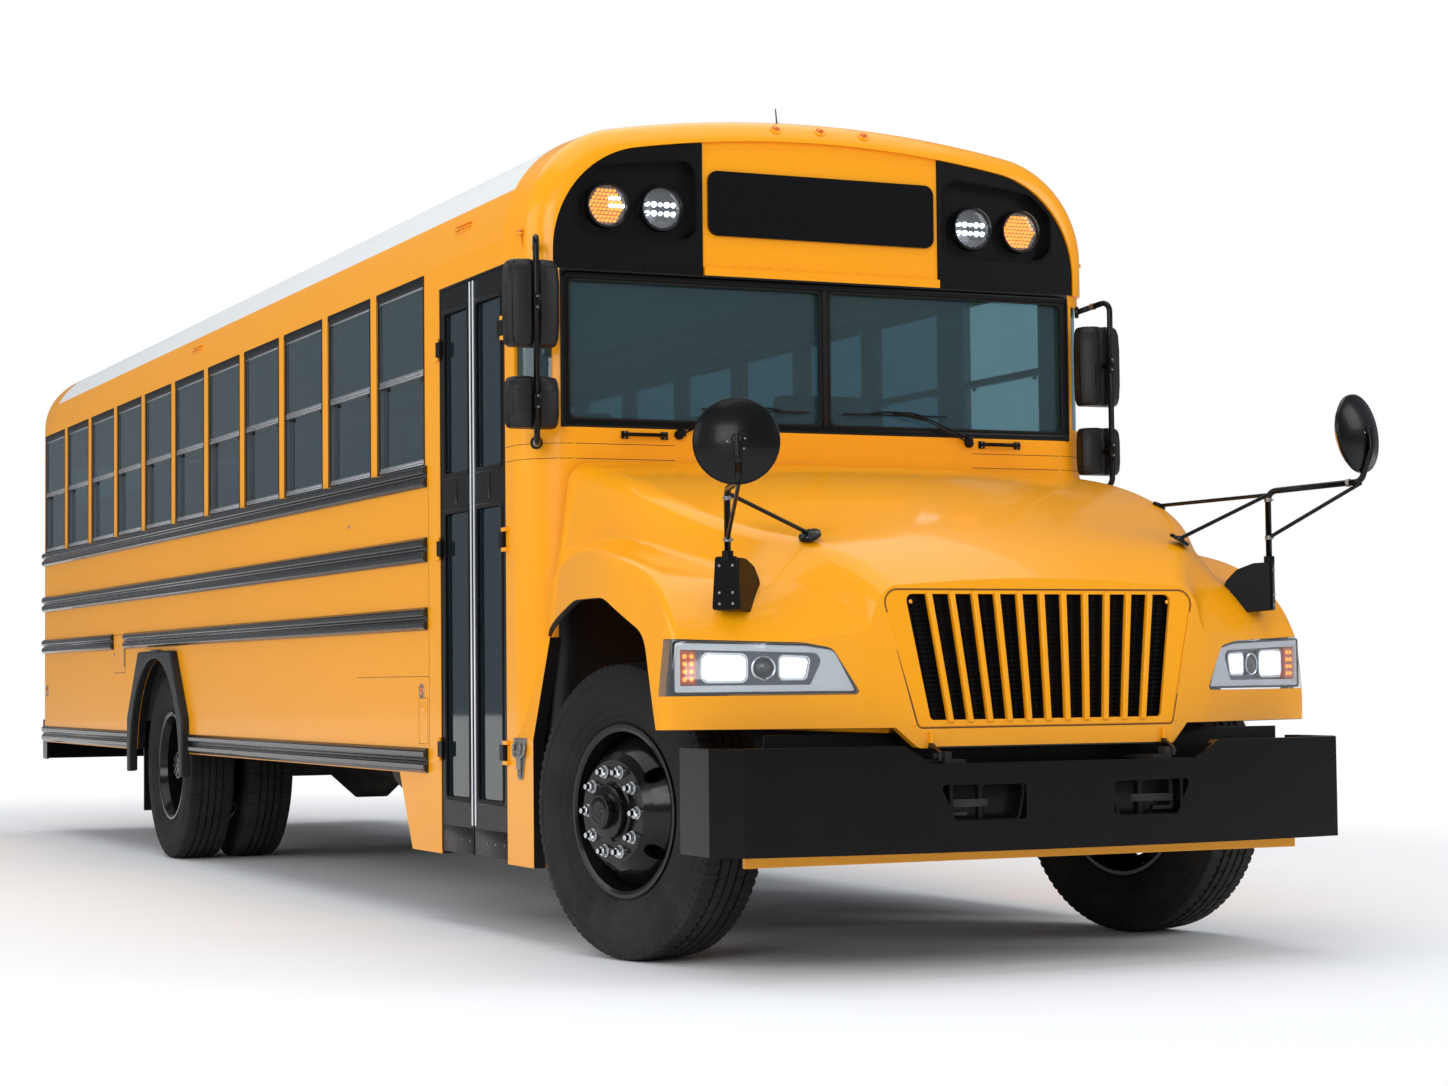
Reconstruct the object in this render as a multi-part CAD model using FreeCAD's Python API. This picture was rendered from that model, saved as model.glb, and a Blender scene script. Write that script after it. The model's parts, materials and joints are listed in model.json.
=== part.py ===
"""A conventional (bonneted) school bus, built as an assembly of separate named solids.

Millimetres, +Z up. The front faces -Y and the driver's side is +X. While it is modelled, Y is counted from the
front axle; export() then moves everything so that the origin is on the ground under the middle of the bus.
"""
import math
import os

import FreeCAD
import Part

V = FreeCAD.Vector

# ---- overall sizes -------------------------------------------------------------------------------------------
BODY_WIDTH = 2438
WHEELBASE = 6520
BUMPER_NOSE = 1157          # front axle to the front face of the bumper
REAR_OVERHANG = 3430        # rear axle to the back face of the body
REAR_BUMPER_DEPTH = 110
WALL = 45                   # thickness of a body wall, skin to lining
HALF = BODY_WIDTH / 2
INNER = HALF - WALL

# ---- heights above the ground --------------------------------------------------------------------------------
FOOT_Z = 284                # bottom of the cowl legs and the skirt behind the door
SKIRT_Z = 595               # bottom of the side walls
FLOOR_Z = 1050
FLOOR_THICK = 40
SILL_Z = 1853               # bottom of the side windows
WINDOW_TOP_Z = 2625
EAVE_Z = 2640               # where the roof's shoulder starts
ROOF_Z = 3130
CROWN_RADIUS = 4900
CAP_Z = 2500                # underside of the front cap

# ---- places along the bus, from the front axle ---------------------------------------------------------------
COWL_Y = 600                # front face of the cowl
COWL_CORNER_R = 190
POST_Y = 870                # front edge of the entry door opening
DOOR_REAR_Y = 1640          # rear edge of the entry door opening
FIRST_WINDOW_Y = 1782       # centre of the pillar ahead of the first passenger window
WINDOW_COUNT = 11
PILLAR = 96
BODY_REAR_Y = WHEELBASE + REAR_OVERHANG
WINDOW_PITCH = (BODY_REAR_Y - 50 - FIRST_WINDOW_Y) / WINDOW_COUNT
REAR_CORNER_R = 88          # upright corners
REAR_ROOF_R = 230           # end of the roof, from the side
REAR_MODULE_Y = BODY_REAR_Y - 94
REAR_CAP_Y = BODY_REAR_Y - 300      # where the roof's rear cap starts
REAR_FACE_Y = BODY_REAR_Y + REAR_BUMPER_DEPTH
SHIFT_Y = (BUMPER_NOSE - REAR_FACE_Y) / 2      # front-axle coordinates to the exported frame

# ---- wheels and axles ----------------------------------------------------------------------------------------
TYRE_R = 515
TYRE_WIDTH = 270
RIM_R = 300                 # over the rim's flanges
RIM_BEAD_R = 286
FRONT_TRACK_HALF = 1030
KINGPIN_X = 900
DUAL_OUTER_X = 1050
DUAL_SPACING = 326
DISC_OFFSET = 163           # rim centre to the disc's mounting face, rear wheels
FRONT_DISC_OFFSET = 150
STEER_REST = 13.5           # degrees: the front wheels are parked turned to the left
STEER_ARM = 190
STEER_LIMIT = 38

# ---- entry door ----------------------------------------------------------------------------------------------
DOOR_LOW_Z = 296
DOOR_TOP_Z = 2535
DOOR_THICK = 36
DOOR_GAP = 5
HINGE_OUT = 9               # hinge axis outside the skin
HINGE_PIN_R = 4
HINGE_BARREL_R = 8
HINGE_BARREL = 60

CLEAR = 3                   # seam between pieces that meet
SEAT = 0.3                  # gap where a piece rests on its seat
PIN_FIT = 0.05              # running clearance of a pin in its bore

NODES = {}


# ---- helpers -------------------------------------------------------------------------------------------------
def box(x0, x1, y0, y1, z0, z1):
    return Part.makeBox(x1 - x0, y1 - y0, z1 - z0, V(x0, y0, z0))


def cylinder(centre, axis, radius, length):
    """A cylinder centred on a point, along axis."""
    d = V(*axis).normalize()
    return Part.makeCylinder(radius, length, V(*centre) - d * (length / 2), d)


def rod(a, b, radius):
    d = V(*b) - V(*a)
    return Part.makeCylinder(radius, d.Length, V(*a), d)


def knee(point, radius):
    """A ball that joins two rods, a little fatter than they are."""
    return Part.makeSphere(radius + 0.8, V(*point))


def ring(centre, axis, outer, inner, length):
    return cylinder(centre, axis, outer, length).cut(cylinder(centre, axis, inner, length + 2))


def rounded_edges(points, radii):
    """Lines and arcs along an open row of 3-D points, each inner corner rounded with its radius."""
    pts = [V(*p) for p in points]
    edges, here = [], pts[0]
    for i in range(1, len(pts) - 1):
        a, b = (pts[i - 1] - pts[i]).normalize(), (pts[i + 1] - pts[i]).normalize()
        r = radii[i - 1]
        if r:
            half = a.getAngle(b) / 2
            back = r / math.tan(half)
            mid_way = (a + b).normalize() * (r / math.sin(half) - r)
            start, end = pts[i] + a * back, pts[i] + b * back
            edges += [Part.LineSegment(here, start).toShape(),
                      Part.Arc(start, pts[i] + mid_way, end).toShape()]
            here = end
        else:
            edges.append(Part.LineSegment(here, pts[i]).toShape())
            here = pts[i]
    edges.append(Part.LineSegment(here, pts[-1]).toShape())
    return edges


def outline(points, radii=0):
    """A closed wire through 3-D points, its corners rounded. radii is one number or one for each point."""
    n = len(points)
    radii = [radii] * n if isinstance(radii, (int, float)) else list(radii)
    mid = [(points[0][k] + points[-1][k]) / 2 for k in range(3)]
    return Part.Wire(rounded_edges([mid] + list(points) + [mid], radii))


def prism(points, radii, along):
    """The area inside an outline, extruded by the vector along."""
    return Part.Face(outline(points, radii)).extrude(V(*along))


def prism_x(yz, x0, x1, radii=0):
    return prism([(x0, y, z) for y, z in yz], radii, (x1 - x0, 0, 0))


def prism_y(xz, y0, y1, radii=0):
    return prism([(x, y0, z) for x, z in xz], radii, (0, y1 - y0, 0))


def prism_z(xy, z0, z1, radii=0):
    return prism([(x, y, z0) for x, y in xy], radii, (0, 0, z1 - z0))


def rectangle(a0, a1, b0, b1):
    return [(a0, b0), (a1, b0), (a1, b1), (a0, b1)]


def mirrored(shape):
    """The same piece on the other side of the bus."""
    return shape.mirror(V(0, 0, 0), V(1, 0, 0))


def both(shape):
    return [shape, mirrored(shape)]


def fuse(pieces):
    whole = pieces[0]
    if len(pieces) > 1:
        whole = whole.multiFuse(list(pieces[1:]))
    return whole.removeSplitter()


def turned(shape, degrees, centre, axis=(0, 0, 1)):
    copy = shape.copy()
    copy.rotate(V(*centre), V(*axis), degrees)
    return copy


def add(name, *shapes):
    NODES.setdefault(name, []).extend(s for shape in shapes for s in shape.Solids)


# ---- body section --------------------------------------------------------------------------------------------
def shoulder_radius(half, eave, top, crown):
    """Radius of the roof's shoulder that meets both the upright side and the crown smoothly."""
    rise = eave - (top - crown)
    return (crown ** 2 - half ** 2 - rise ** 2) / (2 * (crown - half))


def section_face(y, inset, low, half=HALF, eave=EAVE_Z, top=ROOF_Z, crown=CROWN_RADIUS):
    """The body's cross-section at y, inset from its skin and closed at height low."""
    r = shoulder_radius(half, eave, top, crown)
    shoulder_x, crown_z = half - r, top - crown
    tilt = math.atan2(shoulder_x, eave - crown_z)
    r, crown = r - inset, crown - inset
    x = half - inset

    def shoulder(angle, side):
        return V(side * (shoulder_x + r * math.sin(angle)), y, eave + r * math.cos(angle))

    middle = (tilt + math.pi / 2) / 2
    wire = Part.Wire([
        Part.LineSegment(V(x, y, low), V(x, y, eave)).toShape(),
        Part.Arc(V(x, y, eave), shoulder(middle, 1), shoulder(tilt, 1)).toShape(),
        Part.Arc(shoulder(tilt, 1), V(0, y, crown_z + crown), shoulder(tilt, -1)).toShape(),
        Part.Arc(shoulder(tilt, -1), shoulder(middle, -1), V(-x, y, eave)).toShape(),
        Part.LineSegment(V(-x, y, eave), V(-x, y, low)).toShape(),
        Part.LineSegment(V(-x, y, low), V(x, y, low)).toShape(),
    ])
    return Part.Face(wire)


def hinge_halves(axis, fixed_x, fixed_y, moving_x, moving_y, heights):
    """Upright hinges at an axis (x, y): pins and lugs for the frame side, barrels and leaves for the door side.

    fixed_x, fixed_y, moving_x and moving_y are the plan extents of the lugs and of the leaves.
    """
    x, y = axis
    half = HINGE_BARREL / 2
    fixed, moving, bores = [], [], []
    for z in heights:
        fixed.append(cylinder((x, y, z), (0, 0, 1), HINGE_PIN_R, HINGE_BARREL + 30))
        for end in (-1, 1):
            low, high = sorted((z + end * (half + 0.5), z + end * (half + 15)))
            fixed.append(cylinder((x, y, (low + high) / 2), (0, 0, 1), HINGE_BARREL_R, high - low))
            fixed.append(box(*fixed_x, *fixed_y, low, high))
        moving.append(cylinder((x, y, z), (0, 0, 1), HINGE_BARREL_R, HINGE_BARREL))
        moving.append(box(*moving_x, *moving_y, z - half, z + half))
        bores.append(cylinder((x, y, z), (0, 0, 1), HINGE_PIN_R + PIN_FIT, HINGE_BARREL + 2))
    return fixed, moving, bores


def section_block(y0, y1, inset, low, **sizes):
    return section_face(y0, inset, low, **sizes).extrude(V(0, y1 - y0, 0))


def end_block(y0, y1, inset, low, face_y, radius):
    """A block of the body's section with the edges round the face at face_y rounded."""
    block = section_block(y0, y1, inset, low)
    edges = [e for e in block.Edges
             if all(abs(v.Y - face_y) < 0.01 for v in e.Vertexes)
             and abs(e.CenterOfMass.y - face_y) < 0.01 and e.CenterOfMass.z > low + 1]
    return block.makeFillet(radius, edges)


# ---- body shell ----------------------------------------------------------------------------------------------
def window_y(index):
    """Front and rear edge of a passenger window's opening."""
    start = FIRST_WINDOW_Y + index * WINDOW_PITCH
    return start + PILLAR / 2, start + WINDOW_PITCH - PILLAR / 2


DRIVER_WINDOW_Y = (960, 1640)
ARCH_R = 600                # rear wheel opening
SKIRT_TAIL_Y = 2012         # rear end of the deep skirt at its foot
SKIRT_SLOPE = 169           # how far its rear edge leans back


def arch_cut(x0, x1, radius=ARCH_R):
    hole = cylinder(((x0 + x1) / 2, WHEELBASE, TYRE_R), (1, 0, 0), radius, x1 - x0)
    return hole.fuse(box(x0, x1, WHEELBASE - radius, WHEELBASE + radius, 0, TYRE_R))


def side_wall(front_y):
    """The wall on the driver's side, from front_y to the rear corner, with its windows and wheel arch."""
    foot = [(front_y, EAVE_Z), (front_y, FOOT_Z), (SKIRT_TAIL_Y, FOOT_Z), (SKIRT_TAIL_Y + SKIRT_SLOPE, SKIRT_Z),
            (REAR_MODULE_Y, SKIRT_Z), (REAR_MODULE_Y, EAVE_Z)]
    wall = prism_x(foot, INNER, HALF)
    holes = [window_y(i) for i in range(WINDOW_COUNT)]
    cuts = [box(INNER - 5, HALF + 5, a, b, SILL_Z, WINDOW_TOP_Z) for a, b in holes]
    cuts.append(arch_cut(INNER - 5, HALF + 5))
    return wall.cut(Part.makeCompound(cuts))


def make_walls():
    left = side_wall(POST_Y)
    left = left.cut(box(INNER - 5, HALF + 5, *DRIVER_WINDOW_Y, SILL_Z, WINDOW_TOP_Z))
    add("side_wall_left", left)
    doorway = box(INNER - 5, HALF + 5, POST_Y - 5, DOOR_REAR_Y, 0, DOOR_TOP_Z + DOOR_GAP)
    right = mirrored(side_wall(POST_Y).cut(doorway))
    add("side_wall_right", fuse([right] + entry_hinges(DOOR_REAR_Y - DOOR_GAP, -1)[0]))


HATCH_Y = (3600, 7500)      # centres of the two roof hatches
HATCH = 620                 # opening
HATCH_RIM = 30
COLLAR = 25                 # its collar's height above the roof


HATCH_HINGE_Z = ROOF_Z + COLLAR + 16
HATCH_BARREL = 120
HATCH_LUG = (HATCH_BARREL / 2 + 0.5, HATCH_BARREL / 2 + 20)


def hatch_hinge_y(y):
    return y - HATCH / 2 - HATCH_RIM - 12


def make_roof():
    """Roof panels between the hatches, and a pair of side panels beside each hatch."""
    shell = section_block(POST_Y, REAR_CAP_Y, 0, EAVE_Z - 200).cut(
        section_block(POST_Y - 5, REAR_CAP_Y + 5, WALL, EAVE_Z - 205))
    shell = shell.cut(box(-HALF - 5, HALF + 5, POST_Y - 5, REAR_CAP_Y + 5, EAVE_Z - 300, EAVE_Z))
    h = HATCH / 2
    for y in HATCH_Y:
        collar = box(-h - HATCH_RIM, h + HATCH_RIM, y - h - HATCH_RIM, y + h + HATCH_RIM, ROOF_Z - 60, ROOF_Z + COLLAR)
        collar = collar.cut(section_block(y - 500, y + 500, WALL, EAVE_Z - 205))
        pieces = [shell, collar]
        for side in (1, -1):
            x0, x1 = sorted((side * HATCH_LUG[0], side * HATCH_LUG[1]))
            hy = hatch_hinge_y(y)
            pieces += [box(x0, x1, hy - 9, hy + 9, ROOF_Z - 12, HATCH_HINGE_Z),
                       cylinder(((x0 + x1) / 2, hy, HATCH_HINGE_Z), (1, 0, 0), 9, x1 - x0)]
        pieces.append(cylinder((0, hy, HATCH_HINGE_Z), (1, 0, 0), HINGE_PIN_R, 2 * HATCH_LUG[0] + 10))
        shell = fuse(pieces).cut(box(-h, h, y - h, y + h, ROOF_Z - 300, ROOF_Z + 100))
    seams = []
    for y in HATCH_Y:
        for end in (y - h, y + h):
            seams.append(box(-HALF - 5, HALF + 5, end - SEAT / 2, end + SEAT / 2, EAVE_Z - 10, ROOF_Z + 100))
    shell = shell.cut(Part.makeCompound(seams))
    add("roof_shell", shell)


def make_hatches():
    h = HATCH / 2 + HATCH_RIM + 12
    for name, y in zip(("roof_hatch_front", "roof_hatch_rear"), HATCH_Y):
        lid = prism_z(rectangle(-h, h, y - h, y + h), ROOF_Z + COLLAR + SEAT, ROOF_Z + COLLAR + 32, 50)
        lid = lid.makeFillet(14, [e for e in lid.Edges if e.BoundBox.ZMin > ROOF_Z + COLLAR + 31])
        hy = hatch_hinge_y(y)
        for side in (1, -1):
            x0, x1 = sorted((side * (HATCH_LUG[0] - 0.5), side * (HATCH_LUG[1] + 4)))
            lid = lid.cut(box(x0, x1, hy - 30, hy + 26, ROOF_Z, ROOF_Z + 100))
        lid = lid.fuse(cylinder((0, hy, HATCH_HINGE_Z), (1, 0, 0), 9, HATCH_BARREL))
        add(name, lid.cut(cylinder((0, hy, HATCH_HINGE_Z), (1, 0, 0), HINGE_PIN_R + PIN_FIT, HATCH_BARREL + 20)))


CAP_R = 120                 # rounding of the front cap's face
CAP_BACK = 135              # front cap's face to its inner cavity
BROW_Z = 3038
BROW_HALF = 1122
CAP_FACE_HALF = 1190         # half width of its face, a little narrower than the body
PANEL_HALF = 507            # yellow middle panel
PANEL_LOW_Z = 2532
PANEL_DEPTH = 20            # middle panel behind the brow
TRAY_DEPTH = 80


def brow_block(y0, y1, inset=0, low=PANEL_LOW_Z):
    return section_block(y0, y1, inset, low + inset, half=BROW_HALF, eave=2570, top=BROW_Z, crown=4700)


def tray_block(y0, y1, inset=0):
    """The space of the two lamp trays, either side of the middle panel and down to the cap's foot."""
    return brow_block(y0, y1, inset, CAP_Z - 3 - inset).cut(
        box(-PANEL_HALF - inset, PANEL_HALF + inset, y0 - 10, y1 + 10, CAP_Z - 20, ROOF_Z))


def make_front_cap():
    ends = [section_face(y, 0, CAP_Z, half=half).OuterWire for y, half in ((COWL_Y, CAP_FACE_HALF), (POST_Y, HALF))]
    cap = Part.makeLoft(ends, True, True)
    edges = [e for e in cap.Edges if all(abs(v.Y - COWL_Y) < 0.01 for v in e.Vertexes)
             and abs(e.CenterOfMass.y - COWL_Y) < 0.01 and e.CenterOfMass.z > CAP_Z + 1]
    cap = cap.makeFillet(CAP_R, edges)
    cap = cap.cut(section_block(COWL_Y + CAP_BACK, POST_Y + 5, WALL, CAP_Z - 5))
    recess = brow_block(COWL_Y - 50, COWL_Y + PANEL_DEPTH)
    cap = cap.cut(recess).cut(tray_block(COWL_Y - 50, COWL_Y + TRAY_DEPTH))
    add("front_cap", cap)


LAMP_X = (672, 893)         # centres of the warning lamps, inner and outer
LAMP_Z = 2750
LAMP_R = 88
SIGN_HALF = 487
SIGN_Z = (2656, 2905)


def make_front_panels():
    """Black lamp trays either side of the yellow panel, and the blank destination sign."""
    face, back = COWL_Y + 12, COWL_Y + TRAY_DEPTH
    tray = tray_block(face, back, CLEAR).common(box(0, HALF, face - 5, back + 5, CAP_Z, ROOF_Z))
    pocket = [(LAMP_X[0] - 135, LAMP_Z - 118), (LAMP_X[1] + 130, LAMP_Z - 118), (LAMP_X[1] + 130, LAMP_Z + 70),
              (LAMP_X[1] + 30, LAMP_Z + 150), (LAMP_X[0] - 135, LAMP_Z + 190)]
    tray = tray.cut(prism_y(pocket, face - 5, back - 22, [60, 80, 70, 70, 60]))
    add("front_panels", *both(tray))
    sign = prism_y(rectangle(-SIGN_HALF, SIGN_HALF, *SIGN_Z), COWL_Y + 8, COWL_Y + PANEL_DEPTH, 40)
    add("front_panels", sign)


WINDSCREEN_HALF = 1080
WINDSCREEN_Z = (1922, 2478)
GLASS_Y = COWL_Y + 26
GLASS = 8
CORNER_GLASS_X = 1118
CORNER_GLASS_Z = (1955, 2455)
CORNER_GLASS_Y = 770
FIREWALL_GAP = 450          # half width of the opening for the engine and frame
HOOD_REAR_Z = 1128


def cowl_plan(inset):
    """Corners of the front wall seen from above, and their radii."""
    r = COWL_CORNER_R - inset
    x, y = HALF - inset, COWL_Y + inset
    return [(-x, POST_Y + (5 if inset else 0)), (-x, y), (x, y), (x, POST_Y + (5 if inset else 0))], [0, r, r, 0]


def make_cowl():
    plan, radii = cowl_plan(0)
    inner, inner_radii = cowl_plan(WALL)
    wall = prism_z(plan, FOOT_Z, CAP_Z, radii).cut(prism_z(inner, FOOT_Z - 5, CAP_Z + 5, inner_radii))
    # below the hood's rear corner the side flares out flat, ahead of the rounded corner
    leg = [(INNER, FOOT_Z), (HALF, FOOT_Z), (HALF, 750), (1150, HOOD_REAR_Z), (1105, HOOD_REAR_Z), (INNER, 750)]
    for side in both(prism_y(leg, COWL_Y - 8, COWL_Y + COWL_CORNER_R)):
        wall = wall.fuse(side)
    cuts = [box(-WINDSCREEN_HALF - 14, WINDSCREEN_HALF + 14, COWL_Y - 20, COWL_Y + 60,
                WINDSCREEN_Z[0] - 14, WINDSCREEN_Z[1] + 14),
            box(-FIREWALL_GAP, FIREWALL_GAP, COWL_Y - 20, COWL_Y + 60, 0, FLOOR_Z - FLOOR_THICK),
            box(-INNER, INNER, COWL_Y - 20, COWL_Y + 60, 0, 560)]
    cuts += both(box(CORNER_GLASS_X, HALF + 20, COWL_Y - 20, CORNER_GLASS_Y, *CORNER_GLASS_Z))
    wall = wall.cut(Part.makeCompound(cuts)).removeSplitter()
    add("cowl", fuse([wall] + entry_hinges(POST_Y + DOOR_GAP, 1)[0]))


def rear_block(inset):
    """The rear end, grown inwards by inset: a wall below the eaves and a deeper cap above them."""
    grow = 5 if inset else 0
    low = section_block(REAR_MODULE_Y - grow, BODY_REAR_Y, inset, SKIRT_Z - grow)
    low = low.cut(box(-HALF, HALF, REAR_MODULE_Y - 10, BODY_REAR_Y + 5, EAVE_Z, ROOF_Z + 5))
    top = section_block(REAR_CAP_Y - grow, BODY_REAR_Y, inset, EAVE_Z - 100)
    top = top.cut(box(-HALF, HALF, REAR_CAP_Y - 10, BODY_REAR_Y + 5, EAVE_Z - 150, EAVE_Z))
    y, x = BODY_REAR_Y - inset, HALF - inset
    side = prism_x([(REAR_CAP_Y - 50, SKIRT_Z - 50), (y, SKIRT_Z - 50), (y, ROOF_Z - inset), (REAR_CAP_Y - 50, ROOF_Z - inset)],
                   -HALF, HALF, [0, 0, REAR_ROOF_R - inset, 0])
    # the upright corners start a touch behind the face, so that they don't end where the roof's rounding does
    y += 1.5
    plan = prism_z([(-x, REAR_CAP_Y - 50), (-x, y), (x, y), (x, REAR_CAP_Y - 50)], SKIRT_Z - 50, ROOF_Z + 50,
                   [0, REAR_CORNER_R - inset, REAR_CORNER_R - inset, 0])
    return low.common(side).common(plan), top.common(side).common(plan)


CAP_MIDDLE = 300            # half width of the rear cap's middle panel
CAP_JOINTS = (0, 20, 55, 90)        # joints round its bend, in degrees


def cap_joints():
    """Hairline joints between the panels of the rear cap."""
    y, z = BODY_REAR_Y - REAR_ROOF_R, ROOF_Z - REAR_ROOF_R
    joints = both(box(CAP_MIDDLE, CAP_MIDDLE + SEAT, REAR_CAP_Y - 10, BODY_REAR_Y + 10, EAVE_Z - 10, ROOF_Z + 100))
    for angle in CAP_JOINTS:
        joint = box(-CAP_MIDDLE, CAP_MIDDLE, y, y + 2 * REAR_ROOF_R, z - SEAT / 2, z + SEAT / 2)
        joint.rotate(V(0, y, z), V(1, 0, 0), angle)
        joints.append(joint)
    return Part.makeCompound(joints)


def make_rear_wall():
    (low, cap), (low_hollow, cap_hollow) = rear_block(0), rear_block(WALL)
    shell = cap.cut(cap_hollow).cut(box(-HALF - 5, HALF + 5, REAR_CAP_Y - 5, BODY_REAR_Y + 5, EAVE_Z - 50, EAVE_Z + SEAT))
    add("rear_wall", *shell.cut(cap_joints()).Solids)
    wall = low.cut(low_hollow)
    wall = wall.cut(box(-REAR_DOOR_HALF, REAR_DOOR_HALF, REAR_MODULE_Y - 10, BODY_REAR_Y + 10, *REAR_DOOR_Z))
    for side in both(box(*REAR_WINDOW_X, REAR_MODULE_Y - 10, BODY_REAR_Y + 10, *REAR_WINDOW_Z)):
        wall = wall.cut(side)
    add("rear_wall", fuse([wall] + rear_hinges()[0]))


REAR_DOOR_HALF = 430
REAR_DOOR_Z = (1000, 2500)
REAR_DOOR_GAP = 6
REAR_HINGE = (-REAR_DOOR_HALF + REAR_DOOR_GAP, BODY_REAR_Y + HINGE_OUT)
REAR_WINDOW_X = (560, 1010)
REAR_WINDOW_Z = (SILL_Z, 2440)
STEP_X = (-INNER + 2, -560)
STEP_RISE = 240
STEP_LOW_Z = 330
STEP_PLATE = 25
HOUSE_X = 560               # inner face of the rear wheelhouses
HOUSE_R = 640
SILL_BEAM = 60              # cross beams between the frame and the floor


def make_floor():
    """Floor plate with its cross beams, and the two rear wheelhouses."""
    plate = box(-INNER, INNER, COWL_Y + WALL, REAR_MODULE_Y, FLOOR_Z - FLOOR_THICK, FLOOR_Z)
    plan, radii = cowl_plan(WALL)
    rear_end = box(-INNER, INNER, POST_Y, REAR_MODULE_Y, FLOOR_Z - FLOOR_THICK, FLOOR_Z)
    plate = plate.common(prism_z(plan, FLOOR_Z - 100, FLOOR_Z + 100, radii)).fuse(rear_end)
    cuts = [box(-INNER - 5, STEP_X[1] + STEP_PLATE, POST_Y, DOOR_REAR_Y, 900, 1100)]
    cuts += both(cylinder(((HOUSE_X + INNER + 5) / 2, WHEELBASE, TYRE_R), (1, 0, 0), HOUSE_R - 10, INNER + 5 - HOUSE_X))
    cuts += both(box(1098, INNER + 5, COWL_Y, COWL_Y + COWL_CORNER_R + CLEAR, 900, 1100))
    plate = plate.cut(Part.makeCompound(cuts))
    pieces, beams = [plate], []
    beam_y = 1750
    while beam_y < BODY_REAR_Y - 300:
        if abs(beam_y - WHEELBASE) > HOUSE_R + 60:
            beams.append(box(-INNER, INNER, beam_y, beam_y + 50,
                             FLOOR_Z - FLOOR_THICK - SILL_BEAM, FLOOR_Z - FLOOR_THICK - SEAT))
        beam_y += 2 * WINDOW_PITCH / 3
    for side in (1, -1):
        x0, x1 = sorted((side * HOUSE_X, side * INNER))
        tub = cylinder(((x0 + x1) / 2, WHEELBASE, TYRE_R), (1, 0, 0), HOUSE_R, x1 - x0)
        low = box(x0 - 5, x1 + 5, WHEELBASE - 800, WHEELBASE + 800, -200, 760)
        c0, c1 = (x0 + 20, x1 + 5) if side > 0 else (x0 - 5, x1 - 20)
        hollow = cylinder(((c0 + c1) / 2, WHEELBASE, TYRE_R), (1, 0, 0), HOUSE_R - 20, c1 - c0)
        pieces.append(tub.cut(low).cut(hollow))
    # hairline joints part the walkway and the wheelhouses from the plates beside them
    walk = STEP_X[1] + STEP_PLATE
    joints = both(box(-walk, -walk + SEAT, COWL_Y, BODY_REAR_Y, 700, 1300))
    for y in (WHEELBASE - HOUSE_R - 10, WHEELBASE + HOUSE_R + 10):
        joints += both(box(-walk, INNER + 5, y, y + SEAT, 700, 1300))
    add("floor", *(fuse(pieces).cut(Part.makeCompound(joints)).Solids + beams))


def make_entry_steps():
    """Three steps up from the door, with the well's two side plates."""
    x0, x1 = STEP_X
    going = (x1 - x0) / 3
    pieces = []
    for i in range(3):
        a, z = x0 + i * going, STEP_LOW_Z + i * STEP_RISE
        pieces.append(box(a, a + going + STEP_PLATE, POST_Y + 4, DOOR_REAR_Y - 4, z - STEP_PLATE, z))
        top = z + STEP_RISE if i < 2 else FLOOR_Z
        pieces.append(box(a + going, a + going + STEP_PLATE, POST_Y + 4, DOOR_REAR_Y - 4, z - STEP_PLATE, top))
    stair = [(x0, STEP_LOW_Z - STEP_PLATE)]
    for i in range(3):
        a, z = x0 + (i + 1) * going + STEP_PLATE, STEP_LOW_Z + i * STEP_RISE - STEP_PLATE
        stair += [(a, z), (a, min(z + STEP_RISE, FLOOR_Z))]
    stair.append((x0, FLOOR_Z))
    for y in (POST_Y + 4, DOOR_REAR_Y - 4 - STEP_PLATE):
        pieces.append(prism_y(stair, y, y + STEP_PLATE))
    add("entry_steps", fuse(pieces))


# ---- glass and window frames ---------------------------------------------------------------------------------
FRAME_BAR = 26
MID_RAIL_Z = 2235
SASH_STEP = 14              # the upper pane stands this far outside the lower one


def window_frame(y0, y1, x_out, two_panes=True):
    """An aluminium frame in the wall, with a middle rail between its upper and lower pane."""
    frame = box(INNER + 4, x_out, y0, y1, SILL_Z, WINDOW_TOP_Z)
    lights = [(SILL_Z + FRAME_BAR, MID_RAIL_Z - 14), (MID_RAIL_Z + 14, WINDOW_TOP_Z - FRAME_BAR)]
    panes = []
    for i, (z0, z1) in enumerate(lights if two_panes else [(lights[0][0], lights[1][1])]):
        frame = frame.cut(box(INNER - 5, HALF + 5, y0 + FRAME_BAR, y1 - FRAME_BAR, z0, z1))
        x = INNER + 16 + (SASH_STEP if i else 0)
        panes.append(box(x, x + 6, y0 + FRAME_BAR, y1 - FRAME_BAR, z0, z1))
    return frame, panes


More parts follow.
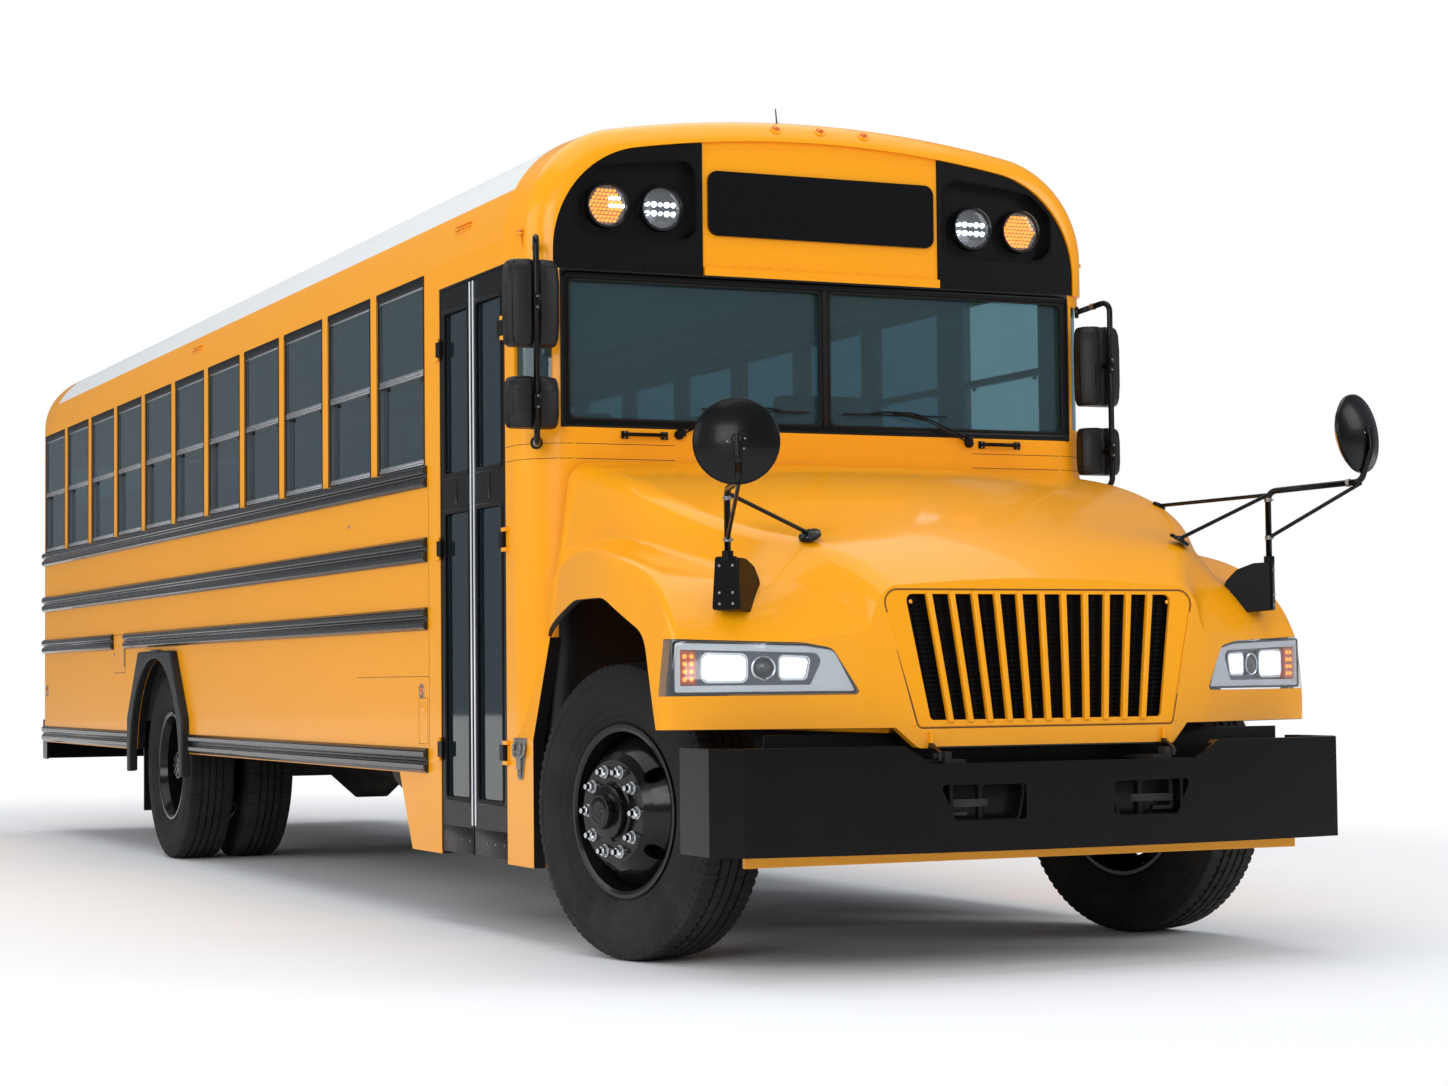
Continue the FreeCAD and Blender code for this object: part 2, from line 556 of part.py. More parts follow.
def make_windows():
    openings = [window_y(i) for i in range(WINDOW_COUNT)]
    for y0, y1 in openings:
        frame, panes = window_frame(y0, y1, HALF - 6)
        add("window_frames", *both(frame))
        for pane in panes:
            add("body_glass", *both(pane))
    frame, panes = window_frame(*DRIVER_WINDOW_Y, HALF - 6)
    add("window_frames", frame)
    add("body_glass", *panes)
    # windscreen: rubber surround with a centre post, two flat panes
    w, (z0, z1) = WINDSCREEN_HALF, WINDSCREEN_Z
    surround = box(-w - 14, w + 14, COWL_Y + 8, COWL_Y + WALL, z0 - 14, z1 + 14)
    for side in both(prism_y(rectangle(16, w - 16, z0 + 16, z1 - 16), COWL_Y, COWL_Y + 60, 30)):
        surround = surround.cut(side)
    for side in both(box(10, w - 10, GLASS_Y, GLASS_Y + GLASS, z0 + 10, z1 - 10)):
        surround = surround.cut(side)
    add("window_frames", surround)
    add("body_glass", *both(box(10, w - 10, GLASS_Y, GLASS_Y + GLASS, z0 + 10, z1 - 10)))
    # curved corner panes between the windscreen and the sides
    outer, outer_r = cowl_plan(12)
    inner, inner_r = cowl_plan(20)
    skin = prism_z(outer, *CORNER_GLASS_Z, outer_r).cut(
        prism_z(inner, CORNER_GLASS_Z[0] - 5, CORNER_GLASS_Z[1] + 5, inner_r))
    pane = skin.common(box(CORNER_GLASS_X, HALF, COWL_Y - 20, CORNER_GLASS_Y, *CORNER_GLASS_Z))
    add("body_glass", *both(pane))
    x0, x1 = REAR_WINDOW_X
    add("body_glass", *both(box(x0, x1, BODY_REAR_Y - 25, BODY_REAR_Y - 17, *REAR_WINDOW_Z)))


# ---- rails and trim ------------------------------------------------------------------------------------------
RAIL_Z = ((1759, 1853 - 4), (1454, 1556), (1178, 1271))
LOW_RAIL_Z = (600, 700)
RAIL_DEEP = 22
FUEL_DOOR_Y = (7404, 7732)


def rail(y0, y1, z0, z1):
    """A rub rail with two raised ribs."""
    h, x = z1 - z0, HALF
    deep, web = RAIL_DEEP, 8
    ribs = [(x, z0), (x + web, z0), (x + deep, z0 + 0.12 * h), (x + deep, z0 + 0.36 * h), (x + web, z0 + 0.46 * h),
            (x + web, z0 + 0.54 * h), (x + deep, z0 + 0.64 * h), (x + deep, z0 + 0.88 * h), (x + web, z1), (x, z1)]
    return prism_y(ribs, y0, y1)


def make_rub_rails():
    start, end = FIRST_WINDOW_Y + PILLAR / 2 - 30, REAR_MODULE_Y + 20
    runs = [(start, end, *z) for z in RAIL_Z[:2]]
    runs += [(start, FUEL_DOOR_Y[0], *RAIL_Z[2]), (FUEL_DOOR_Y[1], end, *RAIL_Z[2])]
    runs += [(start, WHEELBASE - ARCH_R - 90, *LOW_RAIL_Z), (WHEELBASE + ARCH_R + 90, end, *LOW_RAIL_Z)]
    for run in runs:
        add("rub_rails", *both(rail(*run)))
    flare = cylinder((HALF + 20, WHEELBASE, TYRE_R), (1, 0, 0), ARCH_R + 48, 40)
    flare = flare.cut(arch_cut(HALF - 5, HALF + 60, ARCH_R - 1)).cut(
        box(HALF - 5, HALF + 60, WHEELBASE - 800, WHEELBASE + 800, -400, SKIRT_Z - 115))
    add("rub_rails", *both(flare))
    flap_x = DUAL_OUTER_X - DUAL_SPACING / 2
    flap = box(flap_x - 290, flap_x + 280, WHEELBASE + HOUSE_R + 2, WHEELBASE + HOUSE_R + 12, 240,
               FLOOR_Z - FLOOR_THICK - 0.2)
    add("rub_rails", *both(flap))


# ---- chassis -------------------------------------------------------------------------------------------------
RAIL_X = (357, 432)         # frame rail, inner and outer
FRAME_Z = (700, 950)
HORN_Z = (520, 700)
HORN_Y = -1096
TOW_EYE = (305, -1064, 560)  # centre of a tow eye's upright hole
TOW_EYE_R = 22
TOW_EYE_THICK = 25


def make_frame():
    x0, x1 = RAIL_X
    z0, z1 = FRAME_Z
    rear = BODY_REAR_Y - 60
    pieces = []
    for side in (1, -1):
        a, b = sorted((side * x0, side * x1))
        channel = box(a, b, -780, rear, z0, z1)
        c0, c1 = (a - 5, b - 10) if side > 0 else (a + 10, b + 5)
        channel = channel.cut(box(c0, c1, -790, rear + 10, z0 + 12, z1 - 12))
        horn = box(a, b, HORN_Y, -700, *HORN_Z).cut(box(c0, c1, HORN_Y - 5, -790, HORN_Z[0] + 12, HORN_Z[1] - 12))
        pieces += [channel, horn]
        hy, hz = HINGE
        post_x = sorted((side * (x1 - 1), side * (x1 - 25)))
        pieces.append(box(*post_x, hy - 20, hy + 20, HORN_Z[1] - 5, hz + 14))
        pieces.append(rod((side * (x1 - 20), hy, hz), (side * (HINGE_ARM_X + 20), hy, hz), HOOD_PIN_R))
        x, y, z = side * TOW_EYE[0], TOW_EYE[1], TOW_EYE[2]
        t0, t1 = z - TOW_EYE_THICK / 2, z + TOW_EYE_THICK / 2
        e0, e1 = sorted((x, side * (x1 - 5)))
        eye = box(e0, e1, y - 42, y + 90, t0, t1).fuse(cylinder((x, y, z), (0, 0, 1), 42, TOW_EYE_THICK))
        pieces.append(eye.cut(cylinder((x, y, z), (0, 0, 1), TOW_EYE_R, 60)))
    for y in (-770, 1500, 3000, 4500, 5700, 7340, 8800, rear - 60):
        pieces.append(box(-x1, x1, y, y + 60, z0 + 130, z1 - 40))
    add("chassis_frame", fuse(pieces))


AXLE_Y_HALF = 48
SPRING_Z_FRONT = (566, 640)
SPRING_Z_REAR = (618, 690)
PIN_R = 26


def make_front_axle():
    """Dropped I-beam, its eyes bored for the kingpins."""
    x, z = KINGPIN_X, TYRE_R
    beam = [(-x, z + 55), (-x, z - 55), (-620, 440), (-300, 390), (300, 390), (620, 440), (x, z - 55), (x, z + 55),
            (620, 560), (300, 500), (-300, 500), (-620, 560)]
    body = prism_y(beam, -AXLE_Y_HALF, AXLE_Y_HALF, [0, 0, 60, 60, 60, 60, 0, 0, 60, 60, 60, 60])
    groove = [(-590, 458), (-290, 415), (290, 415), (590, 458), (590, 530), (290, 478), (-290, 478), (-590, 530)]
    for y0, y1 in ((-AXLE_Y_HALF - 5, -12), (12, AXLE_Y_HALF + 5)):
        body = body.cut(prism_y(groove, y0, y1, 30))
    for side in (1, -1):
        eye = cylinder((side * x, 0, z), (0, 0, 1), 58, 110)
        body = body.fuse(eye).cut(cylinder((side * x, 0, z), (0, 0, 1), PIN_R + 0.05, 200))
    for px in ((RAIL_X[0] + RAIL_X[1]) / 2,):
        for side in (1, -1):
            body = body.fuse(box(side * px - 45, side * px + 45, -70, 70, 470, SPRING_Z_FRONT[0]))
    add("front_axle", body.removeSplitter())


def leaf_pack(y_mid, length, z0, z1):
    """A pack of leaves, shorter towards the bottom, with an eye hanger up to the frame at each end."""
    x = sum(RAIL_X) / 2
    leaves = 4
    step = (z1 - z0) / leaves
    pieces = [box(x - 38, x + 38, y_mid - length / 2 * (1 - 0.2 * (leaves - 1 - i)),
                  y_mid + length / 2 * (1 - 0.2 * (leaves - 1 - i)), z0 + i * step, z0 + (i + 1) * step)
              for i in range(leaves)]
    for end in (-1, 1):
        y = y_mid + end * (length / 2 - 30)
        pieces.append(box(x - 38, x + 38, y - 30, y + 30, z1, FRAME_Z[0]))
    return fuse(pieces)


def make_leaf_springs():
    add("leaf_springs", *both(leaf_pack(0, 1380, *SPRING_Z_FRONT)))
    add("leaf_springs", *both(leaf_pack(WHEELBASE, 1560, *SPRING_Z_REAR)))


DRUM_R = 215


def make_rear_axle():
    """Axle housing with its differential and the shaft that drives it."""
    tube_end = DUAL_OUTER_X - DUAL_SPACING - TYRE_WIDTH / 2 - 30
    end = DUAL_OUTER_X + 60
    half = [(42, end), (42, tube_end), (75, tube_end), (75, 235), (205, 85)]
    profile = [(0, end)] + half + [(r, -x) for r, x in reversed(half)] + [(0, -end)]
    housing = revolve(profile, (0, WHEELBASE, TYRE_R))
    nose = Part.makeCone(120, 82, 300, V(0, WHEELBASE - 100, TYRE_R), V(0, -1, 0))
    shaft = rod((0, WHEELBASE - 380, TYRE_R + 12), (0, 1360, 760), 55)
    pads = [box(side * sum(RAIL_X) / 2 - 45, side * sum(RAIL_X) / 2 + 45, WHEELBASE - 85, WHEELBASE + 85,
                TYRE_R, SPRING_Z_REAR[0]) for side in (1, -1)]
    add("rear_axle", fuse([housing, nose, shaft] + pads))


def make_engine():
    """Engine and gearbox as plain blocks at their real place, and the radiator behind the grille."""
    engine = fuse([box(-300, 300, -640, 540, 720, 1340), box(-200, 200, -560, 400, 560, 720)])
    gearbox = box(-210, 210, 540, 1330, 620, 900)
    add("engine_block", engine.fuse(gearbox).removeSplitter())
    add("engine_block", box(-350, 350, -880, -800, 712, 1180))
    hanger = [box(-350, 350, -800, -640, 914, 954)]
    web = RAIL_X[1] - 10 - SEAT
    hanger += both(box(295, web, -260, -140, 760, 860)) + both(box(205, web, 900, 1000, 780, 860))
    NODES["engine_block"] = fuse(NODES["engine_block"] + hanger).Solids


MUFFLER_X = -620
PIPE_X = -500


def make_tanks():
    tank = prism_y([(-320, 420), (320, 420), (320, 660), (-320, 660)], 8000, 9200, 60)
    straps = [box(-310, 310, y, y + 40, 655, FRAME_Z[0] - 10) for y in (8200, 8950)]
    hooks = [box(-RAIL_X[1], RAIL_X[1], y, y + 40, FRAME_Z[0] - 16, FRAME_Z[0] - SEAT) for y in (8200, 8950)]
    add("fuel_tank", fuse([tank] + straps + hooks))
    muffler = cylinder((MUFFLER_X, 3250, 572), (0, 1, 0), 135, 1000)
    path = [(PIPE_X, 3700, 590), (PIPE_X, 5500, 590), (PIPE_X, 5900, 662), (PIPE_X, 7250, 662), (PIPE_X, 7650, 540),
            (PIPE_X, BODY_REAR_Y - 30, 540)]
    wire = Part.Wire(rounded_edges(path, [260] * 4))
    section = Part.Wire(Part.makeCircle(48, V(*path[0]), V(0, 1, 0)))
    pipe = wire.makePipeShell([section], True, True)
    hangers = [box(MUFFLER_X - 20, -RAIL_X[1], y, y + 30, 702, 722) for y in (2900, 3500)]
    drops = [box(MUFFLER_X - 20, MUFFLER_X + 20, y, y + 30, 690, 722) for y in (2900, 3500)]
    add("exhaust", fuse([muffler, pipe] + hangers + drops))


# ---- bumpers -------------------------------------------------------------------------------------------------
BUMPER_Z = (405, 748)
NOTCH_Z = 690
NOTCH_X = (506, 605)        # half width at its bottom and at its top
BUMPER_SAG = 97             # how far its ends stand behind its middle
BUMPER_FACE_HALF = 1131
TOW_X = (167, 476)
TOW_Z = (506, 622)


def bumper_plan(inset):
    """The swept face with a returned end each side, inset from the outside."""
    half, nose = HALF - 14 - inset, -BUMPER_NOSE + inset
    face, end_y, back = BUMPER_FACE_HALF - inset * 0.6, -BUMPER_NOSE + BUMPER_SAG + inset, -720
    edge = 10 if inset else 0
    return Part.Wire([
        Part.Arc(V(-face, end_y, 0), V(0, nose, 0), V(face, end_y, 0)).toShape(),
        Part.LineSegment(V(face, end_y, 0), V(half, end_y + 110, 0)).toShape(),
        Part.LineSegment(V(half, end_y + 110, 0), V(half, back + edge, 0)).toShape(),
        Part.LineSegment(V(half, back + edge, 0), V(-half, back + edge, 0)).toShape(),
        Part.LineSegment(V(-half, back + edge, 0), V(-half, end_y + 110, 0)).toShape(),
        Part.LineSegment(V(-half, end_y + 110, 0), V(-face, end_y, 0)).toShape(),
    ])


def plan_block(wire, z0, z1):
    face = Part.Face(wire)
    face.translate(V(0, 0, z0))
    return face.extrude(V(0, 0, z1 - z0))


def make_bumpers():
    z0, z1 = BUMPER_Z
    plate = 12
    outer = plan_block(bumper_plan(0), z0, z1)
    shell = outer.cut(plan_block(bumper_plan(plate), z0 + plate, z1 - plate))
    shell = shell.cut(plan_block(bumper_plan(46), z0 - 5, z1 + 5))     # leaves top and bottom flanges
    a, b = NOTCH_X
    notch = prism_y([(-a, NOTCH_Z), (a, NOTCH_Z), (b, z1 + 5), (-b, z1 + 5)], -1300, -500)
    bottom = plan_block(bumper_plan(0), NOTCH_Z - plate, NOTCH_Z).cut(
        plan_block(bumper_plan(46), NOTCH_Z - 20, NOTCH_Z + 5)).common(box(-a, a, -1300, -500, 600, 700))
    shell = shell.cut(notch).fuse(bottom)
    x0, x1 = TOW_X
    hole = [(x0, TOW_Z[0]), (x1 - 55, TOW_Z[0]), (x1, TOW_Z[1]), (x0, TOW_Z[1])]
    for side in both(prism_y(hole, -1300, -1050, 14)):
        shell = shell.cut(side)
    # plates that bolt the bumper to the frame horns
    for side in both(box(RAIL_X[1], RAIL_X[1] + 12, -1090, -860, 530, 690)):
        shell = shell.fuse(side)
    for side in both(box(RAIL_X[1], RAIL_X[1] + 12, -1142, -1085, 530, 690)):
        shell = shell.fuse(side)
    add("bumpers", shell.removeSplitter())
    rear = prism_z([(-HALF + 10, BODY_REAR_Y - 100), (-HALF + 10, REAR_FACE_Y), (HALF - 10, REAR_FACE_Y),
                    (HALF - 10, BODY_REAR_Y - 100)], 480, 740, [0, 80, 80, 0])
    core = prism_z([(-HALF + 22, BODY_REAR_Y - 110), (-HALF + 22, REAR_FACE_Y - 12), (HALF - 22, REAR_FACE_Y - 12),
                    (HALF - 22, BODY_REAR_Y - 110)], 470, 760, [0, 68, 68, 0])
    rear = rear.cut(core)
    legs = both(box(RAIL_X[0], RAIL_X[1], BODY_REAR_Y - 60, REAR_FACE_Y - 12, 560, 690))
    clip = both(box(RAIL_X[0], RAIL_X[1], BODY_REAR_Y - 59.9, BODY_REAR_Y - 48, 690, 900))
    # the body's lower wall stands in front of the bumper, so its ends tuck under it
    rear = rear.cut(box(-HALF, HALF, BODY_REAR_Y - 110, BODY_REAR_Y + 0.5, SKIRT_Z - 3, 800))
    legs = [leg.cut(box(-HALF, HALF, BODY_REAR_Y - 110, BODY_REAR_Y + 0.5, SKIRT_Z - 3, 800)) for leg in legs]
    add("bumpers", fuse([rear] + legs))


STRIP_HALF = 1062


def make_bumper_strip():
    """The yellow bar below the front bumper."""
    bar = box(-STRIP_HALF, STRIP_HALF, -906, -888, 362, BUMPER_Z[0] - 0.3)
    brackets = both(box(RAIL_X[0], RAIL_X[1], -888, -840, 380, 400)) + both(
        box(RAIL_X[0], RAIL_X[1], -852, -840, 400, HORN_Z[0] - 0.3))
    add("bumper_strip", fuse([bar] + brackets))


# ---- hood ----------------------------------------------------------------------------------------------------
HOOD_SKIN = 25
HOOD_REAR_Y = 588
HOOD_LOW_Z = 805
LIP_Z = 737
LIP_HALF = (488, 560)
HINGE = (-1072, 712)        # hood hinge, y and z
HINGE_ARM_X = 440
HOOD_PIN_R = 10
SHOULDER_ROUND, VALLEY_ROUND, FENDER_ROUND = 90, 60, 52
# y, crown z, shoulder x z, valley x z, fender x z, side x z
HOOD_SECTIONS = (
    (588, 1786, 1066, 1776, 1112, 1440, 1140, 1300, 1170, 1000),
    (300, 1756, 1086, 1722, 1124, 1450, 1198, 1412, 1238, 1000),
    (0, 1714, 1062, 1655, 1114, 1450, 1222, 1430, 1252, 1000),
    (-300, 1634, 1000, 1552, 1070, 1402, 1226, 1384, 1260, 950),
    (-550, 1534, 868, 1468, 960, 1334, 1212, 1292, 1264, 850),
    (-722, 1456, 748, 1424, 880, 1300, 1212, 1106, 1264, 760),
    (-850, 1386, 652, 1362, 742, 1242, 1160, 905, 1264, 700),
    (-970, 1302, 606, 1276, 646, 1130, 1110, 790, 1264, 640),
    (-1060, 1215, 575, 1190, 612, 1050, 1080, 700, 1264, 560),
)
HOOD_PLAN = [(-1266, 700), (-1266, -706), (-668, -968), (-486, -1020), (486, -1020), (668, -968), (1266, -706),
             (1266, 700)]
GRILLE_LEAN = 0.103         # how far the grille leans back for each mm of height
GRILLE_FACE_Y = -1030       # at the height HOOD_LOW_Z


def hood_section(row, inset, low):
    """One closed cross-section of the hood: a crown arc, then rounded corners down each side."""
    y, crown, sx, sz, vx, vz, fx, fz, ox, oz = row
    corners = [(sx - inset, sz - inset), (vx - inset, vz - inset), (fx - inset, fz - inset), (ox - inset, oz)]
    half = rounded_edges([(sx * 0.45, y, sz - inset + (crown - sz) * 0.75)] +
                         [(x, y, z) for x, z in corners] + [(ox - inset, y, low)],
                         [SHOULDER_ROUND - inset * 0.5, VALLEY_ROUND, FENDER_ROUND - inset * 0.5, 0])
    top = half[0].Vertexes[0].Point
    roof = Part.Arc(V(-top.x, y, top.z), V(0, y, crown - inset), V(top.x, y, top.z)).toShape()
    other = [e.mirror(V(0, 0, 0), V(1, 0, 0)) for e in half]
    floor = Part.LineSegment(V(-(ox - inset), y, low), V(ox - inset, y, low)).toShape()
    return Part.Wire(Part.__sortEdges__([roof] + half + other + [floor]))


def hood_block(inset, rear_grow, low):
    rows = [list(r) for r in HOOD_SECTIONS]
    rows[0][0] += rear_grow
    loft = Part.makeLoft([hood_section(r, inset, low) for r in rows], True, False)
    shrink = inset / 0.9
    plan = [(x - math.copysign(shrink, x), y + (shrink if y < 0 else 20)) for x, y in HOOD_PLAN]
    envelope = prism_z(plan, 300, 2100, [0, 70 - inset, 60, 30, 30, 60, 70 - inset, 0])
    lean = [(GRILLE_FACE_Y + inset - (HOOD_LOW_Z - 300) * GRILLE_LEAN, 300), (700, 300), (700, 2100),
            (GRILLE_FACE_Y + inset + (2100 - HOOD_LOW_Z) * GRILLE_LEAN, 2100)]
    return loft.common(envelope).common(prism_x(lean, -1400, 1400))


ARCH = [(-760, 500), (-668, 790), (-500, 1120), (-150, 1252), (150, 1252), (660, 1112), (760, 500)]
LAMP_OUTLINE = [(667, 914), (752, 1066), (840, 1084), (1232, 1100), (1300, 1100), (1300, 914)]
LAMP_BACK_Y = -655
GRILLE_TOP = (598, 1252)    # half width and height of the grille panel's upper corners
GRILLE_LOW = (484, 806)
BAR_COUNT = 11
BAR_TOP = (512, 1240)
BAR_LOW = (442, 828)
BAR_WIDTH = 27


def lamp_prism(grow):
    pts = [(x - grow, z - grow) for x, z in LAMP_OUTLINE[:1]]
    pts += [(x - grow, z + grow) for x, z in LAMP_OUTLINE[1:5]] + [(1300, 914 - grow)]
    return prism_y(pts, -1100, LAMP_BACK_Y + grow, [12, 40, 60, 0, 0, 0])


def grille_prism(grow, y0=-1100, y1=-900):
    (a, top), (b, low) = GRILLE_TOP, GRILLE_LOW
    return prism_y([(-b - grow, low - grow), (b + grow, low - grow), (a + grow, top + grow), (-a - grow, top + grow)],
                   y0, y1, [20, 20, 45, 45])


def lean_slab(front, back):
    """The space between two planes parallel to the grille's face."""
    def face(z, depth):
        return GRILLE_FACE_Y + depth + (z - HOOD_LOW_Z) * GRILLE_LEAN
    return prism_x([(face(600, front), 600), (face(600, back), 600), (face(1500, back), 1500),
                    (face(1500, front), 1500)], -700, 700)


def make_hood():
    outer = hood_block(0, 0, 400)
    inner = hood_block(HOOD_SKIN, 40, 350)
    shell = outer.cut(inner)
    a, b = LIP_HALF
    below = [(-1400, 300), (1400, 300), (1400, HOOD_LOW_Z), (b, HOOD_LOW_Z), (a, LIP_Z), (-a, LIP_Z),
             (-b, HOOD_LOW_Z), (-1400, HOOD_LOW_Z)]
    shell = shell.cut(prism_y(below, -1400, 1000, [0, 0, 0, 10, 30, 30, 10, 0]))
    radii = [0, 60, 160, 260, 260, 120, 0]
    arch = prism_x(ARCH, 700, 1500, radii)
    shell = shell.cut(arch).cut(mirrored(arch))
    # inner aprons between the wheel wells and the engine
    plate = box(500, 512, -860, 560, HOOD_LOW_Z - 25, 1750).common(outer).cut(
        box(480, 530, -2000, 2000, 0, HOOD_LOW_Z - 20))
    shell = shell.fuse(plate).fuse(mirrored(plate))
    lamps = lamp_prism(SEAT)
    shell = shell.cut(lamps).cut(mirrored(lamps)).cut(grille_prism(SEAT))
    y, z = HINGE
    arm = prism_x([(y - 14, z - 14), (y + 14, z - 14), (-1024, 734), (-1012, 742), (-1012, 790), (-1029, 790), (-1034, 752), (y - 14, z + 14)],
                  HINGE_ARM_X, HINGE_ARM_X + 12)
    shell = shell.fuse(both(arm)).cut(cylinder((0, y, z), (1, 0, 0), HOOD_PIN_R + PIN_FIT, 1000))
    add("hood", shell)
    lamp = outer.cut(hood_block(70, 0, 350)).common(lamp_prism(0))
    add("headlamps", *both(lamp))
    panel = outer.common(grille_prism(0)).common(lean_slab(0, 22))
    (ta, tz), (ba, bz) = BAR_TOP, BAR_LOW
    panel = panel.cut(prism_y([(-ba, bz), (ba, bz), (ta, tz), (-ta, tz)], -1200, -800, 14))
    bars = []
    for k in range(1, BAR_COUNT + 1):
        share = 2 * k / (BAR_COUNT + 1) - 1
        w = BAR_WIDTH / 2
        top_x, low_x = ta * share, ba * share
        bars.append(prism_y([(low_x - w, bz - 12), (low_x + w, bz - 12), (top_x + w, tz + 10), (top_x - w, tz + 10)],
                            -1200, -800).common(lean_slab(-12, 20)))
    add("grille", fuse([panel] + bars))


# ---- mirrors -------------------------------------------------------------------------------------------------
CROSS_R = 140
# side, mirror centre, the way its back faces, height of the post's top, the bend in its arm, end of the long stay
CROSS_MIRRORS = ((-1, (-1140, -1045, 1717), (-0.42, -0.9, 0.05), 1585, (-1144, -1070, 1591), None),
                 (1, (1222, -1081, 1800), (0.40, -0.88, 0.10), 1615, (1226, -1106, 1633), (1000, -180, 1600)))
POST = (1058, -790)
POST_FOOT_Z = 1180
DISC = (727, -722, 1442)


def make_crossview_mirrors():
    for side, centre, facing, top_z, bend, stay_end in CROSS_MIRRORS:
        n = V(*facing).normalize()
        c = V(*centre)
        dish = Part.makeSphere(260, c - n * 205)
        dish = dish.common(Part.makeCylinder(CROSS_R, 200, c - n * 12, n))
        px, py, pz = side * POST[0], POST[1], top_z
        back = c + n * 58
        low = (back.x, back.y, back.z - 60)
        arm = [rod((px, py, pz), bend, 11), knee(bend, 11), rod(bend, low, 11), knee(low, 11),
               rod(low, (back.x - n.x * 20, back.y - n.y * 20, back.z), 11)]
        post = rod((px, py, POST_FOOT_Z + 60), (px, py, pz), 11)
        cap = knee((px, py, pz), 11)
        brace = rod((px, py, pz - 160), (bend[0], bend[1], bend[2] - 5), 7)
        stays = [rod((px, py, pz - 10), (side * (DISC[0] + 8), DISC[1], DISC[2] + 6), 7),
                 cylinder((side * DISC[0], DISC[1], DISC[2]), (side * 0.45, -0.35, 0.9), 38, 12)]
        if stay_end:
            x, y, z = stay_end
            stays += [rod((px, py, pz - 10), stay_end, 7), cylinder((x, y, z - 4), (side * 0.5, -0.2, 0.85), 26, 10)]
        plate = box(px - 52, px + 52, py - 14, py, POST_FOOT_Z + 10, 1364)
        # the bracket's side plate stands on the fender, which shapes its foot
        gusset = prism_x([(py, 1364), (py, 1200), (-722, 1226), (-690, 1248), (-655, 1272), (-655, 1320)],
                         px - side * 52, px - side * 40)
        whole = fuse([dish, post, cap, brace, plate, gusset] + stays + arm).cut(NODES["hood"][0])
        add("crossview_mirrors", max(whole.Solids, key=lambda s: s.Volume))


# side, x and y of the post, z of its top, x and y of the heads, height of the big mirror's middle, of the small one's,
# width of the heads
SIDE_MIRRORS = ((-1, 1235, 485, 2600, 1235, 525, 2350, 1985, 210), (1, 1226, 500, 2470, 1217, 572, 2211, 1867, 190))


def mirror_head(x, y, z, w, h, d):
    """A mirror housing with rounded edges."""
    shell = prism_y(rectangle(x - w / 2, x + w / 2, z - h / 2, z + h / 2), y - d / 2, y + d / 2, 34)
    return shell.makeFillet(18, [e for e in shell.Edges if abs(e.BoundBox.YMax - e.BoundBox.YMin) < 0.1
                                 and e.BoundBox.YMin < y])


def make_side_mirrors():
    for side, x, y, top, head_x, head_y, big, small, wide in SIDE_MIRRORS:
        px, hx = side * x, side * head_x
        foot_z = small - 150
        post = [rod((px, y, foot_z), (px, y, top), 12), knee((px, y, top), 12), knee((px, y, foot_z), 12)]
        root_x = side * (HALF - 60)
        arms = [rod((px, y, top), (root_x, COWL_Y + 75, top - 30), 12),
                rod((px, y, foot_z), (root_x, COWL_Y + 75, foot_z + 15), 10)]
        arms += [rod((px, y, z), (px, head_y, z), 10) for z in (big, small)]
        heads = [mirror_head(hx, head_y, big, wide, 320, 90), mirror_head(hx, head_y, small, wide - 8, 190, 80)]
        whole = fuse(heads + post + arms)
        plan, radii = cowl_plan(0)
        body = prism_z(plan, FOOT_Z, CAP_Z, radii).fuse(end_block(COWL_Y, POST_Y, 0, CAP_Z, COWL_Y, CAP_R))
        whole = whole.cut(body)
        add("side_mirrors", max(whole.Solids, key=lambda s: s.Volume))


# ---- lamps, wipers and small fittings ------------------------------------------------------------------------
MARKERS_X = (-190, 0, 190)


def lamp_disc(x, y, z, out, radius=LAMP_R, deep=30):
    disc = cylinder((x, y + out * deep / 2, z), (0, 1, 0), radius, deep)
    edge = [e for e in disc.Edges if len(e.Vertexes) == 1 and abs(e.Vertexes[0].Y - (y + out * deep)) < 0.1]
    return disc.makeFillet(12, edge)


def make_lamps():
    floor_y = COWL_Y + TRAY_DEPTH - 22
    for x in LAMP_X:
        add("warning_lamps", *both(lamp_disc(x, floor_y, LAMP_Z, -1, LAMP_R, 36)))
        add("warning_lamps", *both(lamp_disc(x, BODY_REAR_Y, LAMP_Z, 1)))
    for x in (620, 830, 1040):
        add("warning_lamps", *both(lamp_disc(x, BODY_REAR_Y, 1290, 1, 75, 26)))


WIPER_PIVOT = (624, 1888)
STOP_HINGE = (HALF + 36, 1060)
STOP_Z = 1500


def wiper(pivot_x, tip_x, blade):
    """Arm from its pivot on the cowl to a blade that lies along the bottom of the glass."""
    y, z = COWL_Y, WIPER_PIVOT[1]
    tip_z, blade_y = 1990, COWL_Y - 4
    boss = cylinder((pivot_x, y - 14.1, z), (0, 1, 0), 18, 28)
    arm = rod((pivot_x, y - 15, z), (tip_x, blade_y + 6, tip_z), 7)
    rubber = box(tip_x - blade / 2, tip_x + blade / 2, blade_y, GLASS_Y - SEAT, tip_z - 9, tip_z + 9)
    return fuse([boss, arm, rubber])


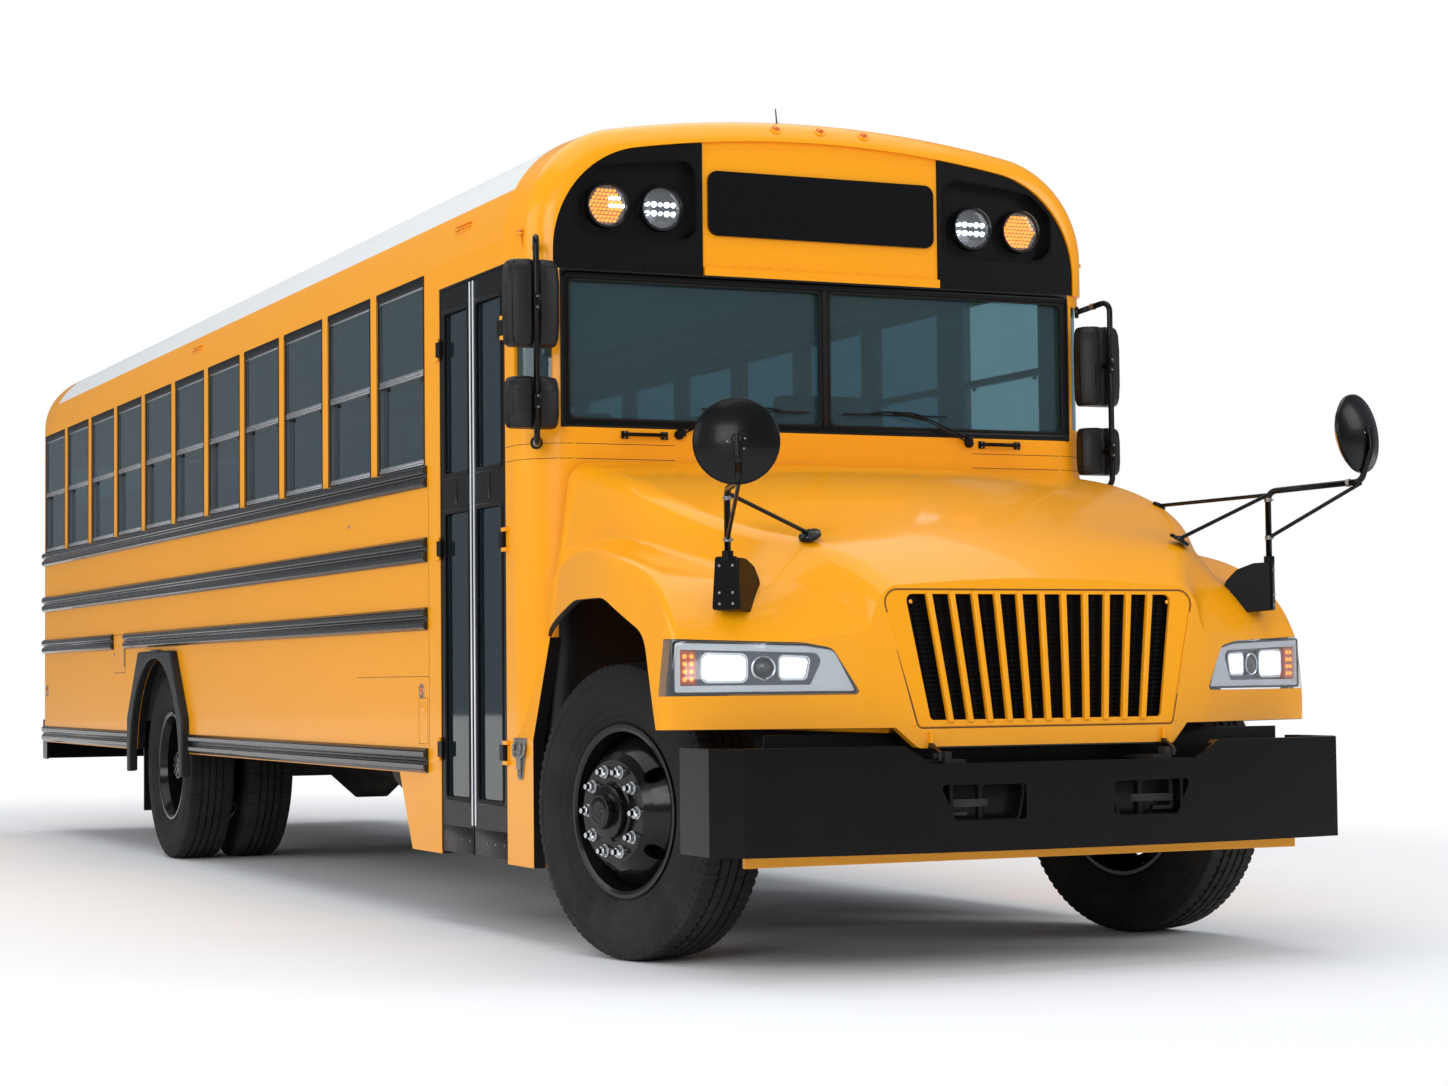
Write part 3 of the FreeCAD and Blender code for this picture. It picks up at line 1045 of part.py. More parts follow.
def make_fittings():
    """Wipers, grab handles, the stop arm's bracket and the two marker stalks."""
    x = WIPER_PIVOT[0]
    add("body_fittings", wiper(-x, -300, 460), wiper(x, 300, 460))
    for side in (1, -1):
        a, b = sorted((side * 674, side * 853))
        bar = box(a, b, COWL_Y - 36, COWL_Y - 22, 1874, 1892)
        ends = [box(p - 9, p + 9, COWL_Y - 30, COWL_Y, 1872, 1894) for p in (a + 9, b - 9)]
        add("body_fittings", fuse([bar] + ends))
    hx, hy = STOP_HINGE
    bracket = box(HALF, HALF + 14, hy - 60, hy + 60, STOP_Z - 130, STOP_Z + 130)
    lugs = [box(HALF + 14, hx, hy - 14, hy + 14, z - 12, z + 12).fuse(cylinder((hx, hy, z), (0, 0, 1), 14, 24))
            for z in (STOP_Z - 90, STOP_Z + 90)]
    pin = cylinder((hx, hy, STOP_Z), (0, 0, 1), 6, 204)
    add("body_fittings", fuse([bracket, pin] + lugs))
    for px in MARKERS_X:
        add("body_fittings", cylinder((px, 870, ROOF_Z + 6), (0, 0, 1), 28, 30).cut(
            section_block(700, 1000, -0.3, EAVE_Z - 200)))


def make_stop_arm():
    """An octagonal blade folded against the side, on a barrel round the bracket's pin."""
    hx, hy = STOP_HINGE
    r, cy = 228, hy + 300
    corner = r / math.cos(math.pi / 8)
    points = [(cy + corner * math.cos(math.pi * (2 * k + 1) / 8), STOP_Z + corner * math.sin(math.pi * (2 * k + 1) / 8))
              for k in range(8)]
    blade = prism_x(points, hx - 4, hx + 4)
    arm = box(hx - 5, hx + 5, hy, cy - r + 30, STOP_Z - 60, STOP_Z + 60)
    barrel = cylinder((hx, hy, STOP_Z), (0, 0, 1), 12, 150)
    arm = arm.fuse(barrel).fuse(blade).cut(cylinder((hx, hy, STOP_Z), (0, 0, 1), 6.05, 200))
    add("stop_arm", arm.removeSplitter())


# ---- doors ---------------------------------------------------------------------------------------------------
def leaf_frame(y0, y1, windows, low, top):
    """A door leaf in the right side's plane, its panes set in."""
    x1 = -HALF + 4
    leaf = box(x1, x1 + DOOR_THICK, y0, y1, low, top)
    panes = []
    for wy0, wy1, wz0, wz1 in windows:
        leaf = leaf.cut(prism_x(rectangle(wy0, wy1, wz0, wz1), x1 - 5, x1 + DOOR_THICK + 5, 22))
        panes.append(prism_x(rectangle(wy0 + 0.2, wy1 - 0.2, wz0 + 0.2, wz1 - 0.2), x1 + 12, x1 + 20, 22))
    return leaf, panes


DOOR_HINGE_Z = (700, 1500, 2300)


def entry_hinges(y, way):
    """Hinges of one entry leaf at y. way is +1 where the leaf extends rearwards from them."""
    x = -HALF - HINGE_OUT
    fixed_y, moving_y = sorted((y, y - way * 40)), sorted((y, y + way * 40))
    return hinge_halves((x, y), (x - 6, -HALF + 1), fixed_y, (x - 6, x + 13), moving_y, DOOR_HINGE_Z)


def make_entry_door():
    middle = (POST_Y + DOOR_REAR_Y) / 2
    leaves = (("entry_door_front", POST_Y + DOOR_GAP, middle - 9), ("entry_door_rear", middle + 9, DOOR_REAR_Y - DOOR_GAP))
    for name, y0, y1 in leaves:
        inner = 48
        edge0 = y0 + (inner if name.endswith("front") else 40)
        edge1 = y1 - (40 if name.endswith("front") else inner)
        windows = [(edge0, edge1, 510, 1640), (edge0, edge1, 1790, 2440)]
        leaf, panes = leaf_frame(y0, y1, windows, DOOR_LOW_Z, DOOR_TOP_Z)
        _, hinges, bores = entry_hinges(y0, 1) if name.endswith("front") else entry_hinges(y1, -1)
        add(name, fuse([leaf] + hinges).cut(Part.makeCompound(bores)))
        add(name + "_glass", *panes)


def rear_hinges():
    x, y = REAR_HINGE
    return hinge_halves(REAR_HINGE, (x - 40, x), (BODY_REAR_Y - 1, y + 6), (x, x + 40), (y - 11, y + 6), (1150, 1750, 2350))


def make_rear_door():
    gap = REAR_DOOR_GAP
    w, (z0, z1) = REAR_DOOR_HALF - gap, REAR_DOOR_Z
    y0, y1 = BODY_REAR_Y - 38, BODY_REAR_Y - 2
    door = box(-w, w, y0, y1, z0 + gap, z1 - gap)
    panes = []
    for a, b in ((1180, 1640), (SILL_Z, 2400)):
        hole = rectangle(-w + 90, w - 90, a, b)
        door = door.cut(prism_y(hole, y0 - 5, y1 + 5, 40))
        inside = rectangle(-w + 90.2, w - 90.2, a + 0.2, b - 0.2)
        panes.append(prism_y(inside, y0 + 14, y0 + 22, 40))
    handle = rod((w - 60, y1 + 26, 1420), (w - 60, y1 + 26, 1560), 9)
    feet = [rod((w - 60, y1 - 2, z), (w - 60, y1 + 26, z), 9) for z in (1430, 1550)]
    _, leaves, bores = rear_hinges()
    add("rear_door", fuse([door, handle] + feet + leaves).cut(Part.makeCompound(bores)))
    add("rear_door_glass", *panes)


# ---- wheels --------------------------------------------------------------------------------------------------
def revolve(profile, centre):
    """A closed (radius, x) outline turned about the X axis through a centre."""
    cx, cy, cz = centre
    wire = Part.makePolygon([V(cx + x, cy, cz + r) for r, x in profile + profile[:1]])
    return Part.Face(wire).revolve(V(cx, cy, cz), V(1, 0, 0), 360)


def tyre(centre):
    """A ring with a rounded shoulder and bulged walls, with grooves round the tread."""
    w, r, bead = TYRE_WIDTH / 2, TYRE_R, RIM_BEAD_R
    cx, cy, cz = centre

    def p(radius, x):
        return V(cx + x, cy, cz + radius)

    groove_w, groove_d = 10, 14
    land = w - 32
    edges = [Part.LineSegment(p(bead + 2, -w + 34), p(bead + 17, -w + 34)).toShape(),
             Part.Arc(p(bead + 17, -w + 34), p((r + bead) / 2 + 6, -w), p(r - 26, -w + 12)).toShape(),
             Part.Arc(p(r - 26, -w + 12), p(r - 9, -w + 18), p(r - 4, -land)).toShape()]
    here = p(r - 4, -land)
    for gx in (-land * 0.55, -land * 0.18, land * 0.18, land * 0.55):
        for q in (p(r, gx - groove_w / 2), p(r - groove_d, gx - groove_w / 2 + 1),
                  p(r - groove_d, gx + groove_w / 2 - 1), p(r, gx + groove_w / 2)):
            edges.append(Part.LineSegment(here, q).toShape())
            here = q
    edges += [Part.LineSegment(here, p(r - 4, land)).toShape(),
              Part.Arc(p(r - 4, land), p(r - 9, w - 18), p(r - 26, w - 12)).toShape(),
              Part.Arc(p(r - 26, w - 12), p((r + bead) / 2 + 6, w), p(bead + 17, w - 34)).toShape(),
              Part.LineSegment(p(bead + 17, w - 34), p(bead + 2, w - 34)).toShape(),
              Part.LineSegment(p(bead + 2, w - 34), p(bead + 2, -w + 34)).toShape()]
    return Part.Face(Part.Wire(edges)).revolve(V(*centre), V(1, 0, 0), 360)


BOLT_CIRCLE_R = 143
BOLT_COUNT = 10
HAND_HOLES = 5


def disc_wheel(centre, out, dish):
    """Steel disc wheel. out is +1 or -1, the way its outside faces, and dish the disc's offset that way."""
    w = TYRE_WIDTH / 2 - 34 + SEAT + 10
    rim = revolve([(RIM_BEAD_R + 1.7, -w), (RIM_R, -w), (RIM_R, -w + 10), (RIM_BEAD_R + 1.7, -w + 10), (RIM_BEAD_R - 12, -w + 40),
                   (RIM_BEAD_R - 12, w - 40), (RIM_BEAD_R + 1.7, w - 10), (RIM_R, w - 10), (RIM_R, w), (RIM_BEAD_R + 1.7, w),
                   (RIM_BEAD_R - 10, w - 4), (RIM_BEAD_R - 22, w - 44), (RIM_BEAD_R - 22, -w + 44),
                   (RIM_BEAD_R - 10, -w + 4)], centre)
    d = out * dish
    disc = revolve([(84, d), (84, d - out * 12), (170, d - out * 12), (193, d - out * 32), (250, d - out * 104),
                    (265, d - out * 118), (265, d - out * 102), (205, d - out * 24), (178, d)], centre)
    holes = []
    for k in range(HAND_HOLES):
        a = 2 * math.pi * k / HAND_HOLES + 0.3
        hole = cylinder((centre[0] + d - out * 62, centre[1] + 222 * math.sin(a), centre[2] + 222 * math.cos(a)),
                        (1, 0, 0), 27, 90)
        holes.append(hole)
    return rim, disc.cut(Part.makeCompound(holes))


def nuts(centre, face_x, out):
    """Wheel nuts with the ends of their studs."""
    pieces = []
    for k in range(BOLT_COUNT):
        a = 2 * math.pi * (k + 0.5) / BOLT_COUNT
        y, z = centre[1] + BOLT_CIRCLE_R * math.sin(a), centre[2] + BOLT_CIRCLE_R * math.cos(a)
        pieces += [cylinder((face_x + out * 10, y, z), (1, 0, 0), 16, 22),
                   cylinder((face_x + out * 26, y, z), (1, 0, 0), 10, 20)]
    return pieces


SPINDLE_R = 32
KNUCKLE_OUT = 64            # kingpin to the knuckle's outer flange
ARM_Z = TYRE_R - 84


def front_wheel():
    """The left front wheel with its hub and drum, bored for the spindle."""
    centre = (FRONT_TRACK_HALF, 0, TYRE_R)
    rim, disc = disc_wheel(centre, 1, FRONT_DISC_OFFSET)
    face = FRONT_TRACK_HALF + FRONT_DISC_OFFSET
    inner = KINGPIN_X + KNUCKLE_OUT + 20
    hub = rod((inner, 0, TYRE_R), (face + 30, 0, TYRE_R), 92)
    nose = rod((face, 0, TYRE_R), (face + 62, 0, TYRE_R), 58)
    drum = ring((inner + 50, 0, TYRE_R), (1, 0, 0), DRUM_R, DRUM_R - 18, 116)
    web = ring((inner + 98, 0, TYRE_R), (1, 0, 0), DRUM_R, 80, 20)
    flange = ring((face - 22, 0, TYRE_R), (1, 0, 0), 168, 80, 26)
    bore = rod((inner - 10, 0, TYRE_R), (face + 10, 0, TYRE_R), SPINDLE_R + 0.05)
    return fuse([rim, disc, hub, nose, drum, web, flange] + nuts(centre, face, 1)).cut(bore), tyre(centre)


def knuckle():
    """The left knuckle: kingpin, the fork round the axle's eye, the spindle and the steering arm."""
    x, z, out = KINGPIN_X, TYRE_R, KINGPIN_X + KNUCKLE_OUT
    pin = cylinder((x, 0, z), (0, 0, 1), PIN_R, 210)
    ears = [cylinder((x, 0, z + s * 84), (0, 0, 1), 50, 44) for s in (1, -1)]
    bridges = [box(x, out + 8, -46, 46, z + 62, z + 106), box(x, out + 8, -46, 46, z - 106, z - 62)]
    flange = box(out, out + 14, -60, 60, z - 110, z + 110)
    plate = ring((out + 4, 0, z), (1, 0, 0), DRUM_R - 3, 20, 8)
    spindle = rod((out + 2, 0, z), (FRONT_TRACK_HALF + FRONT_DISC_OFFSET, 0, z), SPINDLE_R)
    arm = [box(x - 17, x + 17, 0, STEER_ARM, ARM_Z - 16, ARM_Z + 16),
           cylinder((x, STEER_ARM, ARM_Z), (0, 0, 1), 30, 48)]
    body = fuse([pin, flange, spindle, plate] + ears + bridges + arm)
    return body.cut(cylinder((x, STEER_ARM, ARM_Z), (0, 0, 1), 12.05, 60))


def make_front_wheels():
    wheel, rubber = front_wheel()
    pieces = (("wheel_front_", wheel), ("tyre_front_", rubber), ("knuckle_", knuckle()))
    for side, name in ((1, "left"), (-1, "right")):
        for prefix, shape in pieces:
            shape = shape if side > 0 else mirrored(shape)
            add(prefix + name, turned(shape, STEER_REST, (side * KINGPIN_X, 0, 0)))


def arm_end(side):
    """Where the tie rod meets a steering arm, with the wheels parked."""
    a = math.radians(STEER_REST)
    return side * KINGPIN_X - STEER_ARM * math.sin(a), STEER_ARM * math.cos(a)


def make_tie_rod():
    z = ARM_Z - 48
    (x0, y), (x1, _) = arm_end(-1), arm_end(1)
    bar = rod((x0, y, z), (x1, y, z), 18)
    ends = [cylinder((x, y, z), (0, 0, 1), 28, 46) for x in (x0, x1)]
    pins = [cylinder((x, y, ARM_Z - 5), (0, 0, 1), 12, 50) for x in (x0, x1)]
    add("tie_rod", fuse([bar] + ends + pins))


def make_rear_wheels():
    for side, name in ((1, "left"), (-1, "right")):
        outer = (side * DUAL_OUTER_X, WHEELBASE, TYRE_R)
        inner = (side * (DUAL_OUTER_X - DUAL_SPACING), WHEELBASE, TYRE_R)
        rim_o, disc_o = disc_wheel(outer, -side, DISC_OFFSET)
        rim_i, disc_i = disc_wheel(inner, side, DISC_OFFSET)
        seat_x = outer[0] - side * DISC_OFFSET
        end_x = outer[0] + side * 62

        def along(x0, x1, radius):
            return rod((x0, WHEELBASE, TYRE_R), (x1, WHEELBASE, TYRE_R), radius)

        hub = along(seat_x - side * 150, seat_x + side * 60, 92)
        nose = along(seat_x, end_x + side * 10, 72)
        pad = ring((seat_x - side * 4, WHEELBASE, TYRE_R), (1, 0, 0), 170, 84, 60)
        drum = ring((inner[0] - side * 40, WHEELBASE, TYRE_R), (1, 0, 0), DRUM_R, 86, 90)
        neck = ring((seat_x - side * 130, WHEELBASE, TYRE_R), (1, 0, 0), DRUM_R - 40, 84, 200)
        pieces = [rim_o, disc_o, rim_i, disc_i, hub, nose, pad, drum, neck]
        wheel = fuse(pieces + nuts(outer, seat_x + side * 26, side))
        wheel = wheel.cut(along(seat_x - side * 160, end_x, 42.05))
        add("wheels_rear_" + name, wheel)
        add("tyres_rear_" + name, tyre(outer), tyre(inner))


# ---- inside --------------------------------------------------------------------------------------------------
BENCH_X = (165, 1135)
BENCH_ROWS = 11
BACK_Z = 2150
CUSHION_Z = 1500


def bench(x0, x1, y):
    """A bench: cushion, back and two legs, in one piece."""
    back = prism_x([(y + 330, CUSHION_Z - 60), (y + 410, CUSHION_Z - 60), (y + 480, BACK_Z), (y + 410, BACK_Z)], x0, x1)
    cushion = box(x0, x1, y - 60, y + 400, CUSHION_Z - 110, CUSHION_Z)
    legs = [box(a, a + 30, y + 60, y + 330, FLOOR_Z + 0.3, CUSHION_Z - 110) for a in (x0 + 60, x1 - 90)]
    return fuse([back, cushion] + legs)


def make_inside():
    first, last = FIRST_WINDOW_Y + 150, BODY_REAR_Y - WALL - 1073
    for row in range(BENCH_ROWS):
        y = first + (last - first) * row / (BENCH_ROWS - 1)
        if WHEELBASE - HOUSE_R - 350 < y < WHEELBASE + HOUSE_R - 20:
            legs_x = HOUSE_X - 45          # beside a wheelhouse the bench stands on its aisle legs
        else:
            legs_x = None
        seat = bench(*BENCH_X, y)
        if legs_x:
            seat = seat.cut(box(HOUSE_X - 10, HALF, WHEELBASE - HOUSE_R - 10, WHEELBASE + HOUSE_R + 10, FLOOR_Z - 10, 1190))
        add("seats", *both(max(seat.Solids, key=lambda s: s.Volume)))
    dx, dy = 560, 1415
    post = box(dx - 90, dx + 90, dy - 60, dy + 160, FLOOR_Z + 0.3, 1420)
    cushion = box(dx - 240, dx + 240, dy - 220, dy + 260, 1420, 1540)
    back = prism_x([(dy + 190, 1540), (dy + 290, 1540), (dy + 360, 2230), (dy + 270, 2230)], dx - 230, dx + 230, 20)
    add("seats", fuse([post, cushion, back]))
    shelf = [(-480, COWL_Y + WALL + 0.3), (1020, COWL_Y + WALL + 0.3), (1020, 880), (-480, 820)]
    dash = prism_z(shelf, 1500, 1860, [0, 0, 60, 60])
    panel = box(-480, 1020, COWL_Y + WALL + 0.3, COWL_Y + WALL + 60, FLOOR_Z + 0.3, 1500)
    column = rod((dx, 760, 1560), (dx, 1010, 1700), 32)
    rim_axis = V(0, 250, 140).normalize()
    centre = V(dx, 1010, 1700) + rim_axis * 14
    rim = Part.makeTorus(225, 15, centre, rim_axis)
    spokes = [turned(rod(tuple(centre), (centre.x + 222, centre.y, centre.z), 11), 120 * k, tuple(centre), tuple(rim_axis))
              for k in range(3)]
    boss = cylinder(tuple(centre), tuple(rim_axis), 48, 40)
    add("dashboard", fuse([dash, panel, column, rim, boss] + spokes))
    rail_x = -INNER + 90
    rails = []
    for y in (POST_Y + 60, DOOR_REAR_Y - 60):
        pts = [(rail_x + 70, y, STEP_LOW_Z + 0.3), (rail_x + 70, y, 1150), (rail_x + 560, y, 1880), (rail_x + 560, y, FLOOR_Z + 0.3)]
        if y < 1200:
            pts = pts[:3] + [(rail_x + 560, y, FLOOR_Z + 0.3)]
        rails.append(fuse([rod(a, b, 16) for a, b in zip(pts, pts[1:])] + [knee(p, 16) for p in pts[1:3]]))
    add("handrails", *rails)


# ---- everything ----------------------------------------------------------------------------------------------
MAKERS = (make_walls, make_roof, make_hatches, make_front_cap, make_front_panels, make_cowl, make_rear_wall, make_floor,
          make_entry_steps, make_windows, make_rub_rails, make_frame, make_front_axle, make_leaf_springs,
          make_rear_axle, make_engine, make_tanks, make_bumpers, make_bumper_strip, make_hood,
          make_crossview_mirrors, make_side_mirrors, make_lamps, make_fittings, make_stop_arm, make_entry_door,
          make_rear_door, make_front_wheels, make_tie_rod, make_rear_wheels, make_inside)


def export():
    os.makedirs("parts", exist_ok=True)
    for name, solids in NODES.items():
        shape = Part.makeCompound(solids) if len(solids) > 1 else solids[0].copy()
        shape.translate(V(0, SHIFT_Y, 0))
        shape.exportStep("parts/" + name + ".step")


def main():
    for make in MAKERS:
        make()
    export()


if __name__ == "__main__":
    main()
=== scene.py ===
"""Finishes and fine details of a school bus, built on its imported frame.

Metres, in the frame's own axes: the front faces -Y and the driver's side is +X. Pieces are placed with at(),
in millimetres with Y counted back from the front axle.
"""
import json
import math

import bmesh
import bpy
from mathutils import Matrix, Vector


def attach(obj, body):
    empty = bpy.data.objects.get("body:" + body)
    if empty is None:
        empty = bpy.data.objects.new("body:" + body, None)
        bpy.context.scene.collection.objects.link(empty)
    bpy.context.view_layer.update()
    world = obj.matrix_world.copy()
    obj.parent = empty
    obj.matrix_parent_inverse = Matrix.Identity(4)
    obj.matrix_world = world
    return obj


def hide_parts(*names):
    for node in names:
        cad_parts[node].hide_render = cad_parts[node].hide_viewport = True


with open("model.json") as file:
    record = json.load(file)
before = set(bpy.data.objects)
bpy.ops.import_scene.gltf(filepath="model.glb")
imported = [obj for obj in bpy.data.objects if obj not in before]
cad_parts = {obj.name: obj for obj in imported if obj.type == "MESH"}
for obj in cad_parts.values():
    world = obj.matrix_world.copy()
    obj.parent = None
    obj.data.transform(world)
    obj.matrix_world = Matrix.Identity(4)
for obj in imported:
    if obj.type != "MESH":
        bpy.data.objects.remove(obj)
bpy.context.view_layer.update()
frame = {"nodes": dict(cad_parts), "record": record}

AXLE_Y = -4451.5            # front axle, from the middle of the bus
WHEELBASE = 6520
HALF = 1219                 # half the body's width
COWL_Y, REAR_Y = 600, 9950  # the two ends of the body
SILL_Z, MID_RAIL_Z, WINDOW_TOP_Z = 1853, 2235, 2625
FIRST_WINDOW_Y, WINDOW_PITCH, WINDOW_COUNT, PILLAR = 1782, 738, 11, 96
TYRE_R, TYRE_WIDTH = 515, 270
KINGPIN_X, TRACK_HALF, STEER_REST = 900, 1030, 13.5
DUAL_X, DUAL_SPACING = 1050, 326
LAMP_X, LAMP_Z = (672, 893), 2750       # the inner and the outer warning lamp
SIDES = ((1, "left"), (-1, "right"))
RIGHTWARDS, BACKWARDS, UPWARDS = (1, 0, 0), (0, 1, 0), (0, 0, 1)
# what counts as one face, and as one corner, of a copied solid
FLAT_ANGLE, SAME_PLACE = math.radians(0.6), 2e-5


def back(y):
    """The frame's Y, in metres, of a place y mm behind the front axle."""
    return (y + AXLE_Y) / 1000


def at(x, y, z):
    """A place in mm as the frame's metres."""
    return Vector((x / 1000, back(y), z / 1000))


# ---- node trees ----------------------------------------------------------------------------------
def linear(r, g, b):
    """A colour mixed on screen, 0 to 255, as the shaders count it."""
    def one(c):
        c /= 255
        return c / 12.92 if c <= 0.04045 else ((c + 0.055) / 1.055) ** 2.4
    return one(r), one(g), one(b), 1.0


class Tree:
    """Short ways to fill a node tree."""

    def __init__(self, tree):
        self.tree = tree

    def node(self, kind, **settings):
        n = self.tree.nodes.new(kind)
        for key, value in settings.items():
            setattr(n, key, value)
        return n

    def feed(self, socket, value):
        if isinstance(value, bpy.types.NodeSocket):
            self.tree.links.new(value, socket)
        else:
            socket.default_value = value

    def calc(self, operation, *values, clamp=False):
        n = self.node("ShaderNodeMath", operation=operation, use_clamp=clamp)
        for socket, value in zip(n.inputs, values):
            self.feed(socket, value)
        return n.outputs[0]

    def add(self, a, b, clamp=False):
        return self.calc("ADD", a, b, clamp=clamp)

    def times(self, a, b, clamp=False):
        return self.calc("MULTIPLY", a, b, clamp=clamp)

    def most(self, a, b):
        return self.calc("MAXIMUM", a, b)

    def mix(self, share, a, b):
        n = self.node("ShaderNodeMix", data_type="RGBA", blend_type="MIX", clamp_factor=True)
        self.feed(n.inputs[0], share)
        self.feed(n.inputs[6], a)
        self.feed(n.inputs[7], b)
        return n.outputs[2]

    def step(self, value, low, high, start=0.0, end=1.0):
        """Start up to low, end from high, and a smooth change between them."""
        n = self.node("ShaderNodeMapRange", interpolation_type="SMOOTHSTEP")
        for socket, v in zip(n.inputs, (value, low, high, start, end)):
            self.feed(socket, v)
        return n.outputs[0]

    def under(self, value, low, high):
        """One up to low, fading to nothing at high."""
        return self.step(value, low, high, 1.0, 0.0)

    def noise(self, place, scale, detail=3.0, rough=0.5):
        n = self.node("ShaderNodeTexNoise")
        self.feed(n.inputs["Vector"], place)
        self.feed(n.inputs["Scale"], scale)
        self.feed(n.inputs["Detail"], detail)
        self.feed(n.inputs["Roughness"], rough)
        return n.outputs["Fac"]

    def group(self, tree, **values):
        n = self.node("ShaderNodeGroup", node_tree=tree)
        for key, value in values.items():
            self.feed(n.inputs[key], value)
        return n

    def place(self):
        return self.node("ShaderNodeTexCoord").outputs["Object"]

    def split(self, place=None):
        """X, Y and Z of a place on the piece."""
        n = self.node("ShaderNodeSeparateXYZ")
        self.feed(n.inputs[0], place or self.place())
        return n.outputs


PURE_WHITE = (1, 1, 1, 1)


def effect(name, inputs, outputs):
    """An empty node group with named inputs and outputs, and its tree."""
    tree = bpy.data.node_groups.new(name, "ShaderNodeTree")
    kinds = {"f": "NodeSocketFloat", "c": "NodeSocketColor"}
    for label, kind, value in inputs:
        tree.interface.new_socket(name=label, in_out="INPUT", socket_type=kinds[kind]).default_value = value
    for label, kind in outputs:
        tree.interface.new_socket(name=label, in_out="OUTPUT", socket_type=kinds[kind])
    t = Tree(tree)
    return t, t.node("NodeGroupInput").outputs, t.node("NodeGroupOutput").inputs


def make_tone_drift():
    """Slow changes of tone over a painted or moulded surface."""
    t, given, out = effect("tone_drift", [("Colour", "c", PURE_WHITE), ("Amount", "f", 0.1),
                                          ("Scale", "f", 1.5)], [("Colour", "c")])
    broad = t.noise(t.place(), given["Scale"], 4.0, 0.55)
    level = t.times(t.calc("SUBTRACT", broad, 0.5), given["Amount"])
    bright = t.node("ShaderNodeHueSaturation")
    t.feed(bright.inputs["Value"], t.add(level, 1.0))
    t.feed(bright.inputs["Color"], given["Colour"])
    t.feed(out["Colour"], bright.outputs[0])
    return t.tree


def make_road_dust():
    """A pale film that thickens towards the road and settles in patches."""
    t, given, out = effect("road_dust", [("Colour", "c", PURE_WHITE),
                                         ("Dust Colour", "c", linear(120, 112, 100)), ("Amount", "f", 0.3),
                                         ("Top", "f", 0.9), ("Roughness", "f", 0.4)],
                           [("Colour", "c"), ("Roughness", "f")])
    place = t.place()
    low_down = t.under(t.split(place)[2], 0.1, given["Top"])
    patch = t.step(t.noise(place, 5.0, 8.0, 0.65), 0.35, 0.75)
    fine = t.noise(place, 160.0, 2.0)
    film = t.times(t.times(low_down, t.add(t.times(patch, 0.75), 0.25)),
                   t.times(given["Amount"], t.add(fine, 0.5)), clamp=True)
    t.feed(out["Colour"], t.mix(film, given["Colour"], given["Dust Colour"]))
    t.feed(out["Roughness"], t.add(given["Roughness"], t.times(film, 0.5), clamp=True))
    return t.tree


def make_surface_grain():
    """Fine relief: orange peel on paint, a sand-cast skin, or the pores of a moulding."""
    t, given, out = effect("surface_grain", [("Scale", "f", 200.0), ("Waves", "f", 0.3)],
                           [("Height", "f"), ("Mask", "f")])
    place = t.place()
    fine = t.noise(place, given["Scale"], 3.0, 0.6)
    wave = t.noise(place, 3.0, 1.0)
    t.feed(out["Height"], t.add(fine, t.times(wave, given["Waves"])))
    t.feed(out["Mask"], t.step(t.noise(place, t.times(given["Scale"], 0.15), 5.0, 0.6), 0.45, 0.7))
    return t.tree


TONE, DUST, GRAIN = make_tone_drift(), make_road_dust(), make_surface_grain()


def finish(name, colour, rough=0.4, metal=0.0, coat=0.0, grain=(300.0, 0.02), waves=0.0, dust=(0.9, 0.25),
           drift=(1.2, 0.08), shine=0.5, clear=0.0, ior=1.5, glow=None, tone=None, patchy=0.06):
    """A procedural material. colour is linear; tone may build a varied colour in its place.

    grain is the relief's scale and strength, dust the height it reaches and its amount, and drift the scale
    and amount of the slow changes of tone.
    """
    m = bpy.data.materials.new(name)
    m.use_nodes = True
    m.diffuse_color = colour
    t = Tree(m.node_tree)
    m.node_tree.nodes.clear()
    shader = t.node("ShaderNodeBsdfPrincipled")
    t.feed(t.node("ShaderNodeOutputMaterial").inputs[0], shader.outputs[0])
    base = tone(t) if tone else colour
    varied = t.group(TONE, Colour=base, Amount=drift[1], Scale=drift[0]).outputs[0]
    relief = t.group(GRAIN, Scale=grain[0], Waves=waves)
    level = t.add(t.times(relief.outputs["Mask"], patchy), rough)
    dusty = t.group(DUST, Colour=varied, Amount=dust[1], Top=dust[0], Roughness=level)
    bump = t.node("ShaderNodeBump")
    t.feed(bump.inputs["Strength"], grain[1])
    t.feed(bump.inputs["Distance"], 0.002)
    t.feed(bump.inputs["Height"], relief.outputs["Height"])
    for socket, value in (("Base Color", dusty.outputs["Colour"]), ("Roughness", dusty.outputs["Roughness"]),
                          ("Normal", bump.outputs[0]), ("Metallic", metal), ("Specular IOR Level", shine),
                          ("IOR", ior), ("Coat Weight", coat), ("Coat Roughness", 0.06),
                          ("Transmission Weight", clear)):
        t.feed(shader.inputs[socket], value)
    if glow:
        t.feed(shader.inputs["Emission Color"], glow[0])
        t.feed(shader.inputs["Emission Strength"], glow[1])
    return m


# ---- colours that change over a solid ------------------------------------------------------------
YELLOW = linear(249, 164, 10)
WHITE = linear(232, 234, 234)
BLACK = linear(11, 12, 14)
ALLOY = linear(104, 110, 114)
# painted shade: near black stands in for the unlit inside of the wheel arches and the walls; the same black
# is the cap's real edge above the windscreen
SHADE_AND_BLACK = linear(20, 20, 21)         # the unlit inside of the cowl and the walls
WALL_LINING = linear(86, 88, 90)    # the grey panels beside the seats


def by_axis(axis, border, below, above, soft=0.002):
    """A colour that changes at a place along X, Y or Z."""
    def tone(t):
        return t.mix(t.step(t.split()["XYZ".index(axis)], border - soft, border + soft), below, above)
    return tone


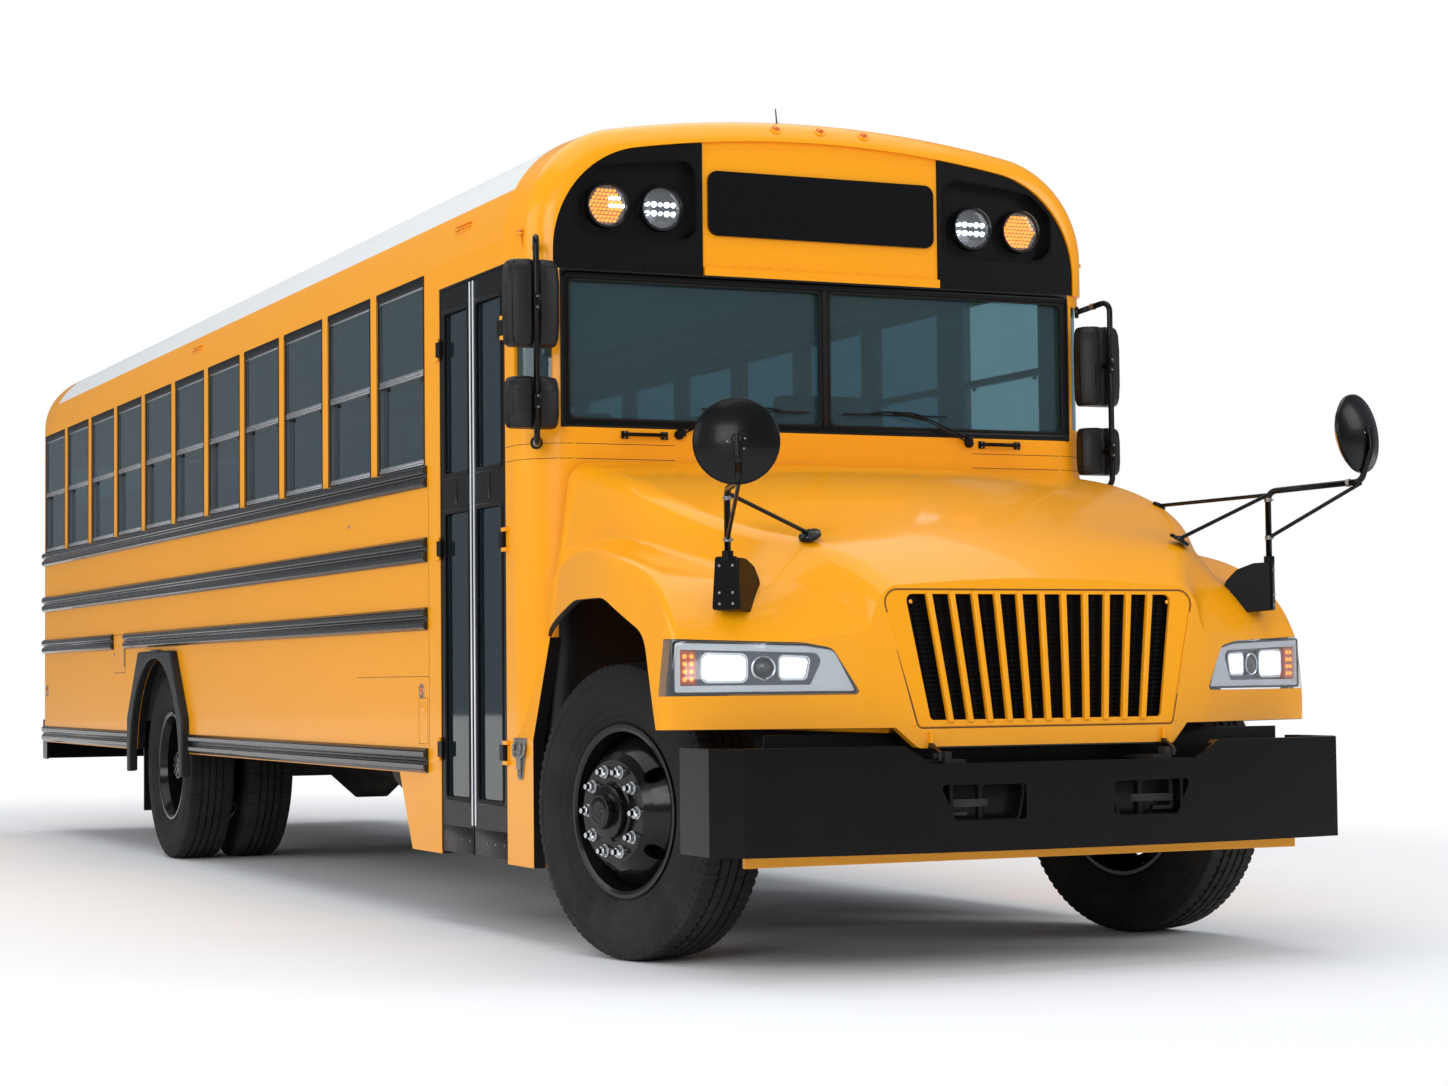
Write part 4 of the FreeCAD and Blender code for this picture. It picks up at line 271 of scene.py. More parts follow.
# in metres: how far in a cowl's leg stands, how far out it gets, and from where down and how fast it slopes
LEG_IN, LEG_OUT, LEG_BEND_Z, LEG_SLOPE = 1.106, 1.175, 1.128, 0.1825
ARCH_TOP_Z, CAP_EDGE_Z, FLOOR_EDGE_Z = 1.4, 2.47, 1.19
SKIN = 0.004                            # the walls' yellow outer skin
ARM_IN, ARM_OUT, ARM_LIFT, LIP_Z = 0.4393, 0.4527, 0.012, 0.742


def cowl_tone(t):
    """Yellow outside, near black as painted shade in the wheel arch, and black above the windscreen as the
    cap's edge is.
    """
    x, along, up = t.split()
    out = t.calc("ABSOLUTE", x)
    # painted shade: the arch is near black between the cowl's legs and on their flat front faces
    slope = t.times(t.most(t.calc("SUBTRACT", LEG_BEND_Z, up), 0.0), LEG_SLOPE)
    between = t.calc("LESS_THAN", out, t.calc("MINIMUM", t.add(slope, LEG_IN), LEG_OUT))
    between = t.times(between, t.under(along, back(655), back(660)))
    shade_on_leg_faces = t.under(along, back(592.4), back(592.8))
    low = t.under(up, ARCH_TOP_Z, ARCH_TOP_Z + 0.02)
    over = t.times(t.calc("GREATER_THAN", up, CAP_EDGE_Z), t.calc("LESS_THAN", along, back(612)))
    inside = t.most(over, t.times(low, t.most(between, shade_on_leg_faces)))
    return t.mix(inside, YELLOW, SHADE_AND_BLACK)


def wall_tone(t):
    """Yellow on the outer skin, grey inside it, and near black below the floor as painted shade."""
    x, _, up = t.split()
    out = t.calc("ABSOLUTE", x)
    shade_under_floor = t.under(up, FLOOR_EDGE_Z, FLOOR_EDGE_Z + 0.01)
    skin_in = HALF / 1000 - SKIN
    inside = t.under(out, skin_in - 0.0005, skin_in + 0.0005)
    return t.mix(inside, YELLOW, t.mix(shade_under_floor, WALL_LINING, SHADE_AND_BLACK))


def hood_tone(t):
    """Yellow, with the two black hinge arms below the lip."""
    x, along, up = t.split()
    out = t.calc("ABSOLUTE", x)
    arm = t.times(t.calc("GREATER_THAN", out, ARM_IN), t.calc("LESS_THAN", out, ARM_OUT))
    low = t.calc("LESS_THAN", up, t.add(LIP_Z, t.times(arm, ARM_LIFT)))
    low = t.most(low, t.under(along, back(-1041), back(-1039)))
    low = t.times(low, t.under(up, 0.79, 0.8))
    between_arms = t.under(out, 0.4535, 0.456)
    return t.mix(t.times(low, between_arms), YELLOW, BLACK)


def glazing_tone(t):
    """The windscreen is the clearest, then the driver's windows, then the side windows."""
    along = t.split()[1]
    front = t.mix(t.step(along, back(790), back(810)), linear(122, 160, 172), linear(206, 226, 228))
    return t.mix(t.step(along, back(1640), back(1660)), front, linear(98, 126, 136))


# ---- finishes ------------------------------------------------------------------------------------
def enamel(name, tone=None, rough=0.30, coat=0.22, shine=0.28, peel=0.012, film=0.10):
    """The yellow top coat, with a fine orange peel and a thin film of dust near the road."""
    return finish(name, YELLOW, rough, coat=coat, shine=shine, tone=tone, grain=(420.0, peel), waves=0.6,
                  dust=(0.75, film), drift=(0.7, 0.07))


def sheet_glass(name, colour, clear, **more):
    """Flat glass, very slightly wavy."""
    return finish(name, colour, 0.03, grain=(60.0, 0.004), waves=0.5, dust=(0.8, 0.02), clear=clear,
                  patchy=0.01, **more)


def lens(name, colour, clear):
    """Moulded lamp plastic that lets some light through."""
    return finish(name, colour, 0.12, grain=(90.0, 0.05), clear=clear, coat=0.3, dust=(0.5, 0.0))


def diode(name, colour, light, power):
    """A diode behind a lens that glows, used for lit lamps and for painted glints on unlit ones."""
    return finish(name, colour, 0.3, glow=(light, power), dust=(0.5, 0.0))


yellow_paint = enamel("yellow_enamel")
cowl_paint = enamel("cowl_enamel", cowl_tone)
wall_paint = enamel("side_enamel", wall_tone, rough=0.32, coat=0.16, shine=0.22)
hood_paint = enamel("hood_enamel", hood_tone, rough=0.28, coat=0.30, shine=0.32, peel=0.008, film=0.08)
body_glazing = sheet_glass("body_glazing", linear(86, 112, 120), 0.9, tone=glazing_tone)
bumper_black = finish("bumper_enamel", linear(7, 7, 8), 0.22, coat=0.05, grain=(350.0, 0.006),
                      dust=(0.9, 0.02), shine=0.14)
rail_black = finish("rail_black", linear(13, 14, 16), 0.24, coat=0.4, grain=(500.0, 0.02), dust=(0.9, 0.04),
                    shine=0.4)
roof_paint = finish("roof_enamel", WHITE, 0.42, coat=0.15, grain=(380.0, 0.03), waves=0.5, dust=(0.4, 0.0),
                    tone=by_axis("Z", 2.832, YELLOW, WHITE), drift=(0.9, 0.06))
black_paint = finish("black_enamel", BLACK, 0.30, coat=0.10, grain=(400.0, 0.03), dust=(0.8, 0.06), shine=0.2)
satin_black = finish("satin_black_paint", linear(11, 12, 13), 0.32, coat=0.05, grain=(350.0, 0.04),
                     dust=(0.9, 0.05), shine=0.14)
gloss_black = finish("gloss_black_paint", linear(10, 10, 12), 0.18, coat=0.2, shine=0.25, dust=(0.5, 0.05))
trim_black = finish("black_moulding", linear(20, 21, 23), 0.44, grain=(650.0, 0.10), dust=(0.8, 0.08),
                    shine=0.35)
rubber_black = finish("seal_rubber", linear(15, 15, 16), 0.66, grain=(500.0, 0.10), dust=(0.9, 0.15),
                      shine=0.3)
chassis_black = finish("chassis_paint", linear(27, 27, 28), 0.62, grain=(160.0, 0.20), dust=(1.1, 0.45),
                       shine=0.35)
cast_iron = finish("cast_iron_skin", linear(52, 48, 45), 0.72, metal=0.35, grain=(240.0, 0.45),
                   dust=(1.2, 0.5))
alloy = finish("brushed_alloy", ALLOY, 0.36, metal=0.6, grain=(900.0, 0.08), dust=(0.5, 0.1),
               tone=by_axis("Y", back(1000) - 0.05, linear(14, 15, 17), ALLOY))
bright_alloy = finish("bright_alloy", linear(214, 216, 219), 0.25, metal=0.9, grain=(800.0, 0.05),
                      dust=(0.5, 0.05))
steel = finish("plain_steel", linear(150, 149, 147), 0.38, metal=0.95, grain=(420.0, 0.12))
dull_steel = finish("weathered_steel", linear(84, 80, 76), 0.58, metal=0.7, grain=(260.0, 0.35),
                    dust=(1.2, 0.45))
chrome = finish("chrome_plate", linear(228, 230, 233), 0.07, metal=1.0, grain=(300.0, 0.01),
                dust=(0.4, 0.02))
window_glass = sheet_glass("tinted_glass", linear(66, 86, 96), 0.86, shine=0.6)
# near-white silver: partly the trim's real silver, partly a painted bright reflection
silver_painted_sheen = finish("silver_painted_sheen", linear(240, 243, 247), 0.2, metal=0.3, grain=(500.0, 0.04),
                      dust=(0.5, 0.05))
smoked_silver = finish("smoked_silver", linear(96, 100, 108), 0.18, metal=0.7, grain=(500.0, 0.04),
                       dust=(0.5, 0.05))
clear_glass = finish("clear_lens", linear(244, 247, 250), 0.03, grain=(120.0, 0.01), dust=(0.5, 0.0),
                     clear=0.97, ior=1.45, patchy=0.01)
tyre_rubber = finish("tyre_rubber", linear(22, 22, 24), 0.74, grain=(520.0, 0.25), dust=(1.1, 0.16),
                     shine=0.25)
seat_vinyl = finish("seat_vinyl", linear(36, 44, 58), 0.45, grain=(260.0, 0.35), dust=(0.5, 0.0),
                    drift=(3.0, 0.15))
floor_rubber = finish("floor_rubber", linear(40, 40, 42), 0.7, grain=(120.0, 0.3), dust=(1.4, 0.3))
red_paint = finish("red_enamel", linear(188, 22, 20), 0.3, coat=0.3, grain=(380.0, 0.03))
white_paint = finish("white_enamel", WHITE, 0.35, coat=0.2, grain=(380.0, 0.03))
amber_lens = lens("amber_lens", linear(238, 120, 16), 0.35)
red_lens = lens("red_lens", linear(190, 16, 14), 0.3)
dark_lens = finish("smoked_lens", linear(24, 28, 34), 0.10, grain=(90.0, 0.04), coat=0.4, dust=(0.5, 0.0))
amber_glow = diode("amber_diode", linear(255, 160, 40), linear(255, 148, 38), 1.6)
# painted glint: a white glow on the warning lamps' unlit diodes
glint_glow = diode("painted_glint_diode", linear(240, 244, 255), linear(226, 234, 255), 5.0)
lamp_glow = diode("lit_reflector", linear(240, 244, 255), linear(238, 244, 255), 1.6)
line_dark = finish("panel_gap", linear(92, 58, 8), 0.6, grain=(300.0, 0.05), dust=(0.5, 0.0))

# the finish of each slot, and of the solids that differ from their slot's
SLOTS = {"yellow_paint": yellow_paint, "white_paint": white_paint, "black_paint": black_paint,
         "chassis_black": chassis_black, "cast": cast_iron, "alloy_frame": alloy,
         "window_glass": window_glass, "lamp_glass": clear_glass, "lamp_plastic": amber_lens,
         "tyre_rubber": tyre_rubber, "trim_black": trim_black, "steel": dull_steel, "seat_cover": seat_vinyl,
         "stop_red": red_paint, "floor_covering": floor_rubber}
OWN = {"roof_shell": roof_paint, "bumpers": bumper_black, "hood": hood_paint, "cowl": cowl_paint,
       "body_glass": body_glazing, "side_wall_left": wall_paint, "side_wall_right": wall_paint,
       "rub_rails": rail_black, "handrails": yellow_paint, "front_panels": black_paint,
       "wheel_front_left": gloss_black, "wheel_front_right": gloss_black,
       "wheels_rear_left": gloss_black, "wheels_rear_right": gloss_black}


# ---- building pieces -----------------------------------------------------------------------------
def piece(name, bm, body, material, slot, smooth=35, replaces=(), doubles=1e-5):
    """Closes a bmesh into an object that rides on a body, with its normals outwards."""
    if doubles:
        bmesh.ops.remove_doubles(bm, verts=bm.verts, dist=doubles)
    bmesh.ops.recalc_face_normals(bm, faces=bm.faces)
    for f in bm.faces:
        f.smooth = True
    for e in bm.edges:
        e.smooth = not (len(e.link_faces) == 2 and e.calc_face_angle(0.0) > math.radians(smooth))
    mesh = bpy.data.meshes.new(name)
    bm.to_mesh(mesh)
    bm.free()
    obj = bpy.data.objects.new(name, mesh)
    bpy.context.scene.collection.objects.link(obj)
    mesh.materials.append(material)
    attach(obj, body)
    if replaces:
        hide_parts(*replaces)
    return obj


def soften(obj, width, segments=2, angle=35):
    """Rounds a finished piece's edges by width metres."""
    b = obj.modifiers.new("edges", "BEVEL")
    b.width, b.segments, b.limit_method, b.angle_limit = width, segments, "ANGLE", math.radians(angle)
    b.harden_normals = False


def copied(node):
    """A solid's own mesh, with its corners merged."""
    bm = bmesh.new()
    bm.from_mesh(frame["nodes"][node].data)
    bmesh.ops.remove_doubles(bm, verts=bm.verts, dist=SAME_PLACE)
    return bm


def made_whole(bm):
    """Joins the triangles of each flat face."""
    bmesh.ops.dissolve_limit(bm, angle_limit=FLAT_ANGLE, verts=bm.verts, edges=bm.edges)


def dressed(node, body, material, slot, width):
    """A copy of a solid with its flat faces made whole and its edges broken."""
    bm = copied(node)
    made_whole(bm)
    obj = piece(node + "_dressed", bm, body, material, slot, smooth=32, replaces=(node,), doubles=0)
    soften(obj, width)


def deepen(bm, faces, along):
    """Gives flat faces a depth, along a vector in mm."""
    grown = bmesh.ops.extrude_face_region(bm, geom=faces)["geom"]
    far = [g for g in grown if isinstance(g, bmesh.types.BMVert)]
    bmesh.ops.translate(bm, vec=Vector(along) / 1000, verts=far)


def edges_of(verts):
    """The edges that meet at some corners, each once and in a fixed order."""
    return list(dict.fromkeys(e for v in verts for e in v.link_edges))


def block(bm, x0, x1, y0, y1, z0, z1, edge=0.0):
    """A box between two corners, its edges rounded by edge mm."""
    lo, hi = at(x0, y0, z0), at(x1, y1, z1)
    made = bmesh.ops.create_cube(bm, size=1.0)["verts"]
    bmesh.ops.scale(bm, vec=hi - lo, verts=made)
    bmesh.ops.translate(bm, vec=(lo + hi) / 2, verts=made)
    if edge:
        bmesh.ops.bevel(bm, geom=edges_of(made), offset=edge / 1000, offset_type="OFFSET", segments=2,
                        profile=0.5, affect="EDGES", clamp_overlap=True, material=-1)


def side_block(bm, side, out0, out1, y0, y1, z0, z1, edge=0.0):
    """A box on one side of the bus, between two distances from its middle."""
    x0, x1 = sorted((side * out0, side * out1))
    block(bm, x0, x1, y0, y1, z0, z1, edge)


def facing(direction):
    """The turn that brings the Z axis to a direction."""
    return direction.to_track_quat("Z", "Y").to_matrix().to_4x4()


def rod(bm, a, b, radius, radius_end=None, sides=16):
    """A round bar from a to b, in mm."""
    a, b = at(*a), at(*b)
    end = radius if radius_end is None else radius_end
    bmesh.ops.create_cone(bm, cap_ends=True, cap_tris=False, segments=sides, radius1=radius / 1000,
                          radius2=end / 1000, depth=(b - a).length,
                          matrix=Matrix.Translation((a + b) / 2) @ facing(b - a))


def bent(bm, points, radius, bend, sides=14):
    """A round bar along a row of points in mm, its corners bent to a radius."""
    pts = [Vector(p) for p in points]
    start = pts[0]
    for a, p, b in zip(pts, pts[1:], pts[2:]):
        u, v = (a - p).normalized(), (b - p).normalized()
        half = u.angle(v) / 2
        if half > math.radians(88):
            continue
        run = min(bend / math.tan(half), (a - p).length * 0.45, (b - p).length * 0.45)
        first, last = p + u * run, p + v * run
        centre = p + (u + v).normalized() * (run / math.cos(half))
        axis = (first - centre).cross(last - centre).normalized()
        rod(bm, start, first, radius, sides=sides)
        ring = bmesh.ops.create_circle(bm, cap_ends=False, segments=sides, radius=radius / 1000,
                                       matrix=Matrix.Translation(at(*first)) @ facing(-u))["verts"]
        bmesh.ops.spin(bm, geom=ring + edges_of(ring), cent=at(*centre), axis=axis,
                       angle=math.pi - 2 * half, steps=8, use_duplicate=False)
        start = last
    rod(bm, start, pts[-1], radius, sides=sides)


def turned(bm, profile, centre, axis, steps=48):
    """A row of (radius, along) points in mm, spun about an axis through a centre."""
    c, d = at(*centre), Vector(axis).normalized()
    side = d.orthogonal().normalized()
    row = [bm.verts.new(c + side * (r / 1000) + d * (s / 1000)) for r, s in profile]
    edges = [bm.edges.new(pair) for pair in zip(row, row[1:])]
    bmesh.ops.spin(bm, geom=row + edges, cent=c, axis=d, angle=2 * math.pi, steps=steps, use_merge=True,
                   use_duplicate=False)


def slab(bm, points, along):
    """A flat outline in mm, extruded by the vector along."""
    face = bm.faces.new([bm.verts.new(at(*p)) for p in points])
    deepen(bm, [face], along)


def collar(bm, centre, axis, radius, long=16):
    """A short clamp round a bar."""
    a = Vector(axis).normalized() * (long / 2)
    c = Vector(centre)
    rod(bm, c - a, c + a, radius)


def screw(bm, point, normal, radius=6.0, high=3.0):
    """A low round head."""
    row = [(0, high), (radius * 0.45, high), (radius * 0.75, high * 0.8), (radius, high * 0.2), (radius, -1)]
    turned(bm, row, point, Vector(normal).normalized(), 12)


def rivet(bm, point, normal, radius=5.0, high=2.2):
    """A low domed head of a few faces."""
    n = Vector(normal).normalized()
    bmesh.ops.create_cone(bm, cap_ends=True, cap_tris=False, segments=8, radius1=radius / 1000,
                          radius2=radius * 0.5 / 1000, depth=high / 1000,
                          matrix=Matrix.Translation(at(*point) + n * (high / 2000 - 0.0002)) @ facing(n))


# ---- outlines ------------------------------------------------------------------------------------
def rounded(points, radius, segments=5):
    """A closed 2-D outline with its corners rounded. radius is one number or one for each corner."""
    n, out = len(points), []
    radii = [radius] * n if isinstance(radius, (int, float)) else radius
    for i, (p, r) in enumerate(zip(points, radii)):
        p = Vector(p)
        if not r:
            out.append(tuple(p))
            continue
        a, b = (Vector(points[i - 1]) - p).normalized(), (Vector(points[(i + 1) % n]) - p).normalized()
        half = a.angle(b) / 2
        mid = p + (a + b).normalized() * (r / math.sin(half))
        start, end = p + a * (r / math.tan(half)) - mid, p + b * (r / math.tan(half)) - mid
        sweep = math.atan2(start.x * end.y - start.y * end.x, start.dot(end))
        for k in range(segments + 1):
            w = sweep * (k / segments)
            c, s = math.cos(w), math.sin(w)
            out.append(tuple(mid + Vector((start.x * c - start.y * s, start.x * s + start.y * c))))
    return out


def oblong(u0, u1, v0, v1, radius, segments=5):
    """A rectangle with rounded corners."""
    return rounded([(u0, v0), (u1, v0), (u1, v1), (u0, v1)], radius, segments)


def shrunk(outline, by):
    """An outline moved inwards by a distance, each corner along its own bisector."""
    out, n = [], len(outline)
    area = sum(outline[i - 1][0] * outline[i][1] - outline[i][0] * outline[i - 1][1] for i in range(n))
    turn = 1 if area > 0 else -1
    for i in range(n):
        a, p, b = Vector(outline[i - 1]), Vector(outline[i]), Vector(outline[(i + 1) % n])
        u, v = (p - a).normalized(), (b - p).normalized()
        m = Vector((-(u.y + v.y), u.x + v.x))
        m = m.normalized() * (by * turn / max(0.3, m.normalized().dot(Vector((-u.y, u.x)))))
        out.append((p.x + m.x, p.y + m.y))
    return out


def across_bus(y):
    """Outlines drawn as (x, z) on a plane that crosses the bus."""
    return lambda x, z: (x, y, z)


def along_bus(x):
    """Outlines drawn as (y, z) on a plane along the bus."""
    return lambda y, z: (x, y, z)


def band(bm, outer, inner, place, along):
    """The flat ring between two outlines, given depth."""
    loops = []
    for outline in (outer, inner):
        ring = [bm.verts.new(at(*place(*p))) for p in outline]
        loops += [bm.edges.new((a, b)) for a, b in zip(ring, ring[1:] + ring[:1])]
    deepen(bm, bmesh.ops.bridge_loops(bm, edges=loops)["faces"], along)


def plate(bm, outline, place, along):
    """A flat outline placed in space, given depth."""
    slab(bm, [place(*p) for p in outline], along)


# ---- finishes of the frame's own solids ----------------------------------------------------------
for part in frame["record"]["subparts"]:
    solid = frame["nodes"][part["node"]]
    chosen = OWN.get(part["node"], SLOTS[part["material_slot"]])
    if not solid.material_slots:
        solid.data.materials.append(chosen)
    for held in solid.material_slots:
        held.material = chosen


# ---- wheels and tyres ----------------------------------------------------------------------------
TYRE_WALL = [(288, 101), (303, 101), (309, 107), (315, 112), (322, 112), (327, 117), (345, 125), (350, 125),
             (352, 127.5), (357, 127.5), (359, 129), (380, 132.5), (406, 134), (430, 133.5), (452, 131),
             (456, 129), (461, 131), (466, 129), (471, 130), (476, 128), (489, 123), (500, 119.5), (506, 117),
             (510, 110), (511, 103)]
TREAD_HALF, TREAD_LOW_R, GROOVE_R = TYRE_WIDTH / 2 - 32, 494, 501
STEP_DEGREES = 2                            # the tread goes round in steps of this angle
NUT_COUNT, NUT_CIRCLE_R = 10, 143
# a nut's flange, its body and its chamfer, then the stud's end: from, to, the two radii and the sides
NUT_PARTS = ((0.5, 5, 22, 22, 20), (4, 19, 19, 19, 6), (19, 22.5, 19, 15, 6), (20, 36.6, 10.6, 9.2, 14))
FRONT_DISC_OUT, REAR_DISC_IN = 150, 137     # from the tyre's middle to the disc that carries the nuts
HUB_NOSE = 62
HUB_CAP = [(0, HUB_NOSE + 3.5), (17, HUB_NOSE + 3.5), (19, HUB_NOSE + 1.2), (36, HUB_NOSE + 1.2),
           (38, HUB_NOSE + 3), (50, HUB_NOSE + 2), (58.6, HUB_NOSE - 5), (60.2, HUB_NOSE - 14), (60.2, 34),
           (70, 31.5), (86, 31), (92.8, 29), (93.6, 24), (93.6, 6), (99, 2), (104, 0.6), (104, -2)]
REAR_HUB_CAP = [(0, 76), (14, 76), (16, 73), (30, 73), (32, 76), (62, 75), (72.6, 68), (74, 60), (74, -95),
                (80, -99), (93, -101), (94, -104)]


def tyre(bm, centre):
    """A tyre's closed ring with ribs on its walls, four grooves and notched shoulders."""
    row = [(r, -x) for r, x in TYRE_WALL]
    for share in (-0.55, -0.18, 0.18, 0.55):
        x, land_r = TREAD_HALF * share, TYRE_R - 2 * abs(share)
        row += [(land_r, x - 5), (GROOVE_R, x - 4), (GROOVE_R, x + 4), (land_r, x + 5)]
    row += [(r, x) for r, x in reversed(TYRE_WALL)]
    row.append(row[0])
    turned(bm, row, centre, RIGHTWARDS, 360 // STEP_DEGREES)
    bmesh.ops.remove_doubles(bm, verts=bm.verts, dist=1e-5)
    bmesh.ops.recalc_face_normals(bm, faces=bm.faces)
    c = at(*centre)

    def cut(low, high, every, first, thickness, depth):
        """Sinks faces of the tread between two distances from its middle, one step in every so many."""
        chosen = []
        for f in bm.faces:
            m = f.calc_center_median() - c
            step = round(math.degrees(math.atan2(m.z, m.y)) / STEP_DEGREES - 0.5)
            on_tread = math.hypot(m.y, m.z) > TREAD_LOW_R / 1000
            if low < abs(m.x) * 1000 < high and on_tread and step % every == first:
                chosen.append(f)
        bmesh.ops.inset_region(bm, faces=chosen, thickness=thickness, depth=depth, use_even_offset=True)
    cut(60, 124, 2, 0, 0.0045, -0.0035)
    cut(24, 52, 4, 1, 0.004, -0.004)


def around(count, radius, y, z, offset=0.0):
    """Places evenly round a circle that faces sideways, starting at the top."""
    for k in range(count):
        a = 2 * math.pi * (k + offset) / count
        yield y + radius * math.sin(a), z + radius * math.cos(a)


def wheel_nuts(bm, y, face, out):
    """Bright nuts with the ends of their studs."""
    for ny, nz in around(NUT_COUNT, NUT_CIRCLE_R, y, TYRE_R, 0.5):
        for start, end, radius, radius_end, sides in NUT_PARTS:
            rod(bm, (face + out * start, ny, nz), (face + out * end, ny, nz), radius, radius_end, sides)


def hub_cap(bm, side, x, y):
    """Rings over a front hub's nose and a lip at its disc, or a rear axle's flanged end with its bolts."""
    row, seat_x = (HUB_CAP, x + FRONT_DISC_OUT) if y == 0 else (REAR_HUB_CAP, x)
    turned(bm, [(r, side * s) for r, s in row], (side * seat_x, y, TYRE_R), RIGHTWARDS, 64)
    if y == 0:
        return
    for by, bz in around(8, 52, y, TYRE_R):
        rod(bm, (side * (x + 75), by, bz), (side * (x + 80.5), by, bz), 9, 8, sides=6)


def wheel_piece(name, bm, body, side, material, slot, **more):
    """A piece of a wheel; on the front axle it turns to where the wheels are parked."""
    if "front" in body:
        bmesh.ops.rotate(bm, verts=bm.verts, cent=at(side * KINGPIN_X, 0, 0),
                         matrix=Matrix.Rotation(math.radians(STEER_REST), 3, "Z"))
    piece(name, bm, body, material, slot, **more)


for body, side, x, y in (("wheel_front_left", 1, TRACK_HALF, 0), ("wheel_front_right", -1, TRACK_HALF, 0),
                         ("wheels_rear_left", 1, DUAL_X, WHEELBASE),
                         ("wheels_rear_right", -1, DUAL_X, WHEELBASE)):
    rubber = body.replace("wheel", "tyre")
    treads, disc = [("_tread", x)], x + FRONT_DISC_OUT
    if y > 0:
        treads, disc = treads + [("_inner_tread", x - DUAL_SPACING)], x - REAR_DISC_IN
    for ending, out in treads:
        bm = bmesh.new()
        tyre(bm, (side * out, y, TYRE_R))
        wheel_piece(rubber + ending, bm, body, side, tyre_rubber, "tyre_rubber", smooth=28,
                    replaces=(rubber,))
    bm = bmesh.new()
    wheel_nuts(bm, y, side * disc, side)
    wheel_piece(body + "_nuts", bm, body, side, bright_alloy, "steel", smooth=30)
    bm = bmesh.new()
    hub_cap(bm, side, x, y)
    wheel_piece(body + "_hub_cap", bm, body, side, gloss_black, "black_paint", smooth=30)


# ---- seats ---------------------------------------------------------------------------------------
SEATS = ("seats",)
BENCH_ROWS, FIRST_BENCH_Y, LAST_BENCH_Y = 11, FIRST_WINDOW_Y + 150, REAR_Y - 45 - 1073
AISLE_HALF, BENCH_OUT = 165, 1135
FLOOR_Z, BENCH_LEG_TOP = 1052, 1388
BACK_LEAN = 0.10


def cushion(bm, x0, x1, y0, y1, z0, z1, crown):
    """A stuffed block: full faces, rounded edges, and a sewn line round each of its two large faces."""
    before = set(bm.faces)
    block(bm, x0, x1, y0, y1, z0, z1, 28)
    large = sorted((f for f in bm.faces if f not in before), key=lambda f: -f.calc_area())[:2]
    for thickness, depth in ((0.012, -0.007), (0.014, 0.012), (0.10, crown / 1000), (0.06, crown / 3000)):
        bmesh.ops.inset_individual(bm, faces=large, thickness=thickness, depth=depth, use_even_offset=True)


def leaning(bm, foot_z, *sizes):
    """A back cushion that leans from the height foot_z."""
    before = set(bm.verts)
    cushion(bm, *sizes)
    for v in bm.verts:
        if v not in before:
            v.co.y += (v.co.z - foot_z / 1000) * BACK_LEAN


def upholstery(name, bm):
    """A padded piece, rounded once more."""
    obj = piece(name, bm, "body", seat_vinyl, "seat_cover", smooth=60, replaces=SEATS)
    rounding = obj.modifiers.new("rounding", "SUBSURF")
    rounding.levels = rounding.render_levels = 1


def bench_frame(bm, x0, x1, y):
    """Two legs on a foot at each side, unless the wheel housing is there, and the tray they carry."""
    over_wheel = WHEELBASE - 990 < y < WHEELBASE + 620
    for x in (x0 + 60, x1 - 90):
        if abs(x) > 560 and over_wheel:
            continue
        for leg_y in (80, 290):
            block(bm, x + 4, x + 26, y + leg_y, y + leg_y + 20, FLOOR_Z, BENCH_LEG_TOP, 3)
        block(bm, x, x + 30, y + 64, y + 326, FLOOR_Z, FLOOR_Z + 10, 3)
    block(bm, x0 + 20, x1 - 20, y - 30, y + 370, BENCH_LEG_TOP - 4, BENCH_LEG_TOP + 5, 3)


for side, tag in SIDES:
    lows, backs, frames = bmesh.new(), bmesh.new(), bmesh.new()
    for row in range(BENCH_ROWS):
        y = FIRST_BENCH_Y + (LAST_BENCH_Y - FIRST_BENCH_Y) * row / (BENCH_ROWS - 1)
        x0, x1 = sorted((side * AISLE_HALF, side * BENCH_OUT))
        cushion(lows, x0 + 6, x1 - 6, y - 60, y + 396, 1392, 1488, 12)
        leaning(backs, 1794, x0 + 6, x1 - 6, y + 372, y + 442, 1442, 2146, 7)
        bench_frame(frames, x0, x1, y)
    upholstery("bench_cushions_" + tag, lows)
    upholstery("bench_backs_" + tag, backs)
    piece("bench_frames_" + tag, frames, "body", chassis_black, "chassis_black", replaces=SEATS)

bm = bmesh.new()
cushion(bm, 325, 795, 1200, 1670, 1425, 1536, 14)
leaning(bm, 1500, 330, 790, 1640, 1745, 1500, 2185, 10)
upholstery("driver_seat_pads", bm)
bm = bmesh.new()
block(bm, 470, 650, 1355, 1575, FLOOR_Z + 1, 1300, 8)
block(bm, 350, 770, 1230, 1640, 1300, 1330, 8)
block(bm, 390, 730, 1270, 1600, 1330, 1415, 20)
rod(bm, (325, 1300, 1380), (325, 1300, 1440), 14)
piece("driver_seat_stand", bm, "body", chassis_black, "chassis_black", replaces=SEATS)


# ---- headlamps -----------------------------------------------------------------------------------
LAMP_FROM, LAMP_TO = Vector((668, -968)), Vector((1266, -706))      # the lamp's front edge, seen from above
LAMP_OUT = (0.401, -0.916)                                          # and the way that it looks


def lamp_place(side, depth):
    """From height and the distance along the lamp's face to a place depth mm behind it."""
    along = (LAMP_TO - LAMP_FROM).normalized()
    inwards = Vector((-along.y, along.x))

    def place(s, z):
        p = LAMP_FROM + along * s + inwards * depth
        return side * p.x, p.y, z
    return place


def lamp_back(side, thick):
    """A step of thick mm into the lamp."""
    a, b = lamp_place(side, 0)(0, 0), lamp_place(side, thick)(0, 0)
    return b[0] - a[0], b[1] - a[1], 0


def lamp_piece(name, tag, bm, material, slot="lamp_glass", **more):
    return piece("headlamp_%s_%s" % (name, tag), bm, "hood", material, slot, replaces=("headlamps",), **more)


